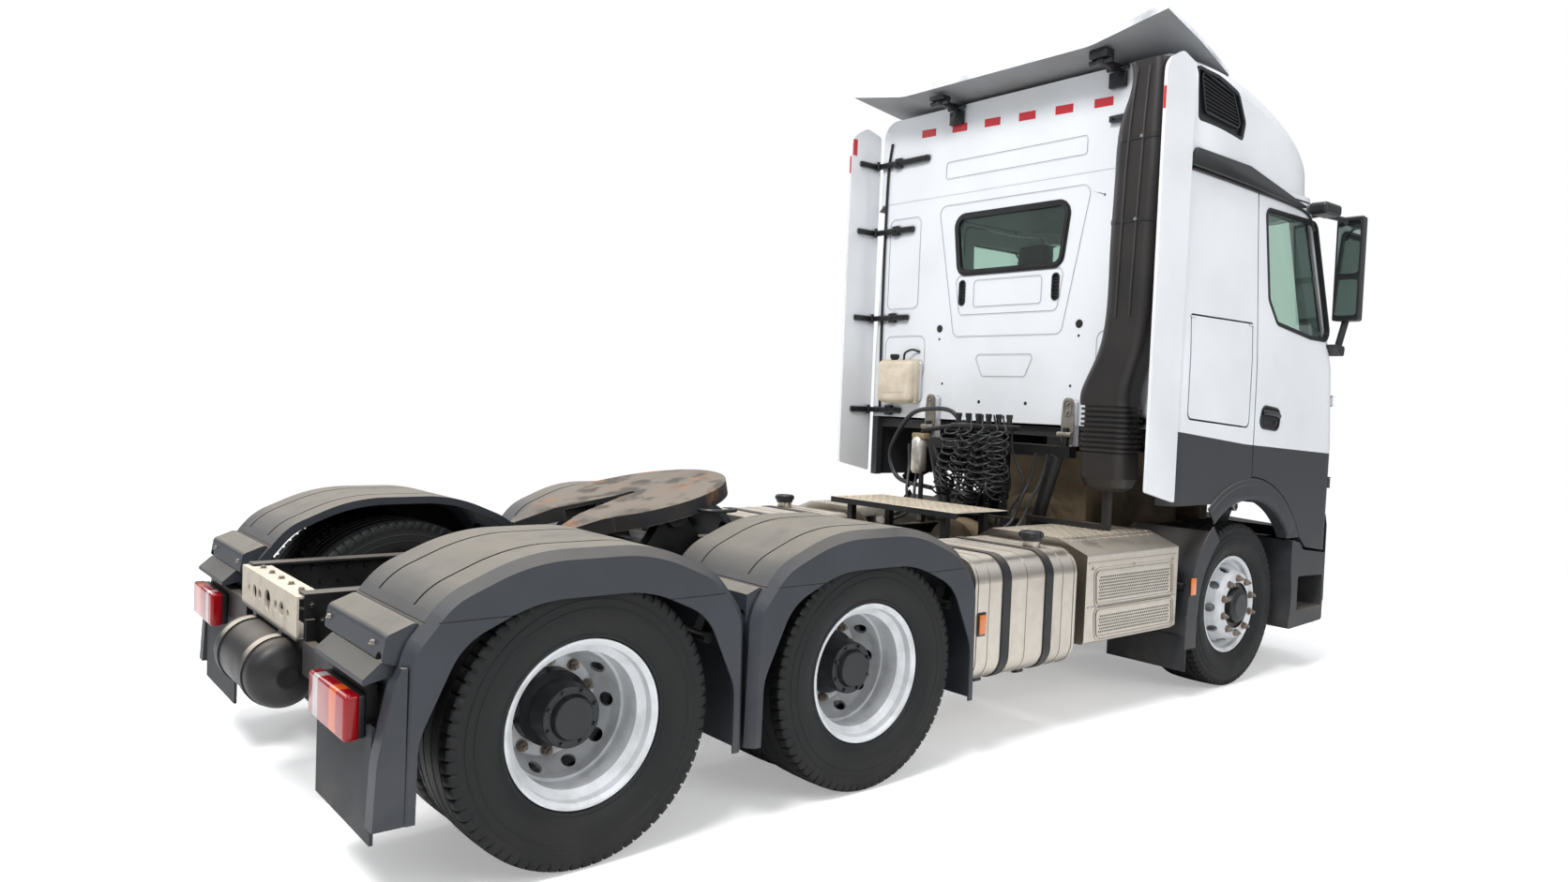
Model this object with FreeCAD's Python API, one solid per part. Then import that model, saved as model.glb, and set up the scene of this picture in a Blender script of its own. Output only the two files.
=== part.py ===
import FreeCAD
import Part
import math
import os

# A three-axle truck tractor. X runs forward from the rearmost axle, Y to the left, Z up from the ground.
# Sizes are in millimetres and degrees.

# Axles and wheels
TANDEM_SPACING = 1350
WHEELBASE = 3150
TYRE_RADIUS = 508
TYRE_WIDTH = 315
TYRE_TREAD_WIDTH = 280
RIM_WIDTH = 228.6
RIM_SEAT_RADIUS = 285.75
RIM_FLANGE_RADIUS = 298.5
RIM_WELL_RADIUS = 254
RIM_FLANGE_THICKNESS = 12
RIM_THICKNESS = 10
RIM_OFFSET = 171.5
WHEEL_BORE_RADIUS = 140.5
STUD_CIRCLE_RADIUS = 167.5
STUD_COUNT = 10
STUD_HOLE_RADIUS = 13
HAND_HOLE_RADIUS = 27
FRONT_TRACK_HALF = 1020
TWIN_OUTER_Y = 1072
DRUM_RADIUS = 200
SPINDLE_RADIUS = 50

# Steering
KINGPIN_Y = 900
KINGPIN_RADIUS = 22
STEERING_ARM_LENGTH = 190
TIE_ROD_RADIUS = 18

# Frame
RAIL_OUTER_Y = 417
RAIL_TOP_Z = 893
RAIL_DEPTH = 275
RAIL_END_DEPTH = 180
RAIL_WEB = 9
RAIL_FLANGE = 80
RAIL_REAR_X = -715
RAIL_FRONT_X = 5640
CROSSMEMBER_REAR_X = -740
CROSSMEMBER_DEPTH = 95

# Fifth wheel
FIFTH_WHEEL_X = 892
FIFTH_WHEEL_RADIUS = 468
FIFTH_WHEEL_TOP_Z = 1185
FIFTH_WHEEL_PIVOT_Z = 1100
FIFTH_WHEEL_STORED_TILT = 12.7
FIFTH_WHEEL_THICKNESS = 70
KINGPIN_SEAT_RADIUS = 25.4
THROAT_HALF_ANGLE = 19
BASE_PLATE_THICKNESS = 14
BASE_WAVE_HEIGHT = 32
BASE_WAVE_PITCH = 175
PEDESTAL_Y = 345
PEDESTAL_WIDTH = 64

# Fenders
FENDER_SKIN = 8
FENDER_OUTER_Y = 1250
FENDER_INNER_Y = 590
FENDER_BEVEL = 34
FENDER_LEG_X = 668
FENDER_BOTTOM_Z = 308
FENDER_TOP_Z = 1130
FENDER_LEG_WIDTH = 58
FENDER_LIP = 26
FENDER_GROOVE_WIDTH = 14
FENDER_GROOVE_DEPTH = 4
FENDER_GROOVE_YS = (745, 1075)
FENDER_JOINT_Z = 925
FENDER_JOINT_WIDTH = 4
FENDER_HUMP_TOP_Z = 932
FENDER_HUMP_REAR_X = 706
FENDER_SHELF_X = 758
FENDER_FLARE_X = 737
FENDER_FLARE_Y = 1180
FENDER_TUBE_RADIUS = 20
FENDER_TUBE_REACH = 573
FENDER_TUBE_ANGLE = 25
MUDGUARD_RADIUS = 596
MUDGUARD_SKIN = 8

# Rear equipment
AIR_TANK_RADIUS = 128
AIR_TANK_X = -745
AIR_TANK_Z = 572
AIR_TANK_HALF = 330
LAMP_INNER_Y = 748
LAMP_OUTER_Y = 1128
LAMP_TOP_Z = 705
LAMP_HEIGHT = 145
LAMP_REAR_X = -790
LAMP_DEPTH = 70

# Side equipment
TANK_REAR_X = 2038
TANK_LENGTH = 791
TANK_OUTER_Y = 1200
TANK_INNER_Y = 520
TANK_BOTTOM_Z = 350
TANK_TOP_Z = 950
TANK_CORNER = 120
STRAP_WIDTH = 50
STRAP_THICKNESS = 5
SIDE_BOX_REAR_X = 2907
SIDE_BOX_LENGTH = 880
SIDE_BOX_BOTTOM_Z = 445
SIDE_BOX_TOP_Z = 915
SIDE_BOX_LID_Z = 985
DECK_REAR_X = 2650
DECK_LENGTH = 450
DECK_HALF = 519
DECK_TOP_Z = 1071

# Cab
CAB_REAR_X = 3630
CAB_FRONT_X = 5915
CAB_HALF = 1235
CAB_ROOF_HALF = 1190
CAB_SEAM_Z = 3100
CAB_ROOF_Z = 3690
CAB_FLOOR_Z = 1500
CAB_WALL_BOTTOM_Z = 1575
CAB_BELT_Z = 2010
CAB_CORNER = 85
SIDE_WALL = 66
REAR_WALL = 50
FLOOR_THICKNESS = 60
CLADDING_BOTTOM_Z = 1150
ARCH_RADIUS = 655
ARCH_BAND_RADIUS = 790
TILT_PIVOT_X = 5840
TILT_PIVOT_Z = 1000
TILT_PIVOT_Y = 430
TILT_PIN_RADIUS = 20

# Rear wall and roof details
PRESSED_WIDTH = 12
PRESSED_DEPTH = 4
WALL_VENT_Y = 377
LATCH_Y = 560
LATCH_TOP_Z = 1724
CAB_BEAM_REAR_X = 3530
CAB_BEAM_FRONT_X = 3600
CAB_BEAM_TOP_Z = 1450
RESERVOIR_REAR_X = 3505
ROOF_VENT_DEPTH = 24
ROOF_VENT_OUTLINE = (
    (3735, 3318, 30), (4262, 3296, 40), (4290, 3410, 60), (4196, 3566, 90), (3960, 3618, 200), (3723, 3630, 30),
)

# Doors
DOOR_REAR_X = 4525
DOOR_FRONT_X = 5590
DOOR_BOTTOM_Z = 790
DOOR_TOP_Z = 3060
DOOR_GAP = 11
LID_GAP = 10
DOOR_HINGE_X = 5596
DOOR_HINGE_Y = 1222
DOOR_HINGE_HEIGHTS = (1250, 1800)
DOOR_PIN_RADIUS = 6
LOCKER_TOP_Z = 2240
FLAP_HALF = 830
FLAP_THICKNESS = 56
FLAP_FLAT_HALF = 100
FLAP_FALL = 54
FLAP_BOTTOM_Z = 1046
FLAP_TOP_Z = 1900
FLAP_HINGE_X = 5862
FLAP_HINGE_Z = 1888
FLAP_HINGE_Y = 80
SMALL_PIN_RADIUS = 5
LID_HINGE_Y = 1228
FIREWALL_X = 5700
BUNK_TOP_Z = 2260
SEAT_Y = 590
SEAT_LOW_Z = 1930
DASH_HALF = 985

# Deflectors and intake
DEFLECTOR_REAR_X = 3350
DEFLECTOR_OUTER_Y = 1242
DEFLECTOR_SKIN = 18
ROOF_DEFLECTOR_TOP_Z = 3870
ROOF_DEFLECTOR_MIDDLE_Z = 3730
SNORKEL_X = 3480
SNORKEL_DEPTH = 210

# Clearances
SEAT_GAP = 0.3
RUN_GAP = 6
PIN_GAP = 0.3

# Places that follow from the sizes
FRONT_DRIVE_X = TANDEM_SPACING
FRONT_AXLE_X = TANDEM_SPACING + WHEELBASE
AXLE_Z = TYRE_RADIUS
TWIN_INNER_Y = TWIN_OUTER_Y - 2 * RIM_OFFSET
TWIN_MOUNT_Y = TWIN_OUTER_Y - RIM_OFFSET
RAIL_BOTTOM_Z = RAIL_TOP_Z - RAIL_DEPTH
RAIL_INNER_Y = RAIL_OUTER_Y - RAIL_FLANGE
BUMPER_FRONT_X = CAB_FRONT_X + 25
REAR_X = AIR_TANK_X - AIR_TANK_RADIUS
ORIGIN_X = (REAR_X + BUMPER_FRONT_X) / 2

NODES = {}


def vector(x, y, z):
    return FreeCAD.Vector(x, y, z)


def keep(name, *shapes):
    """Store the solids of one sub-part under its name."""
    solids = []
    for shape in shapes:
        solids.extend(shape.Solids)
    NODES[name] = solids


def joined(*shapes):
    """Fuse shapes that are one piece on the real vehicle."""
    return shapes[0].multiFuse(list(shapes[1:])).removeSplitter()


def cut_by(shape, *tools):
    return shape.cut(list(tools))


def mirrored(shape):
    """The same shape on the other side of the vehicle."""
    return shape.mirror(vector(0, 0, 0), vector(0, 1, 0))


def block(x_from, x_to, y_from, y_to, z_from, z_to):
    return Part.makeBox(x_to - x_from, y_to - y_from, z_to - z_from, vector(x_from, y_from, z_from))


def rod(start, end, radius):
    """Round bar between two points."""
    direction = end - start
    return Part.makeCylinder(radius, direction.Length, start, direction)


def cross_rod(x, z, y_from, y_to, radius):
    return rod(vector(x, y_from, z), vector(x, y_to, z), radius)


def post(x, y, z_from, z_to, radius):
    return rod(vector(x, y, z_from), vector(x, y, z_to), radius)


def rounded_wire(corners, place):
    """Closed wire through corners (u, v) or (u, v, radius), where place turns u, v into a point."""
    stations = []
    for index, corner in enumerate(corners):
        here = vector(corner[0], corner[1], 0)
        radius = corner[2] if len(corner) > 2 else 0
        if radius == 0:
            stations.append((here, None, here))
            continue
        back = vector(*corners[index - 1][:2], 0) - here
        ahead = vector(*corners[(index + 1) % len(corners)][:2], 0) - here
        back.normalize()
        ahead.normalize()
        half_angle = back.getAngle(ahead) / 2
        reach = radius / math.tan(half_angle)
        bisector = (back + ahead).normalize()
        middle = here + bisector * (radius / math.sin(half_angle) - radius)
        stations.append((here + back * reach, middle, here + ahead * reach))
    edges = []
    for index, (start, middle, end) in enumerate(stations):
        if middle is not None:
            edges.append(Part.Arc(place(start), place(middle), place(end)).toShape())
        following = stations[(index + 1) % len(stations)][0]
        if end.distanceToPoint(following) > 0.001:
            edges.append(Part.LineSegment(place(end), place(following)).toShape())
    return Part.Wire(edges)


def side_prism(corners, y_from, y_to):
    """Solid from an outline in X and Z, from one Y to another."""
    wire = rounded_wire(corners, lambda point: vector(point.x, y_from, point.y))
    return Part.Face(wire).extrude(vector(0, y_to - y_from, 0))


def front_prism(corners, x_from, x_to):
    """Solid from an outline in Y and Z, from one X to another."""
    wire = rounded_wire(corners, lambda point: vector(x_from, point.x, point.y))
    return Part.Face(wire).extrude(vector(x_to - x_from, 0, 0))


def plan_prism(corners, z_from, z_to):
    """Solid from an outline in X and Y, from one Z to another."""
    wire = rounded_wire(corners, lambda point: vector(point.x, point.y, z_from))
    return Part.Face(wire).extrude(vector(0, 0, z_to - z_from))


def symmetric(corners):
    """Complete an outline given for positive u with its mirror image, in order."""
    return list(corners) + [(-corner[0], *corner[1:]) for corner in reversed(corners)]


def turned(profile, centre, start=0, sweep=360):
    """Revolve an outline of (y, radius) corners about the Y line through centre; angles from +X upwards."""
    wire = rounded_wire(profile, lambda point: vector(point.y, point.x, 0))
    solid = Part.Face(wire).revolve(vector(0, 0, 0), vector(0, 1, 0), -sweep)
    solid.rotate(vector(0, 0, 0), vector(0, 1, 0), -start)
    solid.translate(centre)
    return solid


def ring_sector(centre, inner, outer, y_from, y_to, start, end):
    """Part of a ring about a Y line, between two angles above the forward direction."""
    profile = [(y_from, inner), (y_to, inner), (y_to, outer), (y_from, outer)]
    return turned(profile, centre, start, end - start)


def around(shape, centre, count, first=0):
    """Copies of a shape turned in even steps about the Y line through centre."""
    copies = []
    for index in range(count):
        copy = shape.copy()
        copy.rotate(centre, vector(0, 1, 0), first + index * 360 / count)
        copies.append(copy)
    return copies


def axle_centre(x):
    return vector(x, 0, AXLE_Z)


# Wheels

def tyre(centre):
    """One tyre about its own centre, closed down to the rim seat."""
    bead = RIM_WIDTH / 2 - SEAT_GAP
    wide = TYRE_WIDTH / 2
    tread = TYRE_TREAD_WIDTH / 2
    half = [
        (bead, RIM_SEAT_RADIUS + SEAT_GAP),
        (bead, RIM_FLANGE_RADIUS + SEAT_GAP),
        (bead + 20, RIM_FLANGE_RADIUS + 22),
        (wide - 4, RIM_FLANGE_RADIUS + 52),
        (wide, RIM_FLANGE_RADIUS + 88),
        (wide - 7, TYRE_RADIUS - 42),
        (tread + 5, TYRE_RADIUS - 15),
        (tread - 6, TYRE_RADIUS - 4),
        (tread * 0.3, TYRE_RADIUS),
    ]
    return turned(symmetric(half), centre)


def rim_barrel(centre):
    """Drop-centre barrel with its two flanges."""
    half = RIM_WIDTH / 2
    well = half - 52
    edge = half + RIM_FLANGE_THICKNESS
    outside = [(well, RIM_WELL_RADIUS), (well + 22, RIM_SEAT_RADIUS - 4), (half, RIM_SEAT_RADIUS)]
    flange = [(half, RIM_FLANGE_RADIUS), (edge, RIM_FLANGE_RADIUS), (edge, RIM_FLANGE_RADIUS - RIM_THICKNESS)]
    inside = [
        (half + 2, RIM_SEAT_RADIUS - RIM_THICKNESS),
        (well + 26, RIM_SEAT_RADIUS - 4 - RIM_THICKNESS),
        (well + 4, RIM_WELL_RADIUS - RIM_THICKNESS),
    ]
    right = outside + flange + inside
    left = [(-y, radius) for y, radius in reversed(right)]
    return turned(right + left, centre)


def wheel_disc(centre, side):
    """Dished disc with hand holes and stud holes; side is the way the dish bulges."""
    face = RIM_OFFSET
    thick = 14
    well = RIM_WELL_RADIUS - RIM_THICKNESS + 1
    outline = [
        (30, well),
        (92, well - 4, 60),
        (face - 26, 218, 40),
        (face, 196, 10),
        (face, WHEEL_BORE_RADIUS),
        (face - thick, WHEEL_BORE_RADIUS),
        (face - thick, 188, 10),
        (face - 42, 206, 40),
        (84, well - 16, 50),
        (30, well - 12),
    ]
    disc = turned([(side * y, *rest) for y, *rest in outline], centre)
    tilt = vector(0, side * 0.8, 0.6)
    hand = rod(centre + vector(0, side * 60, 180), centre + vector(0, side * 60, 180) + tilt * 140, HAND_HOLE_RADIUS)
    stud = rod(centre + vector(0, 0, STUD_CIRCLE_RADIUS), centre + vector(0, side * 250, STUD_CIRCLE_RADIUS),
               STUD_HOLE_RADIUS)
    hands = around(hand, centre, STUD_COUNT, 180 / STUD_COUNT)
    studs = around(stud, centre, STUD_COUNT)
    return cut_by(disc, *hands, *studs)


def twin_wheel(x):
    """Left pair of rims back to back on their hub and brake drum."""
    outer = vector(x, TWIN_OUTER_Y, AXLE_Z)
    inner = vector(x, TWIN_INNER_Y, AXLE_Z)
    bore = SPINDLE_RADIUS + PIN_GAP
    drum_from = TWIN_INNER_Y - RIM_WIDTH / 2
    hub_end = TWIN_MOUNT_Y + 224
    hub = [
        (drum_from, bore),
        (TWIN_MOUNT_Y + 30, bore),
        (TWIN_MOUNT_Y + 30, 1),
        (hub_end, 1),
        (hub_end, 74, 6),
        (hub_end - 22, 84),
        (hub_end - 22, 112, 8),
        (TWIN_MOUNT_Y + 96, 116),
        (TWIN_MOUNT_Y + 70, WHEEL_BORE_RADIUS - 1),
        (TWIN_MOUNT_Y + 16, WHEEL_BORE_RADIUS - 1),
        (TWIN_MOUNT_Y + 16, WHEEL_BORE_RADIUS + 0.5),
        (TWIN_MOUNT_Y - 15, WHEEL_BORE_RADIUS + 0.5),
        (TWIN_MOUNT_Y - 30, DRUM_RADIUS),
        (drum_from, DRUM_RADIUS),
    ]
    parts = [rim_barrel(outer), wheel_disc(outer, -1), rim_barrel(inner), wheel_disc(inner, 1)]
    return joined(*parts, turned(hub, axle_centre(x)))


def front_wheel():
    """Left front rim with its hub."""
    centre = vector(FRONT_AXLE_X, FRONT_TRACK_HALF, AXLE_Z)
    mount = FRONT_TRACK_HALF + RIM_OFFSET
    bore = SPINDLE_RADIUS + PIN_GAP
    hub = [
        (KINGPIN_Y + 96, bore),
        (mount - 20, bore),
        (mount - 20, 1),
        (mount + 34, 1),
        (mount + 34, 70, 8),
        (mount + 20, 104, 8),
        (mount - 10, 112),
        (mount - 10, WHEEL_BORE_RADIUS + 0.5),
        (mount - 15, WHEEL_BORE_RADIUS + 0.5),
        (mount - 15, STUD_CIRCLE_RADIUS + 16),
        (mount - 30, STUD_CIRCLE_RADIUS + 16),
        (mount - 60, DRUM_RADIUS - 8),
        (KINGPIN_Y + 96, DRUM_RADIUS - 8),
    ]
    return joined(rim_barrel(centre), wheel_disc(centre, 1), turned(hub, axle_centre(FRONT_AXLE_X)))


def build_wheels():
    places = {"mid": FRONT_DRIVE_X, "rear": 0}
    for place, x in places.items():
        rims = twin_wheel(x)
        tyres = [tyre(vector(x, TWIN_OUTER_Y, AXLE_Z)), tyre(vector(x, TWIN_INNER_Y, AXLE_Z))]
        keep("wheel_" + place + "_left", rims)
        keep("wheel_" + place + "_right", mirrored(rims))
        keep("tyres_" + place + "_left", *tyres)
        keep("tyres_" + place + "_right", *[mirrored(one) for one in tyres])
    rim = front_wheel()
    front = tyre(vector(FRONT_AXLE_X, FRONT_TRACK_HALF, AXLE_Z))
    keep("wheel_front_left", rim)
    keep("wheel_front_right", mirrored(rim))
    keep("tyre_front_left", front)
    keep("tyre_front_right", mirrored(front))


# Axles and steering

def front_beam():
    """Forged beam with a dropped middle, eyes for the kingpins and pads for the springs."""
    half = [
        (0, 366),
        (600, 366, 80),
        (735, 455, 80),
        (KINGPIN_Y - 30, 462),
        (KINGPIN_Y - 30, 554),
        (720, 548, 80),
        (585, 452, 80),
        (0, 452),
    ]
    outline = half + [(-y, z, *rest) for y, z, *rest in reversed(half[1:-1])]
    beam = front_prism(outline, FRONT_AXLE_X - 48, FRONT_AXLE_X + 48)
    web = front_prism([(-560, 392), (560, 392), (560, 426), (-560, 426)], FRONT_AXLE_X + 16, FRONT_AXLE_X + 60)
    back = front_prism([(-560, 392), (560, 392), (560, 426), (-560, 426)], FRONT_AXLE_X - 60, FRONT_AXLE_X - 16)
    beam = cut_by(beam, web, back)
    for side in (1, -1):
        eye = post(FRONT_AXLE_X, side * KINGPIN_Y, AXLE_Z - 70, AXLE_Z + 70, 46)
        beam = joined(beam, eye)
    for side in (1, -1):
        beam = cut_by(beam, post(FRONT_AXLE_X, side * KINGPIN_Y, AXLE_Z - 90, AXLE_Z + 90, KINGPIN_RADIUS + PIN_GAP))
    return beam


def leaf_spring(y, width):
    """Front parabolic spring with its pad, hanger and shackle, under the left rail."""
    rear = FRONT_AXLE_X - 640
    front = FRONT_AXLE_X + 700
    leaves = []
    for level in range(2):
        low = 470 + level * 26
        corners = [
            (rear + level * 90, 560 + level * 8),
            (FRONT_AXLE_X - 120, low, 900),
            (FRONT_AXLE_X + 120, low, 900),
            (front - level * 90, 560 + level * 8),
            (front - level * 90, 574 + level * 8),
            (FRONT_AXLE_X + 120, low + 26, 900),
            (FRONT_AXLE_X - 120, low + 26, 900),
            (rear + level * 90, 574 + level * 8),
        ]
        leaves.append(side_prism(corners, y - width / 2, y + width / 2))
    pad = block(FRONT_AXLE_X - 80, FRONT_AXLE_X + 80, y - width / 2 - 14, y + width / 2 + 14, 448, 478)
    cap = block(FRONT_AXLE_X - 80, FRONT_AXLE_X + 80, y - width / 2 - 14, y + width / 2 + 14, 516, 546)
    ties = []
    for end in (-60, 60):
        for side in (-1, 1):
            ties.append(post(FRONT_AXLE_X + end, y + side * (width / 2 + 6), 470, 520, 9))
    hangers = []
    for x in (rear, front):
        drop = [(x - 70, RAIL_BOTTOM_Z), (x + 70, RAIL_BOTTOM_Z), (x + 30, 545, 20), (x - 30, 545, 20)]
        hangers.append(side_prism(drop, y - width / 2 - 10, y + width / 2 + 10))
    return joined(*leaves, pad, cap, *ties, *hangers)


def build_front_axle():
    y = RAIL_OUTER_Y - 40
    springs = [leaf_spring(side * y, 76) for side in (1, -1)]
    keep("front_axle", joined(front_beam(), *springs))


def knuckle():
    """Left steering knuckle: fork, kingpin, spindle and rear arm."""
    x = FRONT_AXLE_X
    ears = []
    for low in (AXLE_Z + 70 + PIN_GAP + 3, AXLE_Z - 70 - PIN_GAP - 3 - 40):
        ears.append(side_prism(
            [(x - 50, low, 16), (x + 50, low, 16), (x + 50, low + 40, 16), (x - 50, low + 40, 16)],
            KINGPIN_Y - 46, KINGPIN_Y + 88))
    plate = block(x - 70, x + 70, KINGPIN_Y + 54, KINGPIN_Y + 88, AXLE_Z - 113, AXLE_Z + 113)
    pin = post(x, KINGPIN_Y, AXLE_Z - 125, AXLE_Z + 125, KINGPIN_RADIUS)
    spindle = cross_rod(x, AXLE_Z, KINGPIN_Y + 60, FRONT_TRACK_HALF + RIM_OFFSET - 24, SPINDLE_RADIUS)
    arm_z = AXLE_Z - 113
    arm = plan_prism([
        (x + 20, KINGPIN_Y - 30, 10),
        (x + 20, KINGPIN_Y + 30, 10),
        (x - STEERING_ARM_LENGTH, KINGPIN_Y + 24, 23),
        (x - STEERING_ARM_LENGTH - 28, KINGPIN_Y, 4),
        (x - STEERING_ARM_LENGTH, KINGPIN_Y - 24, 23),
    ], arm_z - 4, arm_z + 24)
    ball = post(x - STEERING_ARM_LENGTH, KINGPIN_Y, arm_z - 52, arm_z + 24, 12)
    return joined(*ears, plate, pin, spindle, arm, ball)


def build_steering():
    left = knuckle()
    keep("knuckle_left", left)
    keep("knuckle_right", mirrored(left))
    x = FRONT_AXLE_X - STEERING_ARM_LENGTH
    z = AXLE_Z - 113 - 29
    bar = cross_rod(x, z, -KINGPIN_Y, KINGPIN_Y, TIE_ROD_RADIUS)
    eyes = [post(x, side * KINGPIN_Y, z - 20, z + 20, 25) for side in (1, -1)]
    bores = [post(x, side * KINGPIN_Y, z - 40, z + 40, 12 + PIN_GAP) for side in (1, -1)]
    keep("tie_rod", cut_by(joined(bar, *eyes), *bores))


def drive_axle(x, through):
    """Banjo housing, axle tubes and spindles of one drive axle."""
    tubes = cross_rod(x, AXLE_Z, -560, 560, 72)
    spindle = cross_rod(x, AXLE_Z, -TWIN_MOUNT_Y - 20, TWIN_MOUNT_Y + 20, SPINDLE_RADIUS)
    banjo = turned([(-110, 72), (-60, 212, 50), (60, 212, 50), (110, 72)], vector(x, 0, AXLE_Z))
    nose = rod(vector(x, 0, AXLE_Z + 40), vector(x + 330, 0, AXLE_Z + 60), 95)
    flanges = [cross_rod(x, AXLE_Z, side * 545, side * 562, 150) for side in (1, -1)]
    parts = [tubes, spindle, banjo, nose, *flanges]
    if through:
        parts.append(rod(vector(x, 0, AXLE_Z + 60), vector(x - 300, 0, AXLE_Z + 60), 62))
    return joined(*parts)


def bogie_spring(y):
    """Leaf pack over both axles with its trunnion, left side."""
    middle = TANDEM_SPACING / 2
    low = AXLE_Z + 70
    leaves = []
    for level in range(4):
        reach = middle + 60 - level * 150
        corners = [
            (middle - reach, low + level * 20),
            (middle, low + 30 + level * 20, 1600),
            (middle + reach, low + level * 20),
            (middle + reach, low + 18 + level * 20),
            (middle, low + 48 + level * 20, 1600),
            (middle - reach, low + 18 + level * 20),
        ]
        leaves.append(side_prism(corners, y - 40, y + 40))
    saddle = block(middle - 110, middle + 110, y - 48, y + 48, low + 10, low + 124)
    bracket = side_prism([
        (middle - 84, RAIL_TOP_Z - 80, 20),
        (middle + 84, RAIL_TOP_Z - 80, 20),
        (middle + 84, AXLE_Z - 60, 60),
        (middle - 84, AXLE_Z - 60, 60),
    ], RAIL_OUTER_Y + SEAT_GAP, y - 42)
    shaft = cross_rod(middle, low + 60, RAIL_OUTER_Y + 4, y + 66, 46)
    return joined(*leaves, saddle, bracket, shaft)


def build_drive_axles():
    axles = [drive_axle(0, False), drive_axle(FRONT_DRIVE_X, True)]
    springs = [bogie_spring(500), mirrored(bogie_spring(500))]
    link = rod(vector(325, 0, AXLE_Z + 60), vector(FRONT_DRIVE_X - 295, 0, AXLE_Z + 60), 48)
    main = rod(vector(FRONT_DRIVE_X + 325, 0, AXLE_Z + 60), vector(FRONT_AXLE_X - 1300, 0, AXLE_Z + 250), 56)
    keep("drive_axles", joined(*axles, *springs, link, main))


# Frame

def build_frame():
    """Two channel rails with tapered rear ends."""
    outline = [
        (RAIL_REAR_X, RAIL_TOP_Z),
        (RAIL_FRONT_X, RAIL_TOP_Z),
        (RAIL_FRONT_X, RAIL_BOTTOM_Z),
        (RAIL_REAR_X + 420, RAIL_BOTTOM_Z),
        (RAIL_REAR_X + 60, RAIL_TOP_Z - RAIL_END_DEPTH),
        (RAIL_REAR_X, RAIL_TOP_Z - RAIL_END_DEPTH),
    ]
    web = RAIL_WEB
    hollow = [
        (RAIL_REAR_X - 1, RAIL_TOP_Z - web),
        (RAIL_FRONT_X + 1, RAIL_TOP_Z - web),
        (RAIL_FRONT_X + 1, RAIL_BOTTOM_Z + web),
        (RAIL_REAR_X + 420, RAIL_BOTTOM_Z + web),
        (RAIL_REAR_X + 60, RAIL_TOP_Z - RAIL_END_DEPTH + web),
        (RAIL_REAR_X - 1, RAIL_TOP_Z - RAIL_END_DEPTH + web),
    ]
    solid = side_prism(outline, RAIL_INNER_Y, RAIL_OUTER_Y)
    rail = cut_by(solid, side_prism(hollow, RAIL_INNER_Y - 1, RAIL_OUTER_Y - web))
    keep("frame_rails", rail, mirrored(rail))


def crossmember(x, width, z_from, z_to):
    """Channel between the webs with flanges reaching forward."""
    half = RAIL_OUTER_Y - RAIL_WEB - SEAT_GAP
    solid = block(x, x + width, -half, half, z_from, z_to)
    return cut_by(solid, block(x + 8, x + width + 1, -half - 1, half + 1, z_from + 8, z_to - 8))


def build_crossmembers():
    top = RAIL_TOP_Z - RAIL_WEB - SEAT_GAP
    low = RAIL_BOTTOM_Z + RAIL_WEB + SEAT_GAP
    members = []
    rear_low = RAIL_TOP_Z - RAIL_END_DEPTH + RAIL_WEB + SEAT_GAP
    rear = crossmember(CROSSMEMBER_REAR_X, CROSSMEMBER_DEPTH, rear_low, top)
    middle_z = (rear_low + top) / 2
    for y, radius in ((0, 42), (120, 22), (-120, 22), (200, 30), (-200, 30), (290, 16), (-290, 16)):
        hole = rod(vector(CROSSMEMBER_REAR_X - 5, y, middle_z), vector(CROSSMEMBER_REAR_X + 20, y, middle_z), radius)
        rear = cut_by(rear, hole)
    for y in (-190, 190):
        centre = vector(AIR_TANK_X, 0, AIR_TANK_Z)
        band = ring_sector(centre, AIR_TANK_RADIUS + SEAT_GAP, AIR_TANK_RADIUS + 6, y - 25, y + 25, 0, 360)
        hanger = block(AIR_TANK_X + 5, AIR_TANK_X + 85, y - 25, y + 25, AIR_TANK_Z + 100, rear_low + 2)
        hanger = cut_by(hanger, cross_rod(AIR_TANK_X, AIR_TANK_Z, y - 30, y + 30, AIR_TANK_RADIUS + 3))
        rear = joined(rear, band, hanger)
    members.append(rear)
    for x, member_low in ((TANDEM_SPACING / 2 - 55, 727), (2000, 730), (2900, 805), (5500, low)):
        members.append(crossmember(x, 110, member_low, top))
    keep("crossmembers", *members)


# Fifth wheel

def wave_band(x_from, count, pitch, low, height, thickness):
    """Outline in X and Z of a corrugated plate with rounded waves."""
    top = []
    for index in range(count):
        start = x_from + index * pitch
        top += [
            (start + pitch * 0.10, low, 16),
            (start + pitch * 0.32, low + height, 20),
            (start + pitch * 0.68, low + height, 20),
            (start + pitch * 0.90, low, 16),
        ]
    first = (x_from, low)
    last = (x_from + count * pitch, low)
    upper = [(x, z + thickness, *rest) for x, z, *rest in [first] + top + [last]]
    return [first] + top + [last] + list(reversed(upper))


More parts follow.
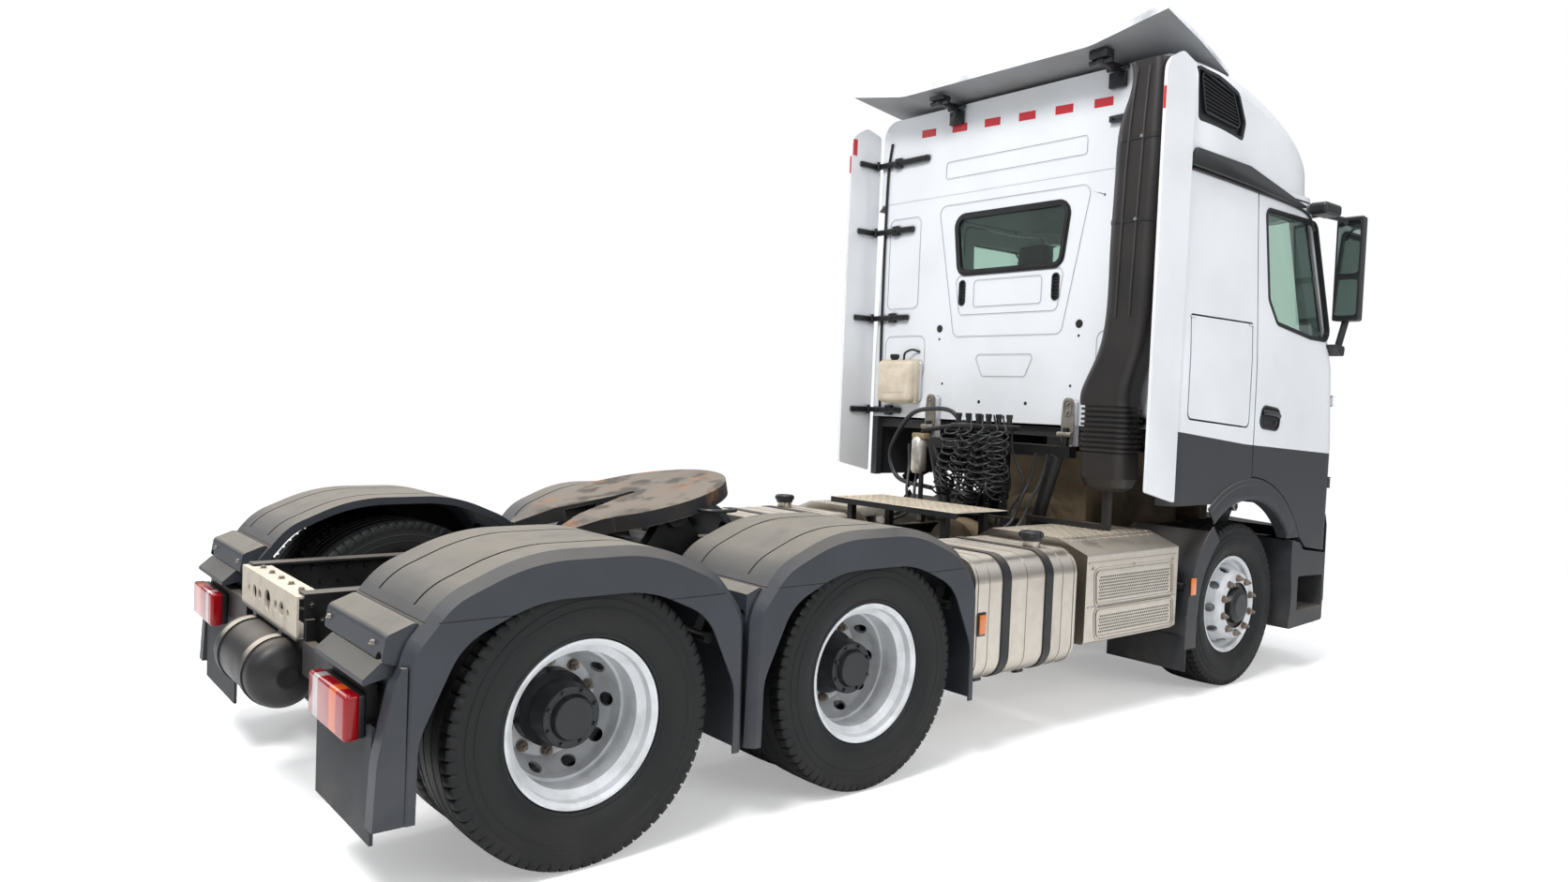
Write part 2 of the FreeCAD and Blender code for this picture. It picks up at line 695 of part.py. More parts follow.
def build_fifth_wheel_base():
    waves = 4
    length = waves * BASE_WAVE_PITCH
    x_from = FIFTH_WHEEL_X - length / 2
    low = RAIL_TOP_Z + SEAT_GAP
    band = wave_band(x_from, waves, BASE_WAVE_PITCH, low, BASE_WAVE_HEIGHT, BASE_PLATE_THICKNESS)
    plate = side_prism(band, -RAIL_OUTER_Y - 20, RAIL_OUTER_Y + 20)
    parts = [plate]
    top = low + BASE_PLATE_THICKNESS
    for side in (1, -1):
        y = side * PEDESTAL_Y
        outline = [
            (FIFTH_WHEEL_X - 190, top - 6, 10),
            (FIFTH_WHEEL_X + 190, top - 6, 10),
            (FIFTH_WHEEL_X + 170, top + 50, 30),
            (FIFTH_WHEEL_X + 44, FIFTH_WHEEL_PIVOT_Z + 30, 34),
            (FIFTH_WHEEL_X - 44, FIFTH_WHEEL_PIVOT_Z + 30, 34),
            (FIFTH_WHEEL_X - 170, top + 50, 30),
        ]
        parts.append(side_prism(outline, y - PEDESTAL_WIDTH / 2, y + PEDESTAL_WIDTH / 2))
        parts.append(cross_rod(FIFTH_WHEEL_X, FIFTH_WHEEL_PIVOT_Z, y - 60, y + 60, 22))
    keep("fifth_wheel_base", joined(*parts))


def build_fifth_wheel_plate():
    """Coupling plate with its throat, skirt, ribs and pivot ears, tilted back on its stop."""
    x = FIFTH_WHEEL_X
    top = FIFTH_WHEEL_TOP_Z
    low = top - FIFTH_WHEEL_THICKNESS
    disc = Part.makeCylinder(FIFTH_WHEEL_RADIUS, FIFTH_WHEEL_THICKNESS, vector(x, 0, low))
    hollow = Part.makeCylinder(FIFTH_WHEEL_RADIUS - 26, FIFTH_WHEEL_THICKNESS - 18, vector(x, 0, low - 1))
    ramp_rear = x - FIFTH_WHEEL_RADIUS - 120
    horns = plan_prism([
        (x - 300, 366, 10), (x - 300, 110), (ramp_rear + 60, 130, 30), (ramp_rear + 60, 240, 60),
    ], low, top)
    ribs = [block(x - 330, x + 330, y - 9, y + 9, low, top - 10) for y in (-300, -150, 150, 300)]
    rails = [block(x_rib - 9, x_rib + 9, -420, 420, low, top - 10) for x_rib in (x - 150, x + 120)]
    ring = cut_by(Part.makeCylinder(130, FIFTH_WHEEL_THICKNESS, vector(x, 0, low)),
                  Part.makeCylinder(90, FIFTH_WHEEL_THICKNESS + 2, vector(x, 0, low - 1)))
    core = Part.makeCylinder(96, FIFTH_WHEEL_THICKNESS, vector(x, 0, low))
    body = joined(cut_by(disc, hollow), *ribs, *rails, ring, core, horns, mirrored(horns))
    half_width = KINGPIN_SEAT_RADIUS
    rear = x - 700
    wide = half_width + (x - rear - 60) * math.tan(math.radians(THROAT_HALF_ANGLE))
    throat = plan_prism([
        (x, half_width), (x - 60, half_width), (rear, wide), (rear, -wide), (x - 60, -half_width), (x, -half_width),
    ], low - 5, top + 5)
    bore = Part.makeCylinder(half_width, FIFTH_WHEEL_THICKNESS + 10, vector(x, 0, low - 5))
    ramps = side_prism([(x - 340, top + 1), (rear, top + 1), (rear, top - 56)], -FIFTH_WHEEL_RADIUS,
                       FIFTH_WHEEL_RADIUS)
    body = cut_by(body, throat, bore, ramps)
    ears = []
    slots = []
    for side in (1, -1):
        for offset in (-(PEDESTAL_WIDTH / 2 + 16), PEDESTAL_WIDTH / 2 + 16):
            y = side * (PEDESTAL_Y + offset)
            ears.append(side_prism([
                (x - 90, top - 16), (x + 90, top - 16), (x + 34, FIFTH_WHEEL_PIVOT_Z - 34, 30),
                (x - 34, FIFTH_WHEEL_PIVOT_Z - 34, 30),
            ], y - 9, y + 9))
        pedestal_y = side * PEDESTAL_Y
        slots.append(block(x - 190, x + 190, pedestal_y - PEDESTAL_WIDTH / 2 - 6, pedestal_y + PEDESTAL_WIDTH / 2 + 6,
                           low - 5, top - 22))
        slots.append(cross_rod(x, FIFTH_WHEEL_PIVOT_Z, pedestal_y - 70, pedestal_y + 70, 22 + PIN_GAP))
    plate = cut_by(joined(body, *ears), *slots)
    plate.rotate(vector(x, 0, FIFTH_WHEEL_PIVOT_Z), vector(0, 1, 0), -FIFTH_WHEEL_STORED_TILT)
    keep("fifth_wheel_plate", plate)


# Bumper, steps and front flap

def bumper_body(inset):
    levels = [
        (285, CAB_FRONT_X - 40, CAB_HALF - 12),
        (450, BUMPER_FRONT_X, CAB_HALF + 3),
        (960, CAB_FRONT_X + 18, CAB_HALF + 3),
        (1034, CAB_FRONT_X, CAB_HALF),
    ]
    sections = [cab_section(z, front, half, inset) for z, front, half in levels]
    return Part.makeLoft(sections, True, True)


def headlamp_block(grow):
    return block(DOOR_FRONT_X + 120, CAB_FRONT_X + 100, 800 - grow, CAB_HALF + 50, 780 - grow, 960 + grow)


def build_bumper():
    bumper = bumper_body(0).cut(bumper_body(60)).common(block(DOOR_FRONT_X + 20, 6200, -1300, 1300, 200, 1100))
    intake = [block(5700, 6200, -620, 620, z, z + 60) for z in (480, 570, 660)]
    lamps = [headlamp_block(SEAT_GAP), mirrored(headlamp_block(SEAT_GAP))]
    tilt_room = cross_rod(TILT_PIVOT_X, TILT_PIVOT_Z, -940, 940, 108)
    middle_top = block(5600, 6200, -FLAP_HALF - 10, FLAP_HALF + 10, 950, 1100)
    bumper = cut_by(bumper, *intake, *lamps, tilt_room, middle_top)
    beam = block(RAIL_FRONT_X + SEAT_GAP, RAIL_FRONT_X + 90, -790, 790, RAIL_BOTTOM_Z + 20, RAIL_TOP_Z - 60)
    arms = [block(RAIL_FRONT_X + 80, 5890, y - 25, y + 25, RAIL_BOTTOM_Z + 130, RAIL_BOTTOM_Z + 190)
            for y in (-640, 640)]
    arms += [block(RAIL_FRONT_X + 80, 5890, y - 25, y + 25, 400, RAIL_BOTTOM_Z + 190) for y in (-700, 700)]
    socket = rod(vector(5735, 300, 420), vector(5925, 300, 420), 42)
    pin_bore = rod(vector(5500, 300, 420), vector(6200, 300, 420), 26)
    posts = []
    for side in (1, -1):
        y = side * (TILT_PIVOT_Y - 15)
        horn = side_prism([
            (RAIL_FRONT_X + 20, RAIL_TOP_Z - 100, 10), (RAIL_FRONT_X + 20, TILT_PIVOT_Z + 20, 20),
            (TILT_PIVOT_X, TILT_PIVOT_Z + 34, 20), (TILT_PIVOT_X + 34, TILT_PIVOT_Z, 30),
            (TILT_PIVOT_X, TILT_PIVOT_Z - 34, 20), (RAIL_FRONT_X + 90, RAIL_TOP_Z - 100, 10),
        ], y - 15, y + 15)
        pin = cross_rod(TILT_PIVOT_X, TILT_PIVOT_Z, y - side * 15, side * (TILT_PIVOT_Y + 36), TILT_PIN_RADIUS)
        posts += [horn, pin]
    keep("bumper", cut_by(joined(bumper, beam, *arms, *posts, socket), pin_bore))


def build_steps():
    """Left entry step box in front of the wheel, with its well and treads."""
    front = DOOR_FRONT_X
    solid = side_prism([
        (5110, 300, 20), (front, 320, 20), (front, DOOR_BOTTOM_Z - RUN_GAP - 6, 10), (5110, 885, 10),
    ], 880, CAB_HALF - 3)
    wheel_room = cross_rod(FRONT_AXLE_X, AXLE_Z, 800, 1300, 632)
    well = side_prism([(5215, 408, 20), (front - 20, 408, 20), (front - 20, 628, 20), (5215, 640, 20)], 960, 1300)
    above = door_prism(DOOR_GAP + 6, 800, 1300)
    solid = cut_by(solid, wheel_room, well, above)
    bracket = block(5290, 5390, RAIL_OUTER_Y + SEAT_GAP, 890, 660, 740)
    step = joined(solid, bracket)
    keep("entry_steps", step, mirrored(step))


def cab_nose(z):
    """Front of the cab on the centre line at a height up to the windscreen."""
    levels = cab_levels()
    for (low, nose_low, _), (high, nose_high, _) in zip(levels, levels[1:]):
        if z <= high:
            return nose_low + (nose_high - nose_low) * (z - low) / (high - low)
    return levels[-1][1]


def build_flap():
    """Service flap with the grille, hinged along its top edge."""
    face = [(cab_nose(z), z) for z in (FLAP_BOTTOM_Z, CAB_FLOOR_Z, FLAP_TOP_Z)]
    outline = face + [(x - FLAP_THICKNESS, z) for x, z in reversed(face)]
    middle = side_prism(outline, -FLAP_FLAT_HALF, FLAP_FLAT_HALF)
    edge = rounded_wire(outline, lambda point: vector(point.x, FLAP_FLAT_HALF, point.y))
    wing = Part.Face(edge).extrude(vector(-FLAP_FALL, FLAP_HALF - FLAP_FLAT_HALF, 0))
    flap = joined(middle, wing, mirrored(wing))
    slots = []
    for index in range(5):
        low = FLAP_BOTTOM_Z + 90 + index * 112
        half = FLAP_HALF - 70 - index * 12
        slots.append(front_prism([(-half, low, 18), (half, low, 18), (half, low + 62, 18), (-half, low + 62, 18)],
                                 5700, 6200))
    slots += [flap_hinge(y)[1] for y in (FLAP_HINGE_Y, -FLAP_HINGE_Y)]
    keep("front_flap", cut_by(flap, *slots))


# Fenders, brackets and rear equipment

def fender_outline(x, inset, low):
    """Outline in X and Z of a fender over the axle at x, drawn in by inset, down to low."""
    half = [
        (FENDER_LEG_X - inset, low),
        (FENDER_LEG_X - 10 - inset, AXLE_Z + 332 - inset * 0.4, 160),
        (FENDER_LEG_X - 148 - inset * 0.8, AXLE_Z + 502 - inset * 0.8, 260),
        (240, FENDER_TOP_Z - inset, 700),
    ]
    front = [(x + reach, *rest) for reach, *rest in half]
    rear = [(x - reach, *rest) for reach, *rest in reversed(half)]
    return front + rear


def fender_opening(x):
    """Outline in X and Z of the side opening that shows the wheel."""
    leg = FENDER_LEG_X - FENDER_LEG_WIDTH
    half = [(leg, 0), (leg - 6, AXLE_Z + 60, 220), (leg - 140, AXLE_Z + 345, 220), (215, AXLE_Z + 458, 500)]
    return [(x + reach, *rest) for reach, *rest in half] + [(x - reach, *rest) for reach, *rest in reversed(half)]


def bevelled(solid, y, size):
    """Break the outer rim of a prism where it ends at y, but for its foot."""
    rim = [edge for edge in solid.Edges
           if all(abs(vertex.Y - y) < 0.1 for vertex in edge.Vertexes) and edge.CenterOfMass.z > FENDER_BOTTOM_Z + 1]
    return solid.makeChamfer(size, rim)


def fender_hump(x, rear_x):
    """Raised box behind the joint of a fender, cut off at rear_x, with its round socket."""
    top = FENDER_HUMP_TOP_Z
    end = x - FENDER_HUMP_REAR_X
    outer = FENDER_OUTER_Y - FENDER_BEVEL - 12
    solid = side_prism([
        (x - 585, top + 4, 20), (end + 12, top - 38, 24), (end, top - 118, 12), (x - 640, top - 140, 10),
        (x - 600, top - 140),
    ], FENDER_INNER_Y + 30, outer)
    socket = rod(vector(end - 20, outer - 32, top - 118), vector(end + 90, outer - 32, top - 118), 27)
    inside = side_prism(fender_outline(x, FENDER_SKIN / 2, 0), FENDER_INNER_Y, FENDER_OUTER_Y)
    room = block(rear_x, x, FENDER_INNER_Y - 10, FENDER_OUTER_Y + 10, 0, 1200)
    return cut_by(solid, socket, inside).common(room)


def rear_fender(x):
    """Left fender over one twin wheel: bevelled arch with grooves, a joint over each leg and side bands."""
    skin = FENDER_SKIN
    solid = bevelled(side_prism(fender_outline(x, 0, FENDER_BOTTOM_Z), FENDER_INNER_Y, FENDER_OUTER_Y),
                     FENDER_OUTER_Y, FENDER_BEVEL)
    inside = fender_outline(x, skin, FENDER_BOTTOM_Z - 20)
    hollow = bevelled(side_prism(inside, FENDER_INNER_Y + skin, FENDER_OUTER_Y - skin), FENDER_OUTER_Y - skin,
                      FENDER_BEVEL)
    lip = fender_outline(x, skin + FENDER_LIP, FENDER_BOTTOM_Z - 20)
    side = side_prism(lip, FENDER_INNER_Y - 1, FENDER_INNER_Y + skin + 1)
    wheel_side = side_prism(fender_opening(x), FENDER_OUTER_Y - skin - 1, FENDER_OUTER_Y + 1)
    grooves = []
    arch = block(x - 700, x + 700, FENDER_INNER_Y, FENDER_OUTER_Y, FENDER_JOINT_Z + 30, 1200)
    for y in FENDER_GROOVE_YS:
        half = FENDER_GROOVE_WIDTH / 2
        outside = side_prism(fender_outline(x, -5, 0), y - half, y + half)
        floor = side_prism(fender_outline(x, FENDER_GROOVE_DEPTH, -10), y - half - 1, y + half + 1)
        grooves.append(cut_by(outside, floor).common(arch))
    joint = block(x - 900, x + 900, FENDER_INNER_Y - 1, FENDER_OUTER_Y + 1, FENDER_JOINT_Z,
                  FENDER_JOINT_Z + FENDER_JOINT_WIDTH)
    core = side_prism(fender_outline(x, skin / 2, 0), FENDER_INNER_Y - 2, FENDER_OUTER_Y - skin / 2)
    return cut_by(solid, hollow, side, wheel_side, *grooves, cut_by(joint, core))


def lamp_shelf():
    """Sloping shelf over the left lamp, behind the rearmost fender."""
    shelf_z = LAMP_TOP_Z + 40
    front = 6 - FENDER_LEG_X
    return side_prism([
        (front, FENDER_HUMP_TOP_Z - 112), (-FENDER_HUMP_REAR_X + 2, FENDER_HUMP_TOP_Z - 122, 8),
        (-FENDER_SHELF_X, shelf_z + 18, 6), (-FENDER_SHELF_X, shelf_z, 6), (front, shelf_z + 22),
    ], LAMP_INNER_Y - 48, FENDER_FLARE_Y + 10)


def side_flare():
    """Side panel that widens the rear leg of the rearmost left fender beside the lamp."""
    front = -640
    return side_prism([
        (front, FENDER_BOTTOM_Z), (-FENDER_FLARE_X, FENDER_BOTTOM_Z), (-FENDER_FLARE_X + 10, AXLE_Z + 10, 400),
        (-FENDER_LEG_X - 14, AXLE_Z + 230, 200), (-FENDER_LEG_X + 10, AXLE_Z + 290), (front, AXLE_Z + 290),
    ], FENDER_FLARE_Y, FENDER_OUTER_Y - 4)


def build_fenders():
    rear = joined(rear_fender(0), fender_hump(0, -1000))
    for piece in (lamp_shelf(), side_flare()):
        rear = joined(rear, piece)
    middle = joined(rear_fender(FRONT_DRIVE_X), fender_hump(FRONT_DRIVE_X, FRONT_DRIVE_X - FENDER_LEG_X))
    keep("fenders_left", rear, middle)
    keep("fenders_right", mirrored(rear), mirrored(middle))


def build_fender_brackets():
    """Cross tubes from the rails under the fenders, and the arms of the rear lamps."""
    parts = []
    for x in (0, FRONT_DRIVE_X):
        inside = fender_outline(x, FENDER_SKIN + SEAT_GAP, 0)
        for way in (1, -1):
            turn = math.radians(FENDER_TUBE_ANGLE)
            tube_x = x + way * FENDER_TUBE_REACH * math.cos(turn)
            tube_z = AXLE_Z + FENDER_TUBE_REACH * math.sin(turn)
            bar = cross_rod(tube_x, tube_z, RAIL_OUTER_Y + SEAT_GAP, FENDER_OUTER_Y - 60, FENDER_TUBE_RADIUS)
            flange = cross_rod(tube_x, tube_z, RAIL_OUTER_Y + SEAT_GAP, RAIL_OUTER_Y + 14, 48)
            saddles = []
            for y in (FENDER_INNER_Y + 60, FENDER_OUTER_Y - 160):
                room = side_prism(inside, y, y + 50)
                plate = side_prism([
                    (tube_x - way * 16, tube_z - 14), (tube_x + way * 16, tube_z - 14),
                    (tube_x + way * 170, tube_z + 130), (tube_x + way * 90, tube_z + 230),
                ], y, y + 50)
                saddles.append(plate.common(room))
            parts.append(joined(bar, flange, *saddles))
    lamp_face = LAMP_REAR_X + LAMP_DEPTH + SEAT_GAP
    arm_front = lamp_face + 36
    arm = block(lamp_face, arm_front, RAIL_OUTER_Y + SEAT_GAP, LAMP_OUTER_Y - 20, LAMP_TOP_Z - 100, LAMP_TOP_Z + 20)
    foot = block(RAIL_REAR_X, arm_front, RAIL_OUTER_Y + SEAT_GAP, RAIL_OUTER_Y + 24, LAMP_TOP_Z - 100,
                 RAIL_TOP_Z - 90)
    parts.append(joined(arm, foot))
    keep("fender_brackets", *parts, *[mirrored(part) for part in parts])


def build_rear_equipment():
    lamp = block(LAMP_REAR_X, LAMP_REAR_X + LAMP_DEPTH, LAMP_INNER_Y, LAMP_OUTER_Y, LAMP_TOP_Z - LAMP_HEIGHT,
                 LAMP_TOP_Z)
    lamp = lamp.makeFillet(12, [edge for edge in lamp.Edges if abs(edge.tangentAt(0).x) > 0.9])
    headlamp = bumper_body(0).common(headlamp_block(0)).cut(bumper_body(90))
    keep("lamps", lamp, mirrored(lamp), headlamp, mirrored(headlamp))
    flap_x = LAMP_REAR_X + LAMP_DEPTH + SEAT_GAP
    flap = block(flap_x, flap_x + 12, FENDER_INNER_Y + 20, FENDER_FLARE_Y - 8, 240, LAMP_TOP_Z - 100 - SEAT_GAP)
    low_x = FRONT_AXLE_X - MUDGUARD_RADIUS - MUDGUARD_SKIN - SEAT_GAP
    low = block(low_x - 10, low_x, 700, CAB_HALF - 16, 180, 380)
    keep("mud_flaps", flap, mirrored(flap), low, mirrored(low))
    ends = AIR_TANK_HALF
    profile = [
        (-ends, 1), (ends, 1), (ends, 40, 20), (ends - 45, AIR_TANK_RADIUS, 60), (-ends + 45, AIR_TANK_RADIUS, 60),
        (-ends, 40, 20),
    ]
    tank = turned(profile, vector(AIR_TANK_X, 0, AIR_TANK_Z))
    keep("air_tank", tank)


# Side equipment

def tank_outline(grow):
    """Section in Y and Z of the fuel tank, grown outwards."""
    inner = TANK_INNER_Y - grow
    outer = TANK_OUTER_Y - STRAP_THICKNESS + grow
    low = TANK_BOTTOM_Z - grow
    high = TANK_TOP_Z + grow
    corner = TANK_CORNER + grow
    return [(inner, low, corner * 0.6), (outer, low, corner), (outer, high, corner), (inner, high, corner * 0.6)]


def build_tanks():
    front = TANK_REAR_X + TANK_LENGTH
    tank = front_prism(tank_outline(0), TANK_REAR_X, front)
    neck = post(front - 150, TANK_OUTER_Y - 190, TANK_TOP_Z - 10, TANK_TOP_Z + 52, 46)
    tank = joined(tank, neck)
    keep("fuel_tanks", tank, mirrored(tank))
    parts = []
    for x in (TANK_REAR_X + 230, TANK_REAR_X + 560):
        band = cut_by(front_prism(tank_outline(STRAP_THICKNESS), x - STRAP_WIDTH / 2, x + STRAP_WIDTH / 2),
                      front_prism(tank_outline(SEAT_GAP), x - STRAP_WIDTH, x + STRAP_WIDTH))
        bracket = front_prism([
            (RAIL_OUTER_Y + SEAT_GAP, RAIL_BOTTOM_Z + 20),
            (RAIL_OUTER_Y + SEAT_GAP, RAIL_TOP_Z - 20),
            (TANK_INNER_Y - 2, RAIL_TOP_Z - 20),
            (TANK_INNER_Y - 2, TANK_BOTTOM_Z + 30),
            (TANK_INNER_Y - 60, TANK_BOTTOM_Z + 30),
        ], x - STRAP_WIDTH / 2, x + STRAP_WIDTH / 2)
        foot = block(x - STRAP_WIDTH / 2, x + STRAP_WIDTH / 2, TANK_INNER_Y - 60, TANK_OUTER_Y - 160,
                     TANK_BOTTOM_Z - 40, TANK_BOTTOM_Z - 2)
        knee = block(x - STRAP_WIDTH / 2, x + STRAP_WIDTH / 2, TANK_INNER_Y - 60, TANK_INNER_Y - 2,
                     TANK_BOTTOM_Z - 40, TANK_BOTTOM_Z + 40)
        clear = front_prism(tank_outline(SEAT_GAP), x - STRAP_WIDTH, x + STRAP_WIDTH)
        parts.append(joined(band, cut_by(joined(bracket, foot, knee), clear)))
    keep("tank_brackets", *parts, *[mirrored(part) for part in parts])


def side_box():
    """Left box beside the frame with a bevelled lid."""
    front = SIDE_BOX_REAR_X + SIDE_BOX_LENGTH
    body = front_prism([
        (RAIL_OUTER_Y + SEAT_GAP, SIDE_BOX_BOTTOM_Z + 60),
        (RAIL_OUTER_Y + SEAT_GAP, SIDE_BOX_TOP_Z - 40),
        (470, SIDE_BOX_TOP_Z + 20),
        (560, SIDE_BOX_LID_Z),
        (1010, SIDE_BOX_LID_Z),
        (TANK_OUTER_Y, SIDE_BOX_TOP_Z, 8),
        (TANK_OUTER_Y, SIDE_BOX_BOTTOM_Z, 24),
        (560, SIDE_BOX_BOTTOM_Z - 20, 24),
    ], SIDE_BOX_REAR_X, front)
    return body


def build_side_boxes():
    box = side_box()
    keep("side_boxes", mirrored(box), box)


def build_deck():
    """Tread plate over the frame behind the cab, with folded edges and legs."""
    front = DECK_REAR_X + DECK_LENGTH
    plate = block(DECK_REAR_X, front, -DECK_HALF, DECK_HALF, DECK_TOP_Z - 34, DECK_TOP_Z)
    plate = cut_by(plate, block(DECK_REAR_X + 4, front - 4, -DECK_HALF - 1, DECK_HALF + 1, DECK_TOP_Z - 35,
                                DECK_TOP_Z - 4))
    legs = []
    for x in (DECK_REAR_X + 40, front - 80):
        for side in (1, -1):
            low = min(side * (RAIL_OUTER_Y - 50), side * (RAIL_OUTER_Y - 10))
            legs.append(block(x, x + 40, low, low + 40, RAIL_TOP_Z + SEAT_GAP, DECK_TOP_Z - 4))
    keep("deck_plate", joined(plate, *legs))


def build_mudguards():
    """Chassis mudguards behind the front wheels."""
    centre = axle_centre(FRONT_AXLE_X)
    inner = MUDGUARD_RADIUS
    skin = MUDGUARD_SKIN
    outer_y = CAB_HALF + 2
    profile = [
        (690, inner), (outer_y - 8, inner), (outer_y - 8, inner - 66), (outer_y, inner - 66), (outer_y, inner + skin + 42),
        (outer_y - 8, inner + skin + 42), (outer_y - 8, inner + skin), (690, inner + skin),
    ]
    guard = turned(profile, centre, 128, 52)
    x = FRONT_AXLE_X - inner - skin
    wall = block(x, x + skin, 690, outer_y, 316, AXLE_Z + 4)
    side = block(x - 50, x + skin + 58, outer_y - 8, outer_y, 316, AXLE_Z + 4)
    arm = cross_rod(x + 7, AXLE_Z + 160, RAIL_OUTER_Y + SEAT_GAP, outer_y - 60, 20)
    guard = joined(guard, wall, side, arm)
    keep("front_mudguards", guard, mirrored(guard))


# Drive train block and cab supports

def build_engine():
    engine = block(FRONT_AXLE_X - 350, FRONT_AXLE_X + 750, -320, 320, 560, 1400)
    bell = rod(vector(FRONT_AXLE_X - 350, 0, 830), vector(FRONT_AXLE_X - 560, 0, 830), 270)
    gearbox = rod(vector(FRONT_AXLE_X - 560, 0, 810), vector(FRONT_AXLE_X - 1290, 0, AXLE_Z + 250), 200)
    radiator = block(5400, 5500, -420, 420, RAIL_TOP_Z + SEAT_GAP, 1440)
    reach = RAIL_OUTER_Y - RAIL_WEB - SEAT_GAP
    mounts = [block(x, x + 80, -reach, reach, 700, 760) for x in (FRONT_AXLE_X - 250, FRONT_AXLE_X + 580)]
    keep("engine_gearbox", cut_by(joined(engine, bell, gearbox, *mounts),
                                  rod(vector(FRONT_AXLE_X - 1310, 0, AXLE_Z + 250),
                                      vector(FRONT_AXLE_X - 1290, 0, AXLE_Z + 250), 300)), radiator)


def build_cab_mount():
    """Rear cab supports: posts, cross beam and handrail on the frame."""
    beam = block(CAB_BEAM_REAR_X, CAB_BEAM_FRONT_X, -LATCH_Y - 50, LATCH_Y + 50, CAB_BEAM_TOP_Z - 70, CAB_BEAM_TOP_Z)
    parts = [beam]
    for side in (1, -1):
        y = side * 380
        parts.append(block(3500, 3640, y - 30, y + 30, RAIL_TOP_Z + SEAT_GAP, 1000))
        parts.append(rod(vector(3560, y, 990), vector(3560, side * 500, 1390), 42))
    keep("cab_mount", joined(*parts))
    rail_y = RAIL_OUTER_Y - 22
    rail = joined(rod(vector(3330, rail_y, RAIL_TOP_Z + SEAT_GAP), vector(3330, rail_y, 1500), 16),
                  rod(vector(3330, rail_y, 1500), vector(3420, 60, 1560), 16),
                  rod(vector(3420, 60, 1560), vector(3420, 60, RAIL_TOP_Z + 104), 16))
    shelf = block(3300, 3440, -300, RAIL_OUTER_Y - 10, RAIL_TOP_Z + 100, RAIL_TOP_Z + 112)
    foot = block(3310, 3350, 360, 400, RAIL_TOP_Z + SEAT_GAP, RAIL_TOP_Z + 104)
    other = block(3310, 3350, -400, -290, RAIL_TOP_Z + SEAT_GAP, RAIL_TOP_Z + 112)
    keep("line_bracket", joined(rail, shelf, foot, other))


# Cab

def cab_section(z, front, half, inset):
    """Horizontal outline of the cab at one height, drawn in by inset."""
    side = half - inset
    rear = CAB_REAR_X + (REAR_WALL if inset > 0 else inset)
    nose = front - inset
    corner = 30 if inset > 0 else CAB_CORNER
    corners = [
        (rear, -side, corner), (nose - 300, -side, 180), (nose - 60, -(side - 330), 240), (nose, 0, 1500),
        (nose - 60, side - 330, 240), (nose - 300, side, 180), (rear, side, corner),
    ]
    return rounded_wire(corners, lambda point: vector(point.x, point.y, z))


def cab_levels():
    return [
        (700, CAB_FRONT_X - 15, CAB_HALF),
        (CAB_FLOOR_Z, CAB_FRONT_X, CAB_HALF),
        (CAB_BELT_Z, CAB_FRONT_X - 55, CAB_HALF),
        (CAB_SEAM_Z, CAB_FRONT_X - 395, CAB_ROOF_HALF),
    ]


def cab_body(inset):
    sections = [cab_section(z, front, half, inset) for z, front, half in cab_levels()]
    return Part.makeLoft(sections, True, True)


def roof_section(x, half, top, corner, inset):
    side = half - inset
    high = top - inset
    corners = [(-side, CAB_SEAM_Z), (-side + 12, high, corner), (side - 12, high, corner), (side, CAB_SEAM_Z)]
    return rounded_wire(corners, lambda point: vector(x, point.x, point.y))


def roof_body(inset):
    rear = CAB_REAR_X + (REAR_WALL if inset > 0 else inset)
    stations = [
        (rear, CAB_ROOF_HALF, CAB_ROOF_Z, 120),
        (4400, CAB_ROOF_HALF, CAB_ROOF_Z - 25, 130),
        (4900, CAB_ROOF_HALF - 10, CAB_ROOF_Z - 160, 130),
        (5220, CAB_ROOF_HALF - 60, CAB_ROOF_Z - 320, 120),
        (5480 - inset, CAB_ROOF_HALF - 340, CAB_SEAM_Z + 70 + inset, 30),
    ]
    sections = [roof_section(*station, inset) for station in stations]
    return Part.makeLoft(sections, True, False)


def door_outline(grow):
    """Door edge in X and Z, grown outwards."""
    arch = ARCH_BAND_RADIUS + 8 - grow
    low_x = FRONT_AXLE_X + math.sqrt(arch ** 2 - (900 - AXLE_Z) ** 2)
    corners = [
        (DOOR_REAR_X - grow, AXLE_Z + math.sqrt(arch ** 2 - 25 ** 2)),
        (DOOR_REAR_X - 28 - grow, DOOR_TOP_Z + grow, 60),
        (DOOR_FRONT_X - 318 + grow, DOOR_TOP_Z + grow, 60),
        (DOOR_FRONT_X + grow, CAB_BELT_Z + 110, 200),
        (DOOR_FRONT_X + grow, DOOR_BOTTOM_Z - grow, 20),
        (low_x + 90, DOOR_BOTTOM_Z + 40 - grow, 30),
        (low_x, 900),
    ]
    return corners


def door_prism(grow, y_from, y_to):
    return cut_by(side_prism(door_outline(grow), y_from, y_to),
                  ring_sector(vector(FRONT_AXLE_X, 0, AXLE_Z), 10, ARCH_BAND_RADIUS + 8 - grow, y_from - 5, y_to + 5,
                              0, 180))


def window_outline(grow):
    return [
        (4600 - grow, 2945 + grow, 40),
        (5262 + grow, 2945 + grow, 60),
        (5478 + grow, 2200 - grow, 60),
        (5200, 2205 - grow, 200),
        (4760, 2262 - grow, 60),
        (4650 - grow, 2400, 80),
    ]


def windscreen_cutter():
    return front_prism([
        (-1010, 3010, 90), (1010, 3010, 90), (1075, 2060, 110), (-1075, 2060, 110),
    ], 5300, 6200)


def rear_window_outline(grow):
    return [
        (-445 - grow, 2930 + grow, 60), (445 + grow, 2930 + grow, 60), (400 + grow, 2570 - grow, 50),
        (-400 - grow, 2570 - grow, 50),
    ]


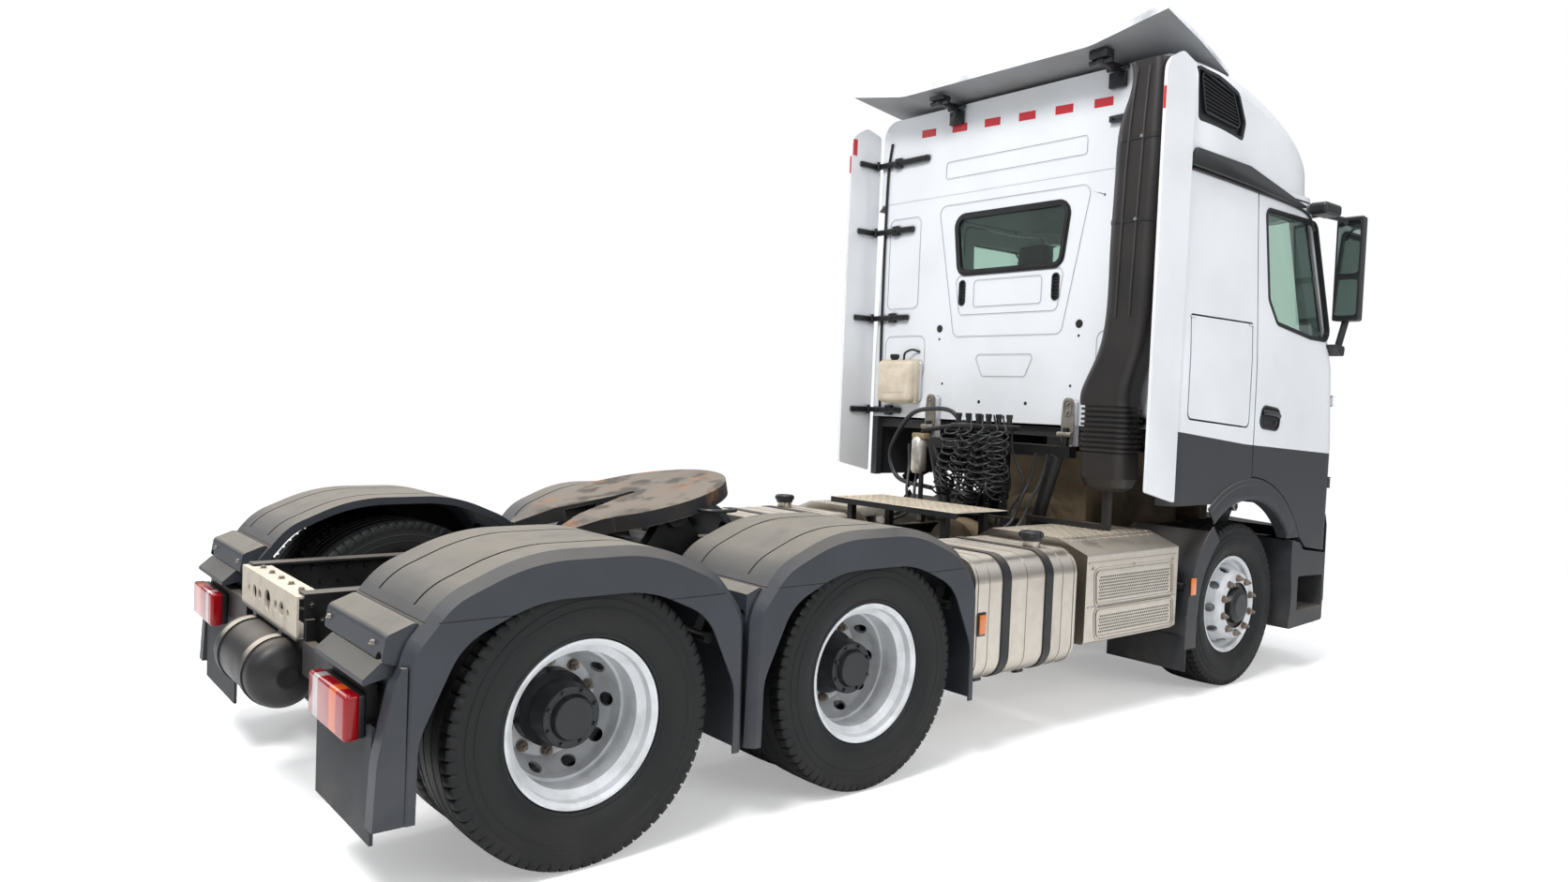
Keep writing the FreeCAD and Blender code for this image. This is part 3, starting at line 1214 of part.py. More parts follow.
def locker_outline(grow):
    return [
        (3740 - grow, 1640 - grow, 40), (4450 + grow, 1600 - grow, 40), (4450 + grow, LOCKER_TOP_Z + grow, 20),
        (3740 - grow, LOCKER_TOP_Z + grow, 20),
    ]


def door_hinge(z):
    """One left door hinge: bracket with pin, sleeve, and the room each leaves in the other piece."""
    x = DOOR_HINGE_X
    y = DOOR_HINGE_Y
    pin = post(x, y, z - 37, z + 37, DOOR_PIN_RADIUS)
    plates = [pin]
    for low in (z - 37, z + 27):
        plates += [post(x, y, low, low + 10, 11), block(x, x + 34, y - 37, y, low, low + 10)]
    bracket = joined(*plates)
    sleeve = joined(post(x, y, z - 25, z + 25, 12), block(x - 26, x, y - 26, y - 2, z - 25, z + 25))
    sleeve = cut_by(sleeve, post(x, y, z - 30, z + 30, DOOR_PIN_RADIUS + PIN_GAP))
    return bracket, sleeve, post(x, y, z - 26, z + 26, 28), post(x, y, z - 43, z + 43, 17)


def flap_hinge(y):
    """Hanger plate with its pin for the front flap, and the slot it needs in the flap."""
    x = FLAP_HINGE_X
    z = FLAP_HINGE_Z
    plate = block(x - 10, x - 2, y - 5, y + 5, z, FLAP_TOP_Z + 30)
    eye = cross_rod(x, z, y - 5, y + 5, 9)
    pin = cross_rod(x, z, y - 22, y + 22, SMALL_PIN_RADIUS)
    slot = block(x - 18, x + 60, y - 11, y + 11, z - 18, z + 60)
    return joined(plate, eye, pin), joined(slot, cross_rod(x, z, y - 23, y + 23, SMALL_PIN_RADIUS + PIN_GAP))


def lid_pins(grow):
    """Hinge pins at both ends of the left locker lid, grown to make their bores."""
    z = LOCKER_TOP_Z - 16
    radius = SMALL_PIN_RADIUS + grow
    return [rod(vector(start - grow, LID_HINGE_Y, z), vector(start + 55 + grow, LID_HINGE_Y, z), radius)
            for start in (3735, 4400)]


def pressed_line(corners):
    """Cutter for the shallow groove round a panel pressed into the rear wall."""
    wire = rounded_wire(corners, lambda point: vector(CAB_REAR_X - 1, point.x, point.y))
    border = Part.Face(wire).cut(Part.Face(wire.makeOffset2D(-PRESSED_WIDTH)))
    return border.extrude(vector(PRESSED_DEPTH + 1, 0, 0))


def trapezoid(top_half, top_z, low_half, low_z, radius):
    """Corners of a panel that is even about the centre line."""
    return [(-low_half, low_z, radius), (low_half, low_z, radius), (top_half, top_z, radius),
            (-top_half, top_z, radius)]


def wall_pressings():
    """Cutters for the panels, vents and plug holes of the rear wall."""
    panels = [
        trapezoid(620, 3030, 440, 2125, 60),
        trapezoid(445, 2545, 400, 2270, 50),
        trapezoid(280, 2507, 280, 2320, 30),
        trapezoid(408, 2077, 288, 1786, 45),
        trapezoid(249, 2015, 178, 1860, 30),
    ]
    for side in (1, -1):
        for near, far, low, high, radius in ((690, 742, 2300, 2965, 24), (775, 1085, 2335, 2985, 50),
                                             (690, 1085, 1850, 2150, 60)):
            inner = min(side * near, side * far)
            outer = max(side * near, side * far)
            panels.append([(inner, low, radius), (outer, low, radius), (outer, high, radius), (inner, high, radius)])
    cutters = [pressed_line(panel) for panel in panels]
    for side in (1, -1):
        y = side * WALL_VENT_Y
        cutters.append(front_prism([(y - 24, 2345, 23), (y + 24, 2345, 23), (y + 24, 2508, 23), (y - 24, 2508, 23)],
                                   CAB_REAR_X - 1, CAB_REAR_X + 14))
        for hole_y, z, radius in ((564, 2192, 22), (564, 2120, 9), (521, 1816, 9), (190, 1700, 12)):
            cutters.append(rod(vector(CAB_REAR_X - 1, side * hole_y, z), vector(CAB_REAR_X + 12, side * hole_y, z),
                               radius))
    return cutters


def build_rear_wall(shell, high):
    """Pressed rear wall with its window, latch brackets and the fluid reservoir on its left."""
    rear_box = block(CAB_REAR_X - 10, CAB_REAR_X + REAR_WALL, -1130, 1130, CAB_WALL_BOTTOM_Z, high)
    rear = shell.common(rear_box)
    rear = cut_by(rear, front_prism(rear_window_outline(0), CAB_REAR_X - 20, CAB_REAR_X + 200))
    latches = []
    for y in (LATCH_Y, -LATCH_Y):
        latches.append(front_prism([
            (y - 30, CAB_BEAM_TOP_Z + SEAT_GAP), (y + 30, CAB_BEAM_TOP_Z + SEAT_GAP), (y + 30, LATCH_TOP_Z, 12),
            (y - 30, LATCH_TOP_Z, 12),
        ], CAB_BEAM_FRONT_X - 25, CAB_REAR_X + 12))
    reservoir = block(RESERVOIR_REAR_X, CAB_REAR_X + 12, 708, 1031, 1682, 1972)
    reservoir = reservoir.makeFillet(34, [edge for edge in reservoir.Edges if edge.CenterOfMass.x < CAB_REAR_X])
    keep("cab_rear_wall", cut_by(joined(rear, *latches, reservoir), *wall_pressings()))


def build_cab():
    shell = cab_body(0).cut(cab_body(SIDE_WALL))
    wall_y = CAB_HALF - SIDE_WALL
    high = CAB_SEAM_Z - SEAT_GAP
    big = 3000
    build_rear_wall(shell, high)
    # Front wall and windscreen header
    screen = windscreen_cutter()
    front_upper = shell.common(block(5100, 6200, -1100, 1100, 1960, high))
    front_lower = shell.common(block(5560, 6200, -1100, 1100, 1060, 1960))
    front = cut_by(joined(front_upper, front_lower), screen)
    flap_edge = FLAP_HALF + RUN_GAP
    flap_cut = front_prism([(-flap_edge, 1030), (flap_edge, 1030), (flap_edge, FLAP_TOP_Z + 10),
                            (-flap_edge, FLAP_TOP_Z + 10)], FIREWALL_X + 52, CAB_FRONT_X + 200)
    front = cut_by(front, flap_cut)
    firewall = block(FIREWALL_X, FIREWALL_X + 50, -1100, 1100, 1120, 1990)
    inner = cab_body(SIDE_WALL - 1)
    firewall = firewall.common(inner)
    ears = []
    for side in (1, -1):
        y = side * (TILT_PIVOT_Y + 19)
        ear = side_prism([
            (FIREWALL_X, 1140, 10), (FIREWALL_X + 50, 1140, 10), (TILT_PIVOT_X - 44, TILT_PIVOT_Z + 36, 10),
            (TILT_PIVOT_X + 26, TILT_PIVOT_Z + 28, 16),
            (TILT_PIVOT_X + 14, TILT_PIVOT_Z - 36, 20), (TILT_PIVOT_X - 30, TILT_PIVOT_Z - 30, 20),
            (FIREWALL_X, 1090, 10),
        ], y - 15, y + 15)
        bore = cross_rod(TILT_PIVOT_X, TILT_PIVOT_Z, y - 40, y + 40, TILT_PIN_RADIUS + PIN_GAP)
        ears.append(cut_by(ear, bore))
    door_room = door_prism(DOOR_GAP, 700, 1400)
    hangers = [flap_hinge(y)[0] for y in (FLAP_HINGE_Y, -FLAP_HINGE_Y)]
    front = cut_by(joined(front, firewall, *ears, *hangers), door_room, mirrored(door_room))
    # Sides with door and locker openings
    zone = joined(
        block(CAB_REAR_X - 10, 5700, 0, CAB_HALF + 50, CLADDING_BOTTOM_Z, high),
        block(FRONT_AXLE_X, CAB_FRONT_X + 50, 0, CAB_HALF + 50, DOOR_BOTTOM_Z, high))
    centre = block(CAB_REAR_X - 100, 6300, -1130, 1130, 600, high + 10)
    nose_box = block(5100, 6200, -1100, 1100, 600, high)
    left = cut_by(shell.common(zone), centre.cut(block(5100, 6300, 1100, 1131, 500, 4000)), nose_box)
    arch = ring_sector(vector(FRONT_AXLE_X, 0, AXLE_Z), 10, ARCH_RADIUS, 1000, 1400, -10, 190)
    under = block(FRONT_AXLE_X, 6300, 1000, 1400, 500, DOOR_BOTTOM_Z + 330)
    door_open = side_prism(door_outline(DOOR_GAP), wall_y - 80, CAB_HALF + 100)
    band_guard = ring_sector(vector(FRONT_AXLE_X, 0, AXLE_Z), 10, ARCH_BAND_RADIUS, 1000, 1400, 20, 160)
    left = cut_by(left, arch, cut_by(under, band_guard), cut_by(door_open, band_guard),
                  side_prism(locker_outline(0), 1100, 1400), block(FRONT_AXLE_X, DOOR_FRONT_X, 1000, 1400, 500, 900))
    for z in DOOR_HINGE_HEIGHTS:
        bracket, _, room, _ = door_hinge(z)
        left = joined(cut_by(left, room), bracket)
    left = joined(left, *lid_pins(0))
    keep("cab_side_left", left)
    keep("cab_side_right", mirrored(left))
    keep("cab_front", front)
    # Roof with its side vents and the pressed band on its back
    roof = roof_body(0).cut(roof_body(SIDE_WALL))
    vent = side_prism(ROOF_VENT_OUTLINE, CAB_ROOF_HALF - ROOF_VENT_DEPTH, CAB_HALF + 50)
    band = pressed_line(trapezoid(570, 3325, 570, 3200, 30))
    keep("cab_roof", cut_by(roof, vent, mirrored(vent), band))
    # Floor with bunk base, seat stands and front hinge ears
    floor_zone = cab_body(SIDE_WALL + SEAT_GAP)
    floor = floor_zone.common(block(CAB_REAR_X, 5700, -big, big, CAB_FLOOR_Z, CAB_FLOOR_Z + FLOOR_THICKNESS))
    floor = cut_by(floor, block(FIREWALL_X - SEAT_GAP, 6300, -big, big, 1000, 2500),
                   door_prism(DOOR_GAP, 1000, 1400), mirrored(door_prism(DOOR_GAP, 1000, 1400)))
    top = CAB_FLOOR_Z + FLOOR_THICKNESS
    rear_face = CAB_REAR_X + REAR_WALL + SEAT_GAP
    base = block(4440, 4470, -1130, 1130, top - 1, BUNK_TOP_Z)
    board = block(rear_face, 4470, -1130, 1130, BUNK_TOP_Z - 24, BUNK_TOP_Z)
    stands = [plan_prism([(4790, y - 150, 40), (5110, y - 150, 40), (5110, y + 150, 40), (4790, y + 150, 40)],
                         top - 1, SEAT_LOW_Z - SEAT_GAP) for y in (SEAT_Y, -SEAT_Y)]
    keep("cab_floor", joined(floor, base, board, *stands))
    # Glass
    glass_shell = cab_body(20).cut(cab_body(26))
    windscreen = glass_shell.common(front_prism([
        (-1010 + SEAT_GAP, 3010, 90), (1010 - SEAT_GAP, 3010, 90), (1075 - SEAT_GAP, 2060, 110),
        (-1075 + SEAT_GAP, 2060, 110)], 5300, 6200))
    rear_glass = front_prism(rear_window_outline(-SEAT_GAP), CAB_REAR_X + 14, CAB_REAR_X + 20)
    keep("cab_glass", windscreen, rear_glass)


def build_doors():
    wall_y = CAB_HALF - SIDE_WALL
    shell = cab_body(0).cut(cab_body(SIDE_WALL))
    door = shell.common(door_prism(0, 1000, 1400))
    door = cut_by(door, side_prism(window_outline(0), 1000, 1400))
    for z in DOOR_HINGE_HEIGHTS:
        _, sleeve, _, room = door_hinge(z)
        door = cut_by(joined(cut_by(door, room), sleeve), post(DOOR_HINGE_X, DOOR_HINGE_Y, z - 30, z + 30,
                                                               DOOR_PIN_RADIUS + PIN_GAP))
    keep("door_left", door)
    keep("door_right", mirrored(door))
    glass = cab_body(24).cut(cab_body(30)).common(side_prism(window_outline(-SEAT_GAP), 1000, 1400))
    keep("door_glass_left", glass)
    keep("door_glass_right", mirrored(glass))
    lid = shell.common(side_prism(locker_outline(-LID_GAP), 1000, 1400))
    lid = cut_by(lid, *lid_pins(PIN_GAP))
    keep("locker_lid_left", lid)
    keep("locker_lid_right", mirrored(lid))


def build_interior():
    parts = []
    for y in (SEAT_Y, -SEAT_Y):
        cushion = block(4680, 5190, y - 255, y + 255, SEAT_LOW_Z, SEAT_LOW_Z + 150)
        back = side_prism([(4700, SEAT_LOW_Z + 100, 20), (4850, SEAT_LOW_Z + 100, 20), (4700, 2700, 40),
                           (4590, 2700, 40)], y - 235, y + 235)
        head = side_prism([(4590, 2690, 20), (4700, 2690, 20), (4680, 2900, 30), (4600, 2900, 30)], y - 140, y + 140)
        parts.append(joined(cushion, back, head))
    rear_face = CAB_REAR_X + REAR_WALL + SEAT_GAP
    mattress = plan_prism([(rear_face + 10, -1080, 60), (4440, -1080, 60), (4440, 1080, 60),
                           (rear_face + 10, 1080, 60)], BUNK_TOP_Z + SEAT_GAP, BUNK_TOP_Z + 130)
    keep("seats_bunk", *parts, mattress)
    dash = side_prism([
        (FIREWALL_X - SEAT_GAP, 1800), (FIREWALL_X - SEAT_GAP, 2150, 30), (5420, 2190, 40), (5300, 2080, 40),
        (5330, 1860, 40), (5450, 1800, 30),
    ], -DASH_HALF, DASH_HALF).common(cab_body(SIDE_WALL + RUN_GAP))
    hub = vector(5140, SEAT_Y, 2330)
    axis = vector(-0.5, 0, 0.87).normalize()
    column = rod(hub - axis * 330, hub, 38)
    ring = Part.makeTorus(225, 16, hub, axis)
    disc = Part.makeCylinder(62, 34, hub - axis * 17, axis)
    across = axis.cross(vector(0, 1, 0)).normalize()
    spokes = [rod(hub, hub + vector(0, 1, 0) * 225, 13), rod(hub, hub - vector(0, 1, 0) * 225, 13),
              rod(hub, hub + across * 225, 13)]
    keep("dashboard", joined(dash, column, ring, disc, *spokes))


def build_deflectors():
    outer = DEFLECTOR_OUTER_Y
    inner = outer - DEFLECTOR_SKIN
    panel = side_prism([
        (3640, 1172, 12), (3640, 3600, 30), (3500, 3640, 60), (DEFLECTOR_REAR_X, 3560, 120),
        (DEFLECTOR_REAR_X, 1236, 20),
    ], inner, outer)
    brackets = []
    for z in (1620, 2280, 2900, 3380):
        if z > CAB_SEAM_Z:
            start = 1040
        else:
            start = 1010
        arm = block(CAB_REAR_X - 26, CAB_REAR_X - SEAT_GAP, start, inner + 2, z - 16, z + 16)
        foot = block(CAB_REAR_X - 190, CAB_REAR_X - 10, inner - 12, inner + 2, z - 16, z + 16)
        brackets += [arm, foot]
    side = joined(panel, *brackets)
    keep("side_deflectors", side, mirrored(side))
    sections = []
    for x, middle, corner, half in ((4560, 3672, 3640, 900), (4200, 3712, 3730, 1120), (3760, 3725, 3800, 1190),
                                    (DEFLECTOR_REAR_X, ROOF_DEFLECTOR_MIDDLE_Z, ROOF_DEFLECTOR_TOP_Z, 1225)):
        corners = [
            (-half, corner - 40), (-half + 8, corner, 12), (-half * 0.6, middle + (corner - middle) * 0.3, 500),
            (half * 0.6, middle + (corner - middle) * 0.3, 500), (half - 8, corner, 12), (half, corner - 40),
            (half * 0.6, middle + (corner - middle) * 0.3 - 32, 500),
            (-half * 0.6, middle + (corner - middle) * 0.3 - 32, 500),
        ]
        sections.append(rounded_wire(corners, lambda point: vector(x, point.x, point.y)))
    spoiler = Part.makeLoft(sections, True, True)
    clear = cut_by(spoiler, roof_body(-SEAT_GAP))
    keep("roof_deflector", max(clear.Solids, key=lambda solid: solid.Volume))


def snorkel_section(z, y_from, y_to, x, depth, radius):
    corners = [(x - depth / 2, y_from, radius), (x + depth / 2, y_from, radius), (x + depth / 2, y_to, radius),
               (x - depth / 2, y_to, radius)]
    return rounded_wire(corners, lambda point: vector(point.x, point.y, z))


def build_snorkel():
    """Air intake duct behind the right rear corner of the cab, with its bellows."""
    x = SNORKEL_X
    stations = [
        (1700, -1072, -752), (1850, -1080, -780), (2000, -1125, -850), (2200, -1161, -890), (2600, -1175, -896),
        (3000, -1192, -905), (3300, -1196, -930), (3600, -1200, -975),
    ]
    sections = [snorkel_section(z, low, high, x, SNORKEL_DEPTH, 60) for z, low, high in stations]
    duct = Part.makeLoft(sections, True, False)
    rings = []
    for index in range(9):
        rings.append(snorkel_section_solid(1440 + index * 29, 1440 + index * 29 + 15, 8))
    core = snorkel_section_solid(1436, 1702, -6)
    stay = block(x + SNORKEL_DEPTH / 2 - 10, CAB_REAR_X - SEAT_GAP, -1060, -980, 2700, 2760)
    stay_low = block(x + SNORKEL_DEPTH / 2 - 10, CAB_REAR_X - SEAT_GAP, -1000, -940, 1900, 1960)
    keep("intake_snorkel", joined(duct, core, *rings, stay, stay_low))
    pot = Part.makeLoft([
        snorkel_section(1215, -1010, -830, x, 100, 40), snorkel_section(1240, -1050, -790, x, 170, 60),
        snorkel_section(1290, -1072, -768, x, 204, 70), snorkel_section(1434, -1072, -768, x, 204, 70)], True, True)
    foot_z = SIDE_BOX_LID_Z + SEAT_GAP
    leg = block(x - 20, x + 20, -940, -900, foot_z, 1240)
    foot = block(x - 20, x + 20, -940, -RAIL_OUTER_Y + 50, foot_z, foot_z + 32)
    heel = block(x - 20, x + 20, -RAIL_OUTER_Y + 10, -RAIL_OUTER_Y + 50, RAIL_TOP_Z + SEAT_GAP, foot_z + 32)
    keep("intake_pot", joined(pot, leg, foot, heel))


def snorkel_section_solid(z_from, z_to, grow):
    x = SNORKEL_X
    corners = [(x - 102 - grow, -1072 - grow, 66), (x + 102 + grow, -1072 - grow, 66),
               (x + 102 + grow, -768 + grow, 66), (x - 102 - grow, -768 + grow, 66)]
    return plan_prism(corners, z_from, z_to)


def build_mirrors():
    housing = plan_prism([(5482, 1228, 10), (5482, 1402, 10), (5600, 1385, 50), (5600, 1245, 50)], 2330, 3015)
    housing = housing.makeFillet(14, [edge for edge in housing.Edges if abs(edge.tangentAt(0).z) < 0.1])
    upper = rod(vector(5540, 1300, 2990), vector(5280, 1212, 3010), 17)
    knee = rod(vector(5280, 1212, 3010), vector(5245, 1100, 2995), 17)
    lower = rod(vector(5540, 1300, 2345), vector(5515, 1262, 2130), 22)
    wedge = side_prism([(5400, 2175, 10), (5575, 2165, 20), (5560, 2090, 20)], CAB_HALF - 110, 1290)
    parts = joined(housing, upper, knee, lower, wedge)
    skin = cab_body(-SEAT_GAP)
    left = max(cut_by(parts, skin).Solids, key=lambda solid: solid.Volume)
    keep("mirror_left", left)
    kerb = block(5110, 5330, 1206, 1330, 2985, 3062)
    kerb = kerb.makeFillet(24, kerb.Edges)
    right = max(cut_by(joined(parts, kerb), skin).Solids, key=lambda solid: solid.Volume)
    keep("mirror_right", mirrored(right))


def main():
    os.makedirs("parts", exist_ok=True)
    build_wheels()
    build_front_axle()
    build_steering()
    build_drive_axles()
    build_frame()
    build_crossmembers()
    build_fifth_wheel_base()
    build_fifth_wheel_plate()
    build_fenders()
    build_fender_brackets()
    build_rear_equipment()
    build_tanks()
    build_side_boxes()
    build_deck()
    build_mudguards()
    build_engine()
    build_cab_mount()
    build_cab()
    build_doors()
    build_interior()
    build_deflectors()
    build_snorkel()
    build_mirrors()
    build_bumper()
    build_steps()
    build_flap()
    for name, solids in NODES.items():
        shape = Part.makeCompound(solids)
        shape.translate(vector(-ORIGIN_X, 0, 0))
        shape.exportStep("parts/" + name + ".step")


main()
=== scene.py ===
"""Looks of a three-axle truck tractor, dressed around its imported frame.

Lengths are metres and places are in the row frame: X forward, Y to the left, Z up from the ground.
A place written with spot() counts X from the rearmost axle, as the maker's drawings do.
"""

import logging
import math
from dataclasses import dataclass, field
from enum import Enum
from typing import Callable, Optional, Sequence

import bmesh
import bpy
from mathutils import Matrix, Quaternion, Vector


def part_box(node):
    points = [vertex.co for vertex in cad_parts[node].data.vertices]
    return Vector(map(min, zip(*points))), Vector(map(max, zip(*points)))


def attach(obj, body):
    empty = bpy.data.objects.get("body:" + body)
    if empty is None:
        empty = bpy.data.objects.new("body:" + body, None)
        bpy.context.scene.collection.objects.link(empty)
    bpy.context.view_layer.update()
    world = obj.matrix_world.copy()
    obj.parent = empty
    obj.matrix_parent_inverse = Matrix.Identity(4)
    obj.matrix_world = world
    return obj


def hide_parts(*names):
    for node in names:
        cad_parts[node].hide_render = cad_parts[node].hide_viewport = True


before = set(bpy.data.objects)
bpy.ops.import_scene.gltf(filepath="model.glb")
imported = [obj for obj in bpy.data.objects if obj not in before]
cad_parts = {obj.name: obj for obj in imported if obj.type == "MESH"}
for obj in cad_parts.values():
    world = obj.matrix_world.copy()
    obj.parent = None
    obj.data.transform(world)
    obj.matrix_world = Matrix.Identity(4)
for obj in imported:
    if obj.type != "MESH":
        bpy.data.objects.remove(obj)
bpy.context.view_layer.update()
LOG = logging.getLogger("tractor")

REAR_AXLE = sum(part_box("wheel_rear_left"), Vector()) / 2
FRONT_AXLE_X = (sum(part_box("wheel_front_left"), Vector()) / 2).x
MIDDLE_AXLE_X = (sum(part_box("wheel_mid_left"), Vector()) / 2).x
SMOOTH_ANGLE = math.radians(35)

SIDES = ((1, "left"), (-1, "right"))
REARWARD = Vector((-1, 0, 0))
UP = Vector((0, 0, 1))

Socket = bpy.types.NodeSocket
Corners = Sequence[Sequence[float]]
Span = tuple[float, float]
Point = tuple[float, float, float]
Place = Callable[[float, float], Vector]


class Body(str, Enum):
    """Bodies of the frame that pieces ride on."""

    CHASSIS = "chassis"
    CAB = "cab"
    DOOR_LEFT = "door_left"
    DOOR_RIGHT = "door_right"
    FLAP = "front_flap"
    LID_LEFT = "locker_lid_left"
    LID_RIGHT = "locker_lid_right"
    COUPLING = "fifth_wheel"


class Slot(str, Enum):
    """Material slots of the record."""

    PAINT = "cab_paint"
    CHASSIS = "chassis_paint"
    CAST = "cast_part"
    STEEL = "plate_steel"
    PLASTIC = "grey_plastic"
    LAMP = "lamp_plastic"
    GLASS = "glass"
    TANK = "tank_metal"
    RIM = "rim_metal"
    TYRE = "tyre"
    RUBBER = "flap_rubber"
    INTERIOR = "interior_plastic"
    FABRIC = "seat_fabric"


def spot(x: float, y: float, z: float) -> Vector:
    """Row place of a point whose X counts from the rearmost axle."""
    return Vector((REAR_AXLE.x + x, y, z))


def linear(hex_colour: str) -> tuple[float, float, float, float]:
    """Turn an sRGB hex value into linear red, green, blue and alpha.

    Args:
        hex_colour: Six hex digits after a hash.

    Returns:
        Four numbers for a shader socket.
    """
    parts = [int(hex_colour[index:index + 2], 16) / 255 for index in (1, 3, 5)]
    red, green, blue = [value / 12.92 if value <= 0.04045 else ((value + 0.055) / 1.055) ** 2.4 for value in parts]
    return red, green, blue, 1.0


def add_node(tree: bpy.types.NodeTree, kind: str, inputs: Optional[dict] = None, out: int = 0, **settings) -> Socket:
    """Add a node with its settings and links.

    Args:
        tree: Node tree that takes the node.
        kind: Blender's name of the node type.
        inputs: Value or socket for each input, by name or number.
        out: Number of the output that is given back.
        **settings: Properties of the node.

    Returns:
        The chosen output socket, or None where the node has no output.
    """
    node = tree.nodes.new(kind)
    for name, value in settings.items():
        setattr(node, name, value)
    for key, value in (inputs or {}).items():
        if isinstance(value, Socket):
            tree.links.new(value, node.inputs[key])
        else:
            node.inputs[key].default_value = value
    return node.outputs[out] if node.outputs else None


def placed(name: str, data: bpy.types.ID) -> bpy.types.Object:
    """Put an object with this data in the scene, at the origin."""
    made = bpy.data.objects.new(name, data)
    bpy.context.scene.collection.objects.link(made)
    return made


def on_side(y: float) -> Place:
    """Places on the upright plane along the vehicle at this Y."""
    return lambda x, z: spot(x, y, z)


def on_end(x: float) -> Place:
    """Places on the upright plane across the vehicle, this far from the rearmost axle."""
    return lambda y, z: spot(x, y, z)


def on_level(z: float) -> Place:
    """Places on the level plane at this height."""
    return lambda x, y: spot(x, y, z)


class Sketch:
    """A material in the making: what its layers have done so far."""

    def __init__(self, name: str, colour: str, roughness: float, metallic: float) -> None:
        """Start with one colour all over.

        Args:
            name: Name of the material.
            colour: Hex colour of the bare surface.
            roughness: Its roughness.
            metallic: Its metal share.
        """
        self.material = bpy.data.materials.new(name)
        self.material.use_nodes = True
        self.tree = self.material.node_tree
        self.tree.nodes.clear()
        self.place = add_node(self.tree, "ShaderNodeTexCoord", out=3)
        self.values = {"Base Color": linear(colour), "Roughness": roughness, "Metallic": metallic}
        self.height: Optional[Socket] = None

    def along(self, axis: int) -> Socket:
        """Place along one axis, 0 to 2 for X to Z."""
        return add_node(self.tree, "ShaderNodeSeparateXYZ", {0: self.place}, out=axis)

    def ramp(self, value: Socket, low: float, high: float) -> Socket:
        """Turn a value into 0 at low and 1 at high, smoothly."""
        return add_node(self.tree, "ShaderNodeMapRange", {0: value, 1: low, 2: high}, interpolation_type="SMOOTHSTEP")

    def both(self, first: Socket, second: Socket | float) -> Socket:
        """Product of two masks."""
        return add_node(self.tree, "ShaderNodeMath", {0: first, 1: second}, operation="MULTIPLY")

    def patches(self, size: float, low: float, high: float, stretch: Sequence[float] = (1, 1, 1)) -> Socket:
        """Mask of soft irregular patches.

        Args:
            size: Rough width of a patch.
            low: Noise level where a patch begins.
            high: Noise level where it is full.
            stretch: How much finer the patches are along each axis.

        Returns:
            Mask from 0 to 1.
        """
        place = add_node(self.tree, "ShaderNodeMapping", {0: self.place, 3: tuple(stretch)})
        noise = add_node(self.tree, "ShaderNodeTexNoise", {"Vector": place, "Scale": 1 / size, "Detail": 5.0})
        return self.ramp(noise, low, high)

    def upward(self, low: float, high: float) -> Socket:
        """Mask of faces that look up."""
        normal = add_node(self.tree, "ShaderNodeNewGeometry", out=1)
        return self.ramp(add_node(self.tree, "ShaderNodeSeparateXYZ", {0: normal}, out=2), low, high)

    def cover(self, mask: Socket, colour: Optional[str] = None, roughness: Optional[float] = None,
              metallic: Optional[float] = None) -> None:
        """Lay a colour, roughness or metal share over what is there, where the mask says.

        Args:
            mask: Where the layer lies.
            colour: Hex colour of the layer, if it has one.
            roughness: Its roughness, if it changes that.
            metallic: Its metal share, if it changes that.
        """
        if colour is not None:
            before = self.values["Base Color"]
            self.values["Base Color"] = add_node(self.tree, "ShaderNodeMix", {0: mask, 6: before, 7: linear(colour)},
                                                 out=2, data_type="RGBA")
        for name, value in (("Roughness", roughness), ("Metallic", metallic)):
            if value is not None:
                before = self.values[name]
                self.values[name] = add_node(self.tree, "ShaderNodeMix", {0: mask, 2: before, 3: value})

    def raise_by(self, share: Socket, depth: float) -> None:
        """Add relief of a depth where a pattern is 1.

        Args:
            share: Pattern from 0 to 1.
            depth: Height where the pattern is 1.
        """
        inputs = {0: share, 1: depth}
        if self.height is not None:
            inputs[2] = self.height
            self.height = add_node(self.tree, "ShaderNodeMath", inputs, operation="MULTIPLY_ADD")
        else:
            self.height = add_node(self.tree, "ShaderNodeMath", inputs, operation="MULTIPLY")


@dataclass(frozen=True)
class Patches:
    """Uneven colour in soft patches, such as stains and faded stretches."""

    colour: str
    size: float
    low: float = 0.4
    high: float = 0.7
    strength: float = 1.0
    roughness: Optional[float] = None
    metallic: Optional[float] = None
    stretch: Point = (1, 1, 1)

    def lay(self, sketch: Sketch) -> None:
        """Add the layer."""
        mask = sketch.patches(self.size, self.low, self.high, self.stretch)
        sketch.cover(sketch.both(mask, self.strength), self.colour, self.roughness, self.metallic)


@dataclass(frozen=True)
class Settled:
    """Pale road dust that settles on faces that look up."""

    colour: str = "#B9B0A2"
    strength: float = 0.8
    steep: float = 0.35
    flat: float = 0.9
    size: float = 0.25

    def lay(self, sketch: Sketch) -> None:
        """Add the layer.

        Args:
            sketch: Material in the making.
        """
        dust = sketch.both(sketch.upward(self.steep, self.flat), self.strength)
        mask = sketch.both(dust, sketch.ramp(add_node(sketch.tree, "ShaderNodeTexNoise", {
            "Vector": sketch.place, "Scale": 1 / self.size, "Detail": 6.0}), 0.1, 0.55))
        sketch.cover(mask, self.colour, 0.85, 0.0)


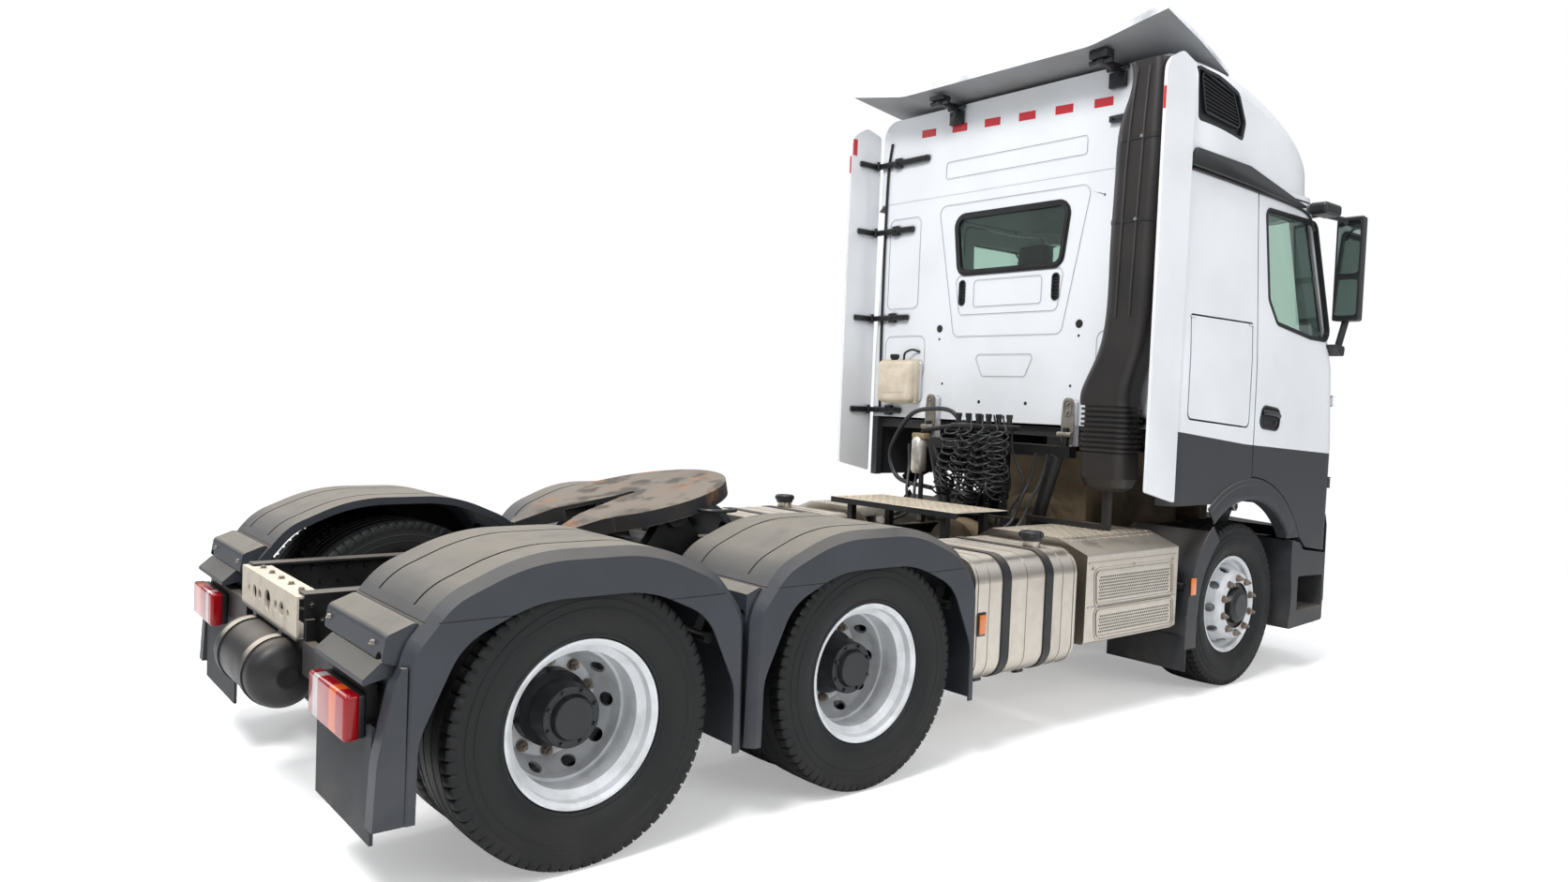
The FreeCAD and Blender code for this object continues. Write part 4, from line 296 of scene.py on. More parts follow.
@dataclass(frozen=True)
class CreaseGrimeAndShade:
    """Grime and painted shade that gather in grooves, corners and pressed lines, darker where the surface is enclosed.
    """

    colour: str = "#6E6C69"
    reach: float = 0.02
    strength: float = 0.7

    def lay(self, sketch: Sketch) -> None:
        """Add the layer.

        Args:
            sketch: Material in the making.
        """
        # The mask follows ambient occlusion, so the colour laid here is painted shade as well as grime.
        open_share = add_node(sketch.tree, "ShaderNodeAmbientOcclusion", {1: self.reach}, out=1, samples=8)
        mask = sketch.ramp(open_share, 0.92, 0.45)
        sketch.cover(sketch.both(mask, self.strength), self.colour)


@dataclass(frozen=True)
class Splashed:
    """Dry road dirt that thins out with height above the ground."""

    colour: str = "#8A8175"
    top: float = 1.0
    strength: float = 0.35

    def lay(self, sketch: Sketch) -> None:
        """Add the layer.

        Args:
            sketch: Material in the making.
        """
        low = sketch.ramp(sketch.along(2), self.top, self.top * 0.15)
        mask = sketch.both(low, sketch.patches(0.18, 0.3, 0.75))
        sketch.cover(sketch.both(mask, self.strength), self.colour, 0.9)


@dataclass(frozen=True)
class Rubbed:
    """Edges rubbed through to another colour."""

    colour: str
    reach: float = 0.004
    strength: float = 0.8
    roughness: float = 0.4
    metallic: float = 0.8

    def lay(self, sketch: Sketch) -> None:
        """Add the layer.

        Args:
            sketch: Material in the making.
        """
        soft = add_node(sketch.tree, "ShaderNodeBevel", {0: self.reach}, samples=4)
        sharp = add_node(sketch.tree, "ShaderNodeNewGeometry", out=1)
        agree = add_node(sketch.tree, "ShaderNodeVectorMath", {0: soft, 1: sharp}, out=1, operation="DOT_PRODUCT")
        mask = sketch.both(sketch.ramp(agree, 0.97, 0.8), sketch.patches(0.05, 0.35, 0.6))
        sketch.cover(sketch.both(mask, self.strength), self.colour, self.roughness, self.metallic)


@dataclass(frozen=True)
class Grain:
    """Fine relief all over, such as moulded texture or cast skin."""

    size: float
    depth: float

    def lay(self, sketch: Sketch) -> None:
        """Add the layer."""
        sketch.raise_by(sketch.patches(self.size, 0.3, 0.7), self.depth)


@dataclass(frozen=True)
class Brushed:
    """Fine parallel scratches across a rolled or brushed sheet."""

    stretch: Point
    spacing: float = 0.003
    depth: float = 0.00006
    colour: Optional[str] = None
    strength: float = 0.5

    def lay(self, sketch: Sketch) -> None:
        """Add the layer.

        Args:
            sketch: Material in the making.
        """
        lines = sketch.patches(self.spacing, 0.3, 0.7, self.stretch)
        sketch.raise_by(lines, self.depth)
        sketch.cover(sketch.both(lines, self.strength), self.colour, None, None)


@dataclass(frozen=True)
class Zone:
    """Another colour between two places along an axis."""

    colour: str
    axis: int
    low: float
    high: float
    roughness: Optional[float] = None
    metallic: Optional[float] = None
    either_side: bool = False
    edge: float = 0.0006

    def lay(self, sketch: Sketch) -> None:
        """Add the layer.

        Args:
            sketch: Material in the making.
        """
        place = sketch.along(self.axis)
        if self.either_side:
            place = add_node(sketch.tree, "ShaderNodeMath", {0: place}, operation="ABSOLUTE")
        above = sketch.ramp(place, self.low - self.edge, self.low + self.edge)
        below = sketch.ramp(place, self.high + self.edge, self.high - self.edge)
        sketch.cover(sketch.both(above, below), self.colour, self.roughness, self.metallic)


@dataclass(frozen=True)
class Below:
    """Another colour under a line that bends at given places in X and Z."""

    colour: str
    knots: tuple[Span, ...]
    roughness: float
    edge: float = 0.0008

    def lay(self, sketch: Sketch) -> None:
        """Add the layer.

        Args:
            sketch: Material in the making.
        """
        (first_x, first_z), *others = self.knots
        along = sketch.along(0)
        line: Socket | float = first_z
        slope_before = 0.0
        start_x = first_x
        start_z = first_z
        for x, z in others:
            slope = (z - start_z) / (x - start_x)
            past = add_node(sketch.tree, "ShaderNodeMath", {0: along, 1: start_x}, operation="SUBTRACT")
            past = add_node(sketch.tree, "ShaderNodeMath", {0: past, 1: 0.0}, operation="MAXIMUM")
            line = add_node(sketch.tree, "ShaderNodeMath", {0: past, 1: slope - slope_before, 2: line},
                            operation="MULTIPLY_ADD")
            slope_before = slope
            start_x = x
            start_z = z
        over = add_node(sketch.tree, "ShaderNodeMath", {0: sketch.along(2), 1: line}, operation="SUBTRACT")
        sketch.cover(sketch.ramp(over, self.edge, -self.edge), self.colour, self.roughness)


@dataclass(frozen=True)
class Round:
    """Another colour within a distance of a line along Y."""

    colour: str
    centre_x: float
    centre_z: float
    radius: float
    roughness: float = 0.5
    metallic: float = 0.0

    def lay(self, sketch: Sketch) -> None:
        """Add the layer.

        Args:
            sketch: Material in the making.
        """
        flat = add_node(sketch.tree, "ShaderNodeVectorMath", {0: sketch.place, 1: (1, 0, 1)}, operation="MULTIPLY")
        far = add_node(sketch.tree, "ShaderNodeVectorMath", {0: flat, 1: (self.centre_x, 0, self.centre_z)}, out=1,
                       operation="DISTANCE")
        mask = sketch.ramp(far, self.radius + 0.0005, self.radius - 0.0005)
        sketch.cover(mask, self.colour, self.roughness, self.metallic)


@dataclass(frozen=True)
class Finish:
    """A surface: its base colour and shine, the layers over it and fixed shader values."""

    name: str
    colour: str
    roughness: float
    metallic: float = 0.0
    layers: tuple = ()
    fixed: tuple[tuple[str, float], ...] = ()

    def material(self) -> bpy.types.Material:
        """Make the material once and give it back each time after."""
        made = bpy.data.materials.get(self.name)
        if made is not None:
            return made
        sketch = Sketch(self.name, self.colour, self.roughness, self.metallic)
        for layer in self.layers:
            layer.lay(sketch)
        inputs = dict(sketch.values)
        inputs.update(dict(self.fixed))
        if sketch.height is not None:
            inputs["Normal"] = add_node(sketch.tree, "ShaderNodeBump", {"Height": sketch.height, "Distance": 1.0})
        shader = add_node(sketch.tree, "ShaderNodeBsdfPrincipled", inputs)
        add_node(sketch.tree, "ShaderNodeOutputMaterial", {0: shader})
        return sketch.material


def cab_line() -> tuple[Span, ...]:
    """Line between white cab and dark cladding, in X and Z."""
    return tuple((spot(x, 0, z).x, z) for x, z in ((3.60, 1.576), (4.418, 1.504), (5.60, 1.445)))


# Two-pack lacquer over pressed steel: a deep even gloss with road film near the sills, and grime with painted shade in
# its pressed lines and corners
LACQUER = Finish("cab_lacquer", "#E6E9ED", 0.2, layers=(
    Patches("#D2D4D6", 0.7, 0.35, 0.75, 0.6, roughness=0.24), CreaseGrimeAndShade("#8A8E94", 0.030, 0.75),
    Splashed("#C9C3B8", 1.9, 0.18)),
    fixed=(("Coat Weight", 0.5), ("Coat Roughness", 0.04)))
# Reinforced plastic of the roof deflector: white paint laid on the faces that look up, and grey below, which is dust
# and painted shade
DEFLECTOR = Finish("painted_deflector_moulding", "#8E9093", 0.5, layers=(
    Patches("#7E7C78", 0.4, 0.4, 0.75, 0.6), Settled("#E3E6EA", 1.0, -0.25, 0.0)))
# The same lacquer above, laid a touch darker than on the rest of the cab as painted shade against the stronger light on
# the sides, and textured polypropylene cladding below the line, with grime and painted shade in its creases
CAB_SIDE = Finish("cab_side_lacquer_and_cladding", "#E3E6EA", 0.2, layers=(
    Patches("#D2D4D6", 0.7, 0.35, 0.75, 0.6, roughness=0.24), Below("#2B2D31", cab_line(), 0.55),
    CreaseGrimeAndShade("#4E5054", 0.020, 0.8), Splashed("#8D8679", 1.3, 0.15)))
# Moulded polypropylene: matt, finely grained, a little paler where the sun has bleached it
CLADDING = Finish("moulded_polypropylene", "#2B2D31", 0.55, layers=(
    Patches("#34363A", 0.35, 0.4, 0.75, 0.7), Grain(0.0022, 0.00012), Splashed("#7C766C", 0.9, 0.3),
    Settled("#9C958A", 0.35)))
# Fender plastic under a season of pale road dust, thickest on top, with grime and painted shade in its creases and
# corners
FENDER = Finish("dusty_fender_polypropylene", "#272B32", 0.5, layers=(
    Patches("#30343C", 0.3, 0.4, 0.75, 0.7), CreaseGrimeAndShade("#121316", 0.03, 0.7), Grain(0.0022, 0.00010),
    Settled("#6C6861", 0.9, 0.35, 1.0, 0.35), Settled("#878074", 0.5, 0.8, 1.0, 0.08), Splashed("#6E6A66", 0.8, 0.2)))
# Cathodic dip primer on rolled channel: satin black, dusty on its flanges
CHASSIS = Finish("satin_black_chassis_paint", "#0A0B0D", 0.42, layers=(
    Patches("#131416", 0.15, 0.4, 0.7, 0.8, roughness=0.6), Settled("#8F8577", 0.35, 0.6, 1.0, 0.2),
    Splashed("#5B5247", 0.9, 0.25), Grain(0.004, 0.00008)))
# Folded steel step and crossmember tops worn pale by boots and dust, with grime and painted shade in the corners
DUSTY_STEEL = Finish("dusty_black_steel_plate", "#1A1B1D", 0.5, layers=(
    Zone("#B5AC9E", 2, 0.735, 0.960, 0.8, edge=0.01), Patches("#6A645B", 0.10, 0.5, 0.75, 0.6),
    Settled("#CFC5B5", 0.8, 0.4, 0.9, 0.3), CreaseGrimeAndShade("#2A2724", 0.02, 0.6), Grain(0.003, 0.00008)))
# The same black steel under the raised deck, pale only on top
DECK_STEEL = Finish("black_deck_frame", "#151617", 0.5, layers=(
    Settled("#CFC5B5", 0.95, 0.4, 0.9, 0.3), Grain(0.003, 0.00008)))
# Sand-cast iron, painted dark, its working face greased, scoured and rusting in patches
COUPLING = Finish("scoured_cast_coupling", "#1C1D20", 0.5, 0.0, layers=(
    Grain(0.006, 0.00035),
    Settled("#7A7064", 0.9, 0.86, 0.96, 0.35),
    Patches("#2A2825", 0.16, 0.50, 0.62, 0.75), Patches("#8E6442", 0.22, 0.56, 0.72, 0.7),
    Rubbed("#A39C90", 0.006, 0.7, 0.35, 0.7),))
# Machine-brushed aluminium sheet, warm from dust and oxide, with grime and painted shade in its seams and corners
TANK = Finish("brushed_aluminium_tank", "#CFC8BD", 0.30, 1.0, layers=(
    Brushed((1, 60, 1), 0.06, 0.00003, "#B7AFA4", 0.35),
    Patches("#A39A8D", 0.35, 0.5, 0.8, 0.4, roughness=0.42), CreaseGrimeAndShade("#57514A", 0.02, 0.6),
    Settled("#C9BEAC", 0.35, 0.8, 1.0, 0.15), Splashed("#7E766A", 0.6, 0.25)))
# Wheel steel under silver stove enamel, with brake dust low in the dish
RIM_SILVER = "#D6D9DC"
# Natural and styrene rubber compound: near black, its skin greyed by dust
TYRE_RUBBER = Finish("tyre_rubber", "#0B0C0D", 0.55, layers=(
    Patches("#151617", 0.12, 0.35, 0.75, 0.8, roughness=0.7), Grain(0.004, 0.00010),
    Splashed("#3A3733", 0.30, 0.3)), fixed=(("Specular IOR Level", 0.35),))
# Reinforced rubber sheet of the mud flaps, matt and chalky
FLAP_RUBBER = Finish("mud_flap_rubber", "#24262A", 0.75, layers=(
    Patches("#303338", 0.2, 0.35, 0.7, 0.8), Grain(0.003, 0.0001), Splashed("#6F695F", 0.5, 0.35)))
# Tempered glass, 5 mm thick, with a mint green cast
GLASS = Finish("green_tinted_glass", "#CBDFD6", 0.02, fixed=(
    ("Transmission Weight", 1.0), ("IOR", 1.5)))
# Black polyamide duct, browned by heat and dust
DUCT = Finish("brown_black_duct", "#1B1918", 0.42, layers=(
    Patches("#262220", 0.3, 0.35, 0.7, 0.8), Grain(0.0022, 0.00012), Settled("#6B6156", 0.3)))
# Injection-moulded ABS of mirrors and trim, satin black
BLACK_ABS = Finish("satin_black_abs", "#17181A", 0.38, layers=(
    Patches("#202124", 0.2, 0.4, 0.7, 0.7), Grain(0.0018, 0.00006)))
# Soft-touch vinyl of the dashboard
DASH = Finish("dashboard_vinyl", "#2A2B2E", 0.6, layers=(
    Patches("#333437", 0.2, 0.4, 0.7, 0.6), Grain(0.0016, 0.0002)))
# Wool and polyester seat cloth with a fine rib
SEAT_CLOTH = Finish("ribbed_seat_cloth", "#33363B", 0.9, layers=(
    Brushed((1, 1, 40), 0.05, 0.0002, "#23262A", 0.5), Patches("#3F4247", 0.1, 0.3, 0.7, 0.5)),
    fixed=(("Sheen Weight", 0.3),))
# Cast aluminium and iron of gearbox and axle casings, filmed with beige dust
CASTING = Finish("dusty_cast_casing", "#8C7A60", 0.7, layers=(
    Patches("#4A4033", 0.25, 0.35, 0.7, 0.8), Grain(0.006, 0.0003), Splashed("#3B342B", 1.0, 0.4)))
# Zinc-plated and then rusted steel of nuts and bolts
RUSTY_STEEL = Finish("rusted_wheel_nut", "#8A8178", 0.5, 0.6, layers=(
    Patches("#6B5544", 0.012, 0.45, 0.75, 0.8, roughness=0.75, metallic=0.2), Patches("#B3A99C", 0.02, 0.6, 0.75, 0.6)))
ZINC = Finish("zinc_plated_steel", "#A9A79F", 0.35, 0.9, layers=(
    Patches("#7F7A70", 0.02, 0.4, 0.7, 0.8, roughness=0.6),))


@dataclass
class Shape:
    """One piece in the making, gathered part by part in the row frame."""

    name: str
    mesh: bmesh.types.BMesh = field(default_factory=bmesh.new)
    finishes: list[Finish] = field(default_factory=list)

    def take(self, part: bmesh.types.BMesh, finish: Finish) -> None:
        """Add a part, turned outwards, in one finish.

        Args:
            part: The part, which is used up.
            finish: Finish of the part.
        """
        if finish not in self.finishes:
            self.finishes.append(finish)
        index = self.finishes.index(finish)
        bmesh.ops.recalc_face_normals(part, faces=part.faces)
        for face in part.faces:
            face.material_index = index
        holder = bpy.data.meshes.new("part")
        part.to_mesh(holder)
        part.free()
        self.mesh.from_mesh(holder)
        bpy.data.meshes.remove(holder)

    def block(self, low: Vector, high: Vector, finish: Finish, edge: float = 0.0, steps: int = 2,
              turn: Optional[Matrix] = None) -> None:
        """Add a box with rounded edges.

        Args:
            low: Lowest corner.
            high: Highest corner.
            finish: Finish of the part.
            edge: Radius of its edges.
            steps: Facets of each rounded edge.
            turn: Rotation about the box's own centre.
        """
        part = bmesh.new()
        bmesh.ops.create_cube(part, size=1)
        bmesh.ops.scale(part, vec=high - low, verts=part.verts)
        if edge > 0:
            bmesh.ops.bevel(part, geom=part.edges[:], offset=edge, segments=steps, profile=0.5, affect="EDGES")
        if turn is not None:
            bmesh.ops.transform(part, matrix=turn, verts=part.verts)
        bmesh.ops.translate(part, vec=(low + high) / 2, verts=part.verts)
        self.take(part, finish)

    def rod(self, start: Vector, end: Vector, radius: float, finish: Finish, tip: Optional[float] = None,
            sides: int = 24) -> None:
        """Add a round bar or cone between two points.

        Args:
            start: Middle of one end.
            end: Middle of the other end.
            radius: Radius at the start.
            finish: Finish of the part.
            tip: Radius at the end, where it differs.
            sides: Number of facets round it.
        """
        part = bmesh.new()
        way = end - start
        bmesh.ops.create_cone(part, cap_ends=True, segments=sides, radius1=radius,
                              radius2=radius if tip is None else tip, depth=way.length)
        matrix = Matrix.Translation((start + end) / 2) @ way.to_track_quat("Z", "Y").to_matrix().to_4x4()
        bmesh.ops.transform(part, matrix=matrix, verts=part.verts)
        self.take(part, finish)

    def turned(self, profile: Corners, origin: Vector, axis: Vector, finish: Finish, steps: int = 48) -> None:
        """Add a solid of revolution.

        Args:
            profile: Pairs of distance along the axis and radius, from one end to the other.
            origin: Point on the axis that distances count from.
            axis: Direction of the axis.
            finish: Finish of the part.
            steps: Number of facets round it.
        """
        part = bmesh.new()
        turn = axis.to_track_quat("Z", "Y").to_matrix()
        rings = []
        for index in range(steps):
            angle = 2 * math.pi * index / steps
            rings.append([part.verts.new(origin + turn @ Vector((radius * math.cos(angle), radius * math.sin(angle),
                                                                  along))) for along, radius in profile])
        for index, ring in enumerate(rings):
            following = rings[(index + 1) % steps]
            for low in range(len(profile) - 1):
                part.faces.new((ring[low], following[low], following[low + 1], ring[low + 1]))
        bmesh.ops.remove_doubles(part, verts=part.verts, dist=1e-6)
        bmesh.ops.holes_fill(part, edges=[edge for edge in part.edges if edge.is_boundary])
        self.take(part, finish)

    def prism(self, outline: Sequence[Vector], push: Vector, finish: Finish, edge: float = 0.0) -> None:
        """Add a flat outline pushed along a direction, with its edges broken.

        Args:
            outline: Corners of the flat outline.
            push: Direction and thickness.
            finish: Finish of the part.
            edge: Radius of its edges.
        """
        part = bmesh.new()
        face = part.faces.new([part.verts.new(point) for point in outline])
        pushed = bmesh.ops.extrude_face_region(part, geom=[face])
        corners = [item for item in pushed["geom"] if isinstance(item, bmesh.types.BMVert)]
        bmesh.ops.translate(part, vec=push, verts=corners)
        if edge > 0:
            bmesh.ops.bevel(part, geom=part.edges[:], offset=edge, segments=2, profile=0.5, affect="EDGES")
        self.take(part, finish)

    def tube(self, route: Sequence[Vector], radius: float, finish: Finish, sides: int = 12) -> None:
        """Add a round bar along a smooth route through the given points.

        Args:
            route: Points that the bar passes.
            radius: Radius of the bar.
            finish: Finish of the part.
            sides: Number of facets round it.
        """
        points = smooth_route(route)
        part = bmesh.new()
        rings = []
        side = UP
        for index, point in enumerate(points):
            ahead = (points[min(index + 1, len(points) - 1)] - points[max(index - 1, 0)]).normalized()
            side = (side - ahead * side.dot(ahead))
            side = side.normalized() if side.length > 1e-4 else ahead.orthogonal().normalized()
            other = ahead.cross(side)
            rings.append([part.verts.new(point + radius * (side * math.cos(turn) + other * math.sin(turn)))
                          for turn in (2 * math.pi * step / sides for step in range(sides))])
        for ring, following in zip(rings, rings[1:]):
            for step in range(sides):
                after = (step + 1) % sides
                part.faces.new((ring[step], ring[after], following[after], following[step]))
        part.faces.new(rings[0])
        part.faces.new(rings[-1])
        self.take(part, finish)

    def slab(self, side: int, x: Span, y: Span, z: Span, finish: Finish, edge: float = 0.0, steps: int = 2) -> None:
        """Add a box between spans, with X counted from the rearmost axle.

        Args:
            side: 1 for the left, or -1 to mirror the span along Y to the right.
            x: Rear and front.
            y: Both sides, in any order.
            z: Bottom and top.
            finish: Finish of the part.
            edge: Radius of its edges.
            steps: Facets of each rounded edge.
        """
        low_y, high_y = sorted((side * y[0], side * y[1]))
        self.block(spot(x[0], low_y, z[0]), spot(x[1], high_y, z[1]), finish, edge, steps)

    def frame(self, outer: Sequence[Vector], inner: Sequence[Vector], push: Vector, finish: Finish) -> None:
        """Add a flat frame between two outlines, pushed along a direction.

        Args:
            outer: Points of the outer outline.
            inner: As many points of the inner outline.
            push: Direction and thickness of the frame.
            finish: Finish of the part.
        """
        part = bmesh.new()
        loops = [[part.verts.new(point + shift) for point in outline]
                 for outline, shift in ((outer, Vector()), (inner, Vector()), (inner, push), (outer, push))]
        for loop, following in zip(loops, loops[1:] + loops[:1]):
            for index in range(len(outer)):
                after = (index + 1) % len(outer)
                part.faces.new((loop[index], loop[after], following[after], following[index]))
        self.take(part, finish)

    def rim(self, outline: "Outline", place: Place, outer: float, inner: float, push: Vector,
            finish: Finish) -> None:
        """Add a frame that follows an outline.

        Args:
            outline: The outline that it follows.
            place: Function that sets the outline's points in space.
            outer: How far its outer edge lies outside the outline.
            inner: How far its inner edge does.
            push: Direction and thickness of the frame.
            finish: Finish of the part.
        """
        self.frame(outline.grown(outer).points(place), outline.grown(inner).points(place), push, finish)

    def object(self) -> bpy.types.Object:
        """Make the Blender object, smooth but for its sharp edges."""
        for face in self.mesh.faces:
            face.smooth = True
        for edge in self.mesh.edges:
            edge.smooth = not (len(edge.link_faces) == 2 and edge.calc_face_angle() > SMOOTH_ANGLE)
        data = bpy.data.meshes.new(self.name)
        self.mesh.to_mesh(data)
        self.mesh.free()
        for finish in self.finishes:
            data.materials.append(finish.material())
        made = placed(self.name, data)
        return made

    def piece(self, body: Body | str, slot: Slot, *replaced: str) -> bpy.types.Object:
        """Finish the piece and let it ride.

        Args:
            body: Body that it moves with.
            slot: Material slot of the record.
            *replaced: Nodes that it stands for.

        Returns:
            The finished object.
        """
        return settle(self.object(), body, slot, *replaced)


def settle(made: bpy.types.Object, body: Body | str, slot: Slot, *replaced: str) -> bpy.types.Object:
    """Let a finished object ride on its body, hide the nodes it stands for and report it.

    Args:
        made: The finished object.
        body: Body that it moves with.
        slot: Material slot of the record. Not used.
        *replaced: Nodes that it stands for.

    Returns:
        The same object.
    """
    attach(made, body.value if isinstance(body, Body) else body)
    if replaced:
        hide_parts(*replaced)
    LOG.info("%s: %d faces", made.name, len(made.data.polygons))
    return made


def smooth_route(route: Sequence[Vector], steps: int = 6) -> list[Vector]:
    """Points of a smooth line through a few given points.

    Args:
        route: Points that the line passes.
        steps: Number of points from one to the next.

    Returns:
        Points of the line.
    """
    if len(route) < 3:
        return list(route)
    ends = [route[0] * 2 - route[1], *route, route[-1] * 2 - route[-2]]
    points = []
    for before, start, end, after in zip(ends, ends[1:], ends[2:], ends[3:]):
        for step in range(steps):
            share = step / steps
            points.append(0.5 * (2 * start + (end - before) * share
                                 + (2 * before - 5 * start + 4 * end - after) * share ** 2
                                 + (3 * start - before - 3 * end + after) * share ** 3))
    return points + [route[-1]]


class Repeater:
    """Geometry nodes that set a small part at each given place, turned its own way."""

    def __init__(self) -> None:
        """Build the tree once."""
        self.tree = bpy.data.node_groups.new("part_at_each_place", "GeometryNodeTree")
        face = self.tree.interface
        face.new_socket("Places", in_out="INPUT", socket_type="NodeSocketGeometry")
        self.part = face.new_socket("Part", in_out="INPUT", socket_type="NodeSocketObject").identifier
        self.size = face.new_socket("Size", in_out="INPUT", socket_type="NodeSocketFloat").identifier
        self.finish = face.new_socket("Finish", in_out="INPUT", socket_type="NodeSocketMaterial").identifier
        face.new_socket("Parts", in_out="OUTPUT", socket_type="NodeSocketGeometry")
        given = add_node(self.tree, "NodeGroupInput").node
        part = add_node(self.tree, "GeometryNodeObjectInfo", {0: given.outputs["Part"]}, out=4)
        turn = add_node(self.tree, "GeometryNodeInputNamedAttribute", {0: "turn"}, data_type="QUATERNION")
        set_out = add_node(self.tree, "GeometryNodeInstanceOnPoints", {
            "Points": given.outputs["Places"], "Instance": part, "Rotation": turn, "Scale": given.outputs["Size"]})
        real = add_node(self.tree, "GeometryNodeRealizeInstances", {0: set_out})
        dressed = add_node(self.tree, "GeometryNodeSetMaterial", {0: real, "Material": given.outputs["Finish"]})
        add_node(self.tree, "NodeGroupOutput", {0: dressed})

    def spread(self, shape: Shape, places: Sequence[tuple[Vector, Quaternion]], finish: Finish) -> bpy.types.Object:
        """Set copies of a small part at all places.

        Args:
            shape: The part about the origin, with its face towards +Z.
            places: Where each copy goes and how it is turned.
            finish: Finish of the copies.

        Returns:
            One object with all copies, as a plain mesh.
        """
        pattern = shape.object()
        data = bpy.data.meshes.new(shape.name + "_places")
        data.from_pydata([place for place, _ in places], [], [])
        turns = data.attributes.new("turn", "QUATERNION", "POINT")
        turns.data.foreach_set("value", [value for _, turn in places for value in turn])
        made = placed(shape.name + "_set", data)
        modifier = made.modifiers.new("spread", "NODES")
        modifier.node_group = self.tree
        modifier[self.part] = pattern
        modifier[self.size] = 1.0
        modifier[self.finish] = finish.material()
        return plain(made, pattern)


def plain(made: bpy.types.Object, *helpers: bpy.types.Object) -> bpy.types.Object:
    """Turn what modifiers make of an object into its own mesh, and drop its helpers.

    Args:
        made: Object with live modifiers.
        *helpers: Objects that only the modifiers needed.

    Returns:
        The same object as a plain mesh.
    """
    ready = made.evaluated_get(bpy.context.evaluated_depsgraph_get())
    data = bpy.data.meshes.new_from_object(ready)
    made.modifiers.clear()
    made.data = data
    for name in ("turn",):
        if name in data.attributes:
            data.attributes.remove(data.attributes[name])
    for helper in helpers:
        bpy.data.objects.remove(helper)
    return made


def facing(direction: Vector, spin: float = 0.0) -> Quaternion:
    """Rotation that turns +Z to a direction, after a spin about it."""
    return direction.to_track_quat("Z", "Y") @ Quaternion((0, 0, 1), spin)


def hex_bolt(name: str, across: float, height: float, finish: Finish, washer: float = 1.5,
             stud: float = 0.0) -> Shape:
    """Small hexagon head on its washer, about the origin.

    Args:
        name: Name of the part.
        across: Width across flats.
        height: Height of the head.
        finish: Finish of the bolt.
        washer: Washer's width as a share of the head's.
        stud: Length of thread past the head.

    Returns:
        The bolt, with its head towards +Z.
    """
    shape = Shape(name)
    shape.turned([(0, 0), (0, across * washer / 2), (height * 0.18, across * washer / 2), (height * 0.22, 0)],
                 Vector(), UP, finish, 16)
    shape.rod(Vector((0, 0, height * 0.18)), Vector((0, 0, height * 0.85)), across * 0.577, finish, sides=6)
    shape.rod(Vector((0, 0, height * 0.85)), Vector((0, 0, height)), across * 0.52, finish, across * 0.42, 6)
    if stud > 0:
        shape.rod(Vector((0, 0, height * 0.9)), Vector((0, 0, height + stud)), across * 0.3, finish, across * 0.27, 12)
    return shape


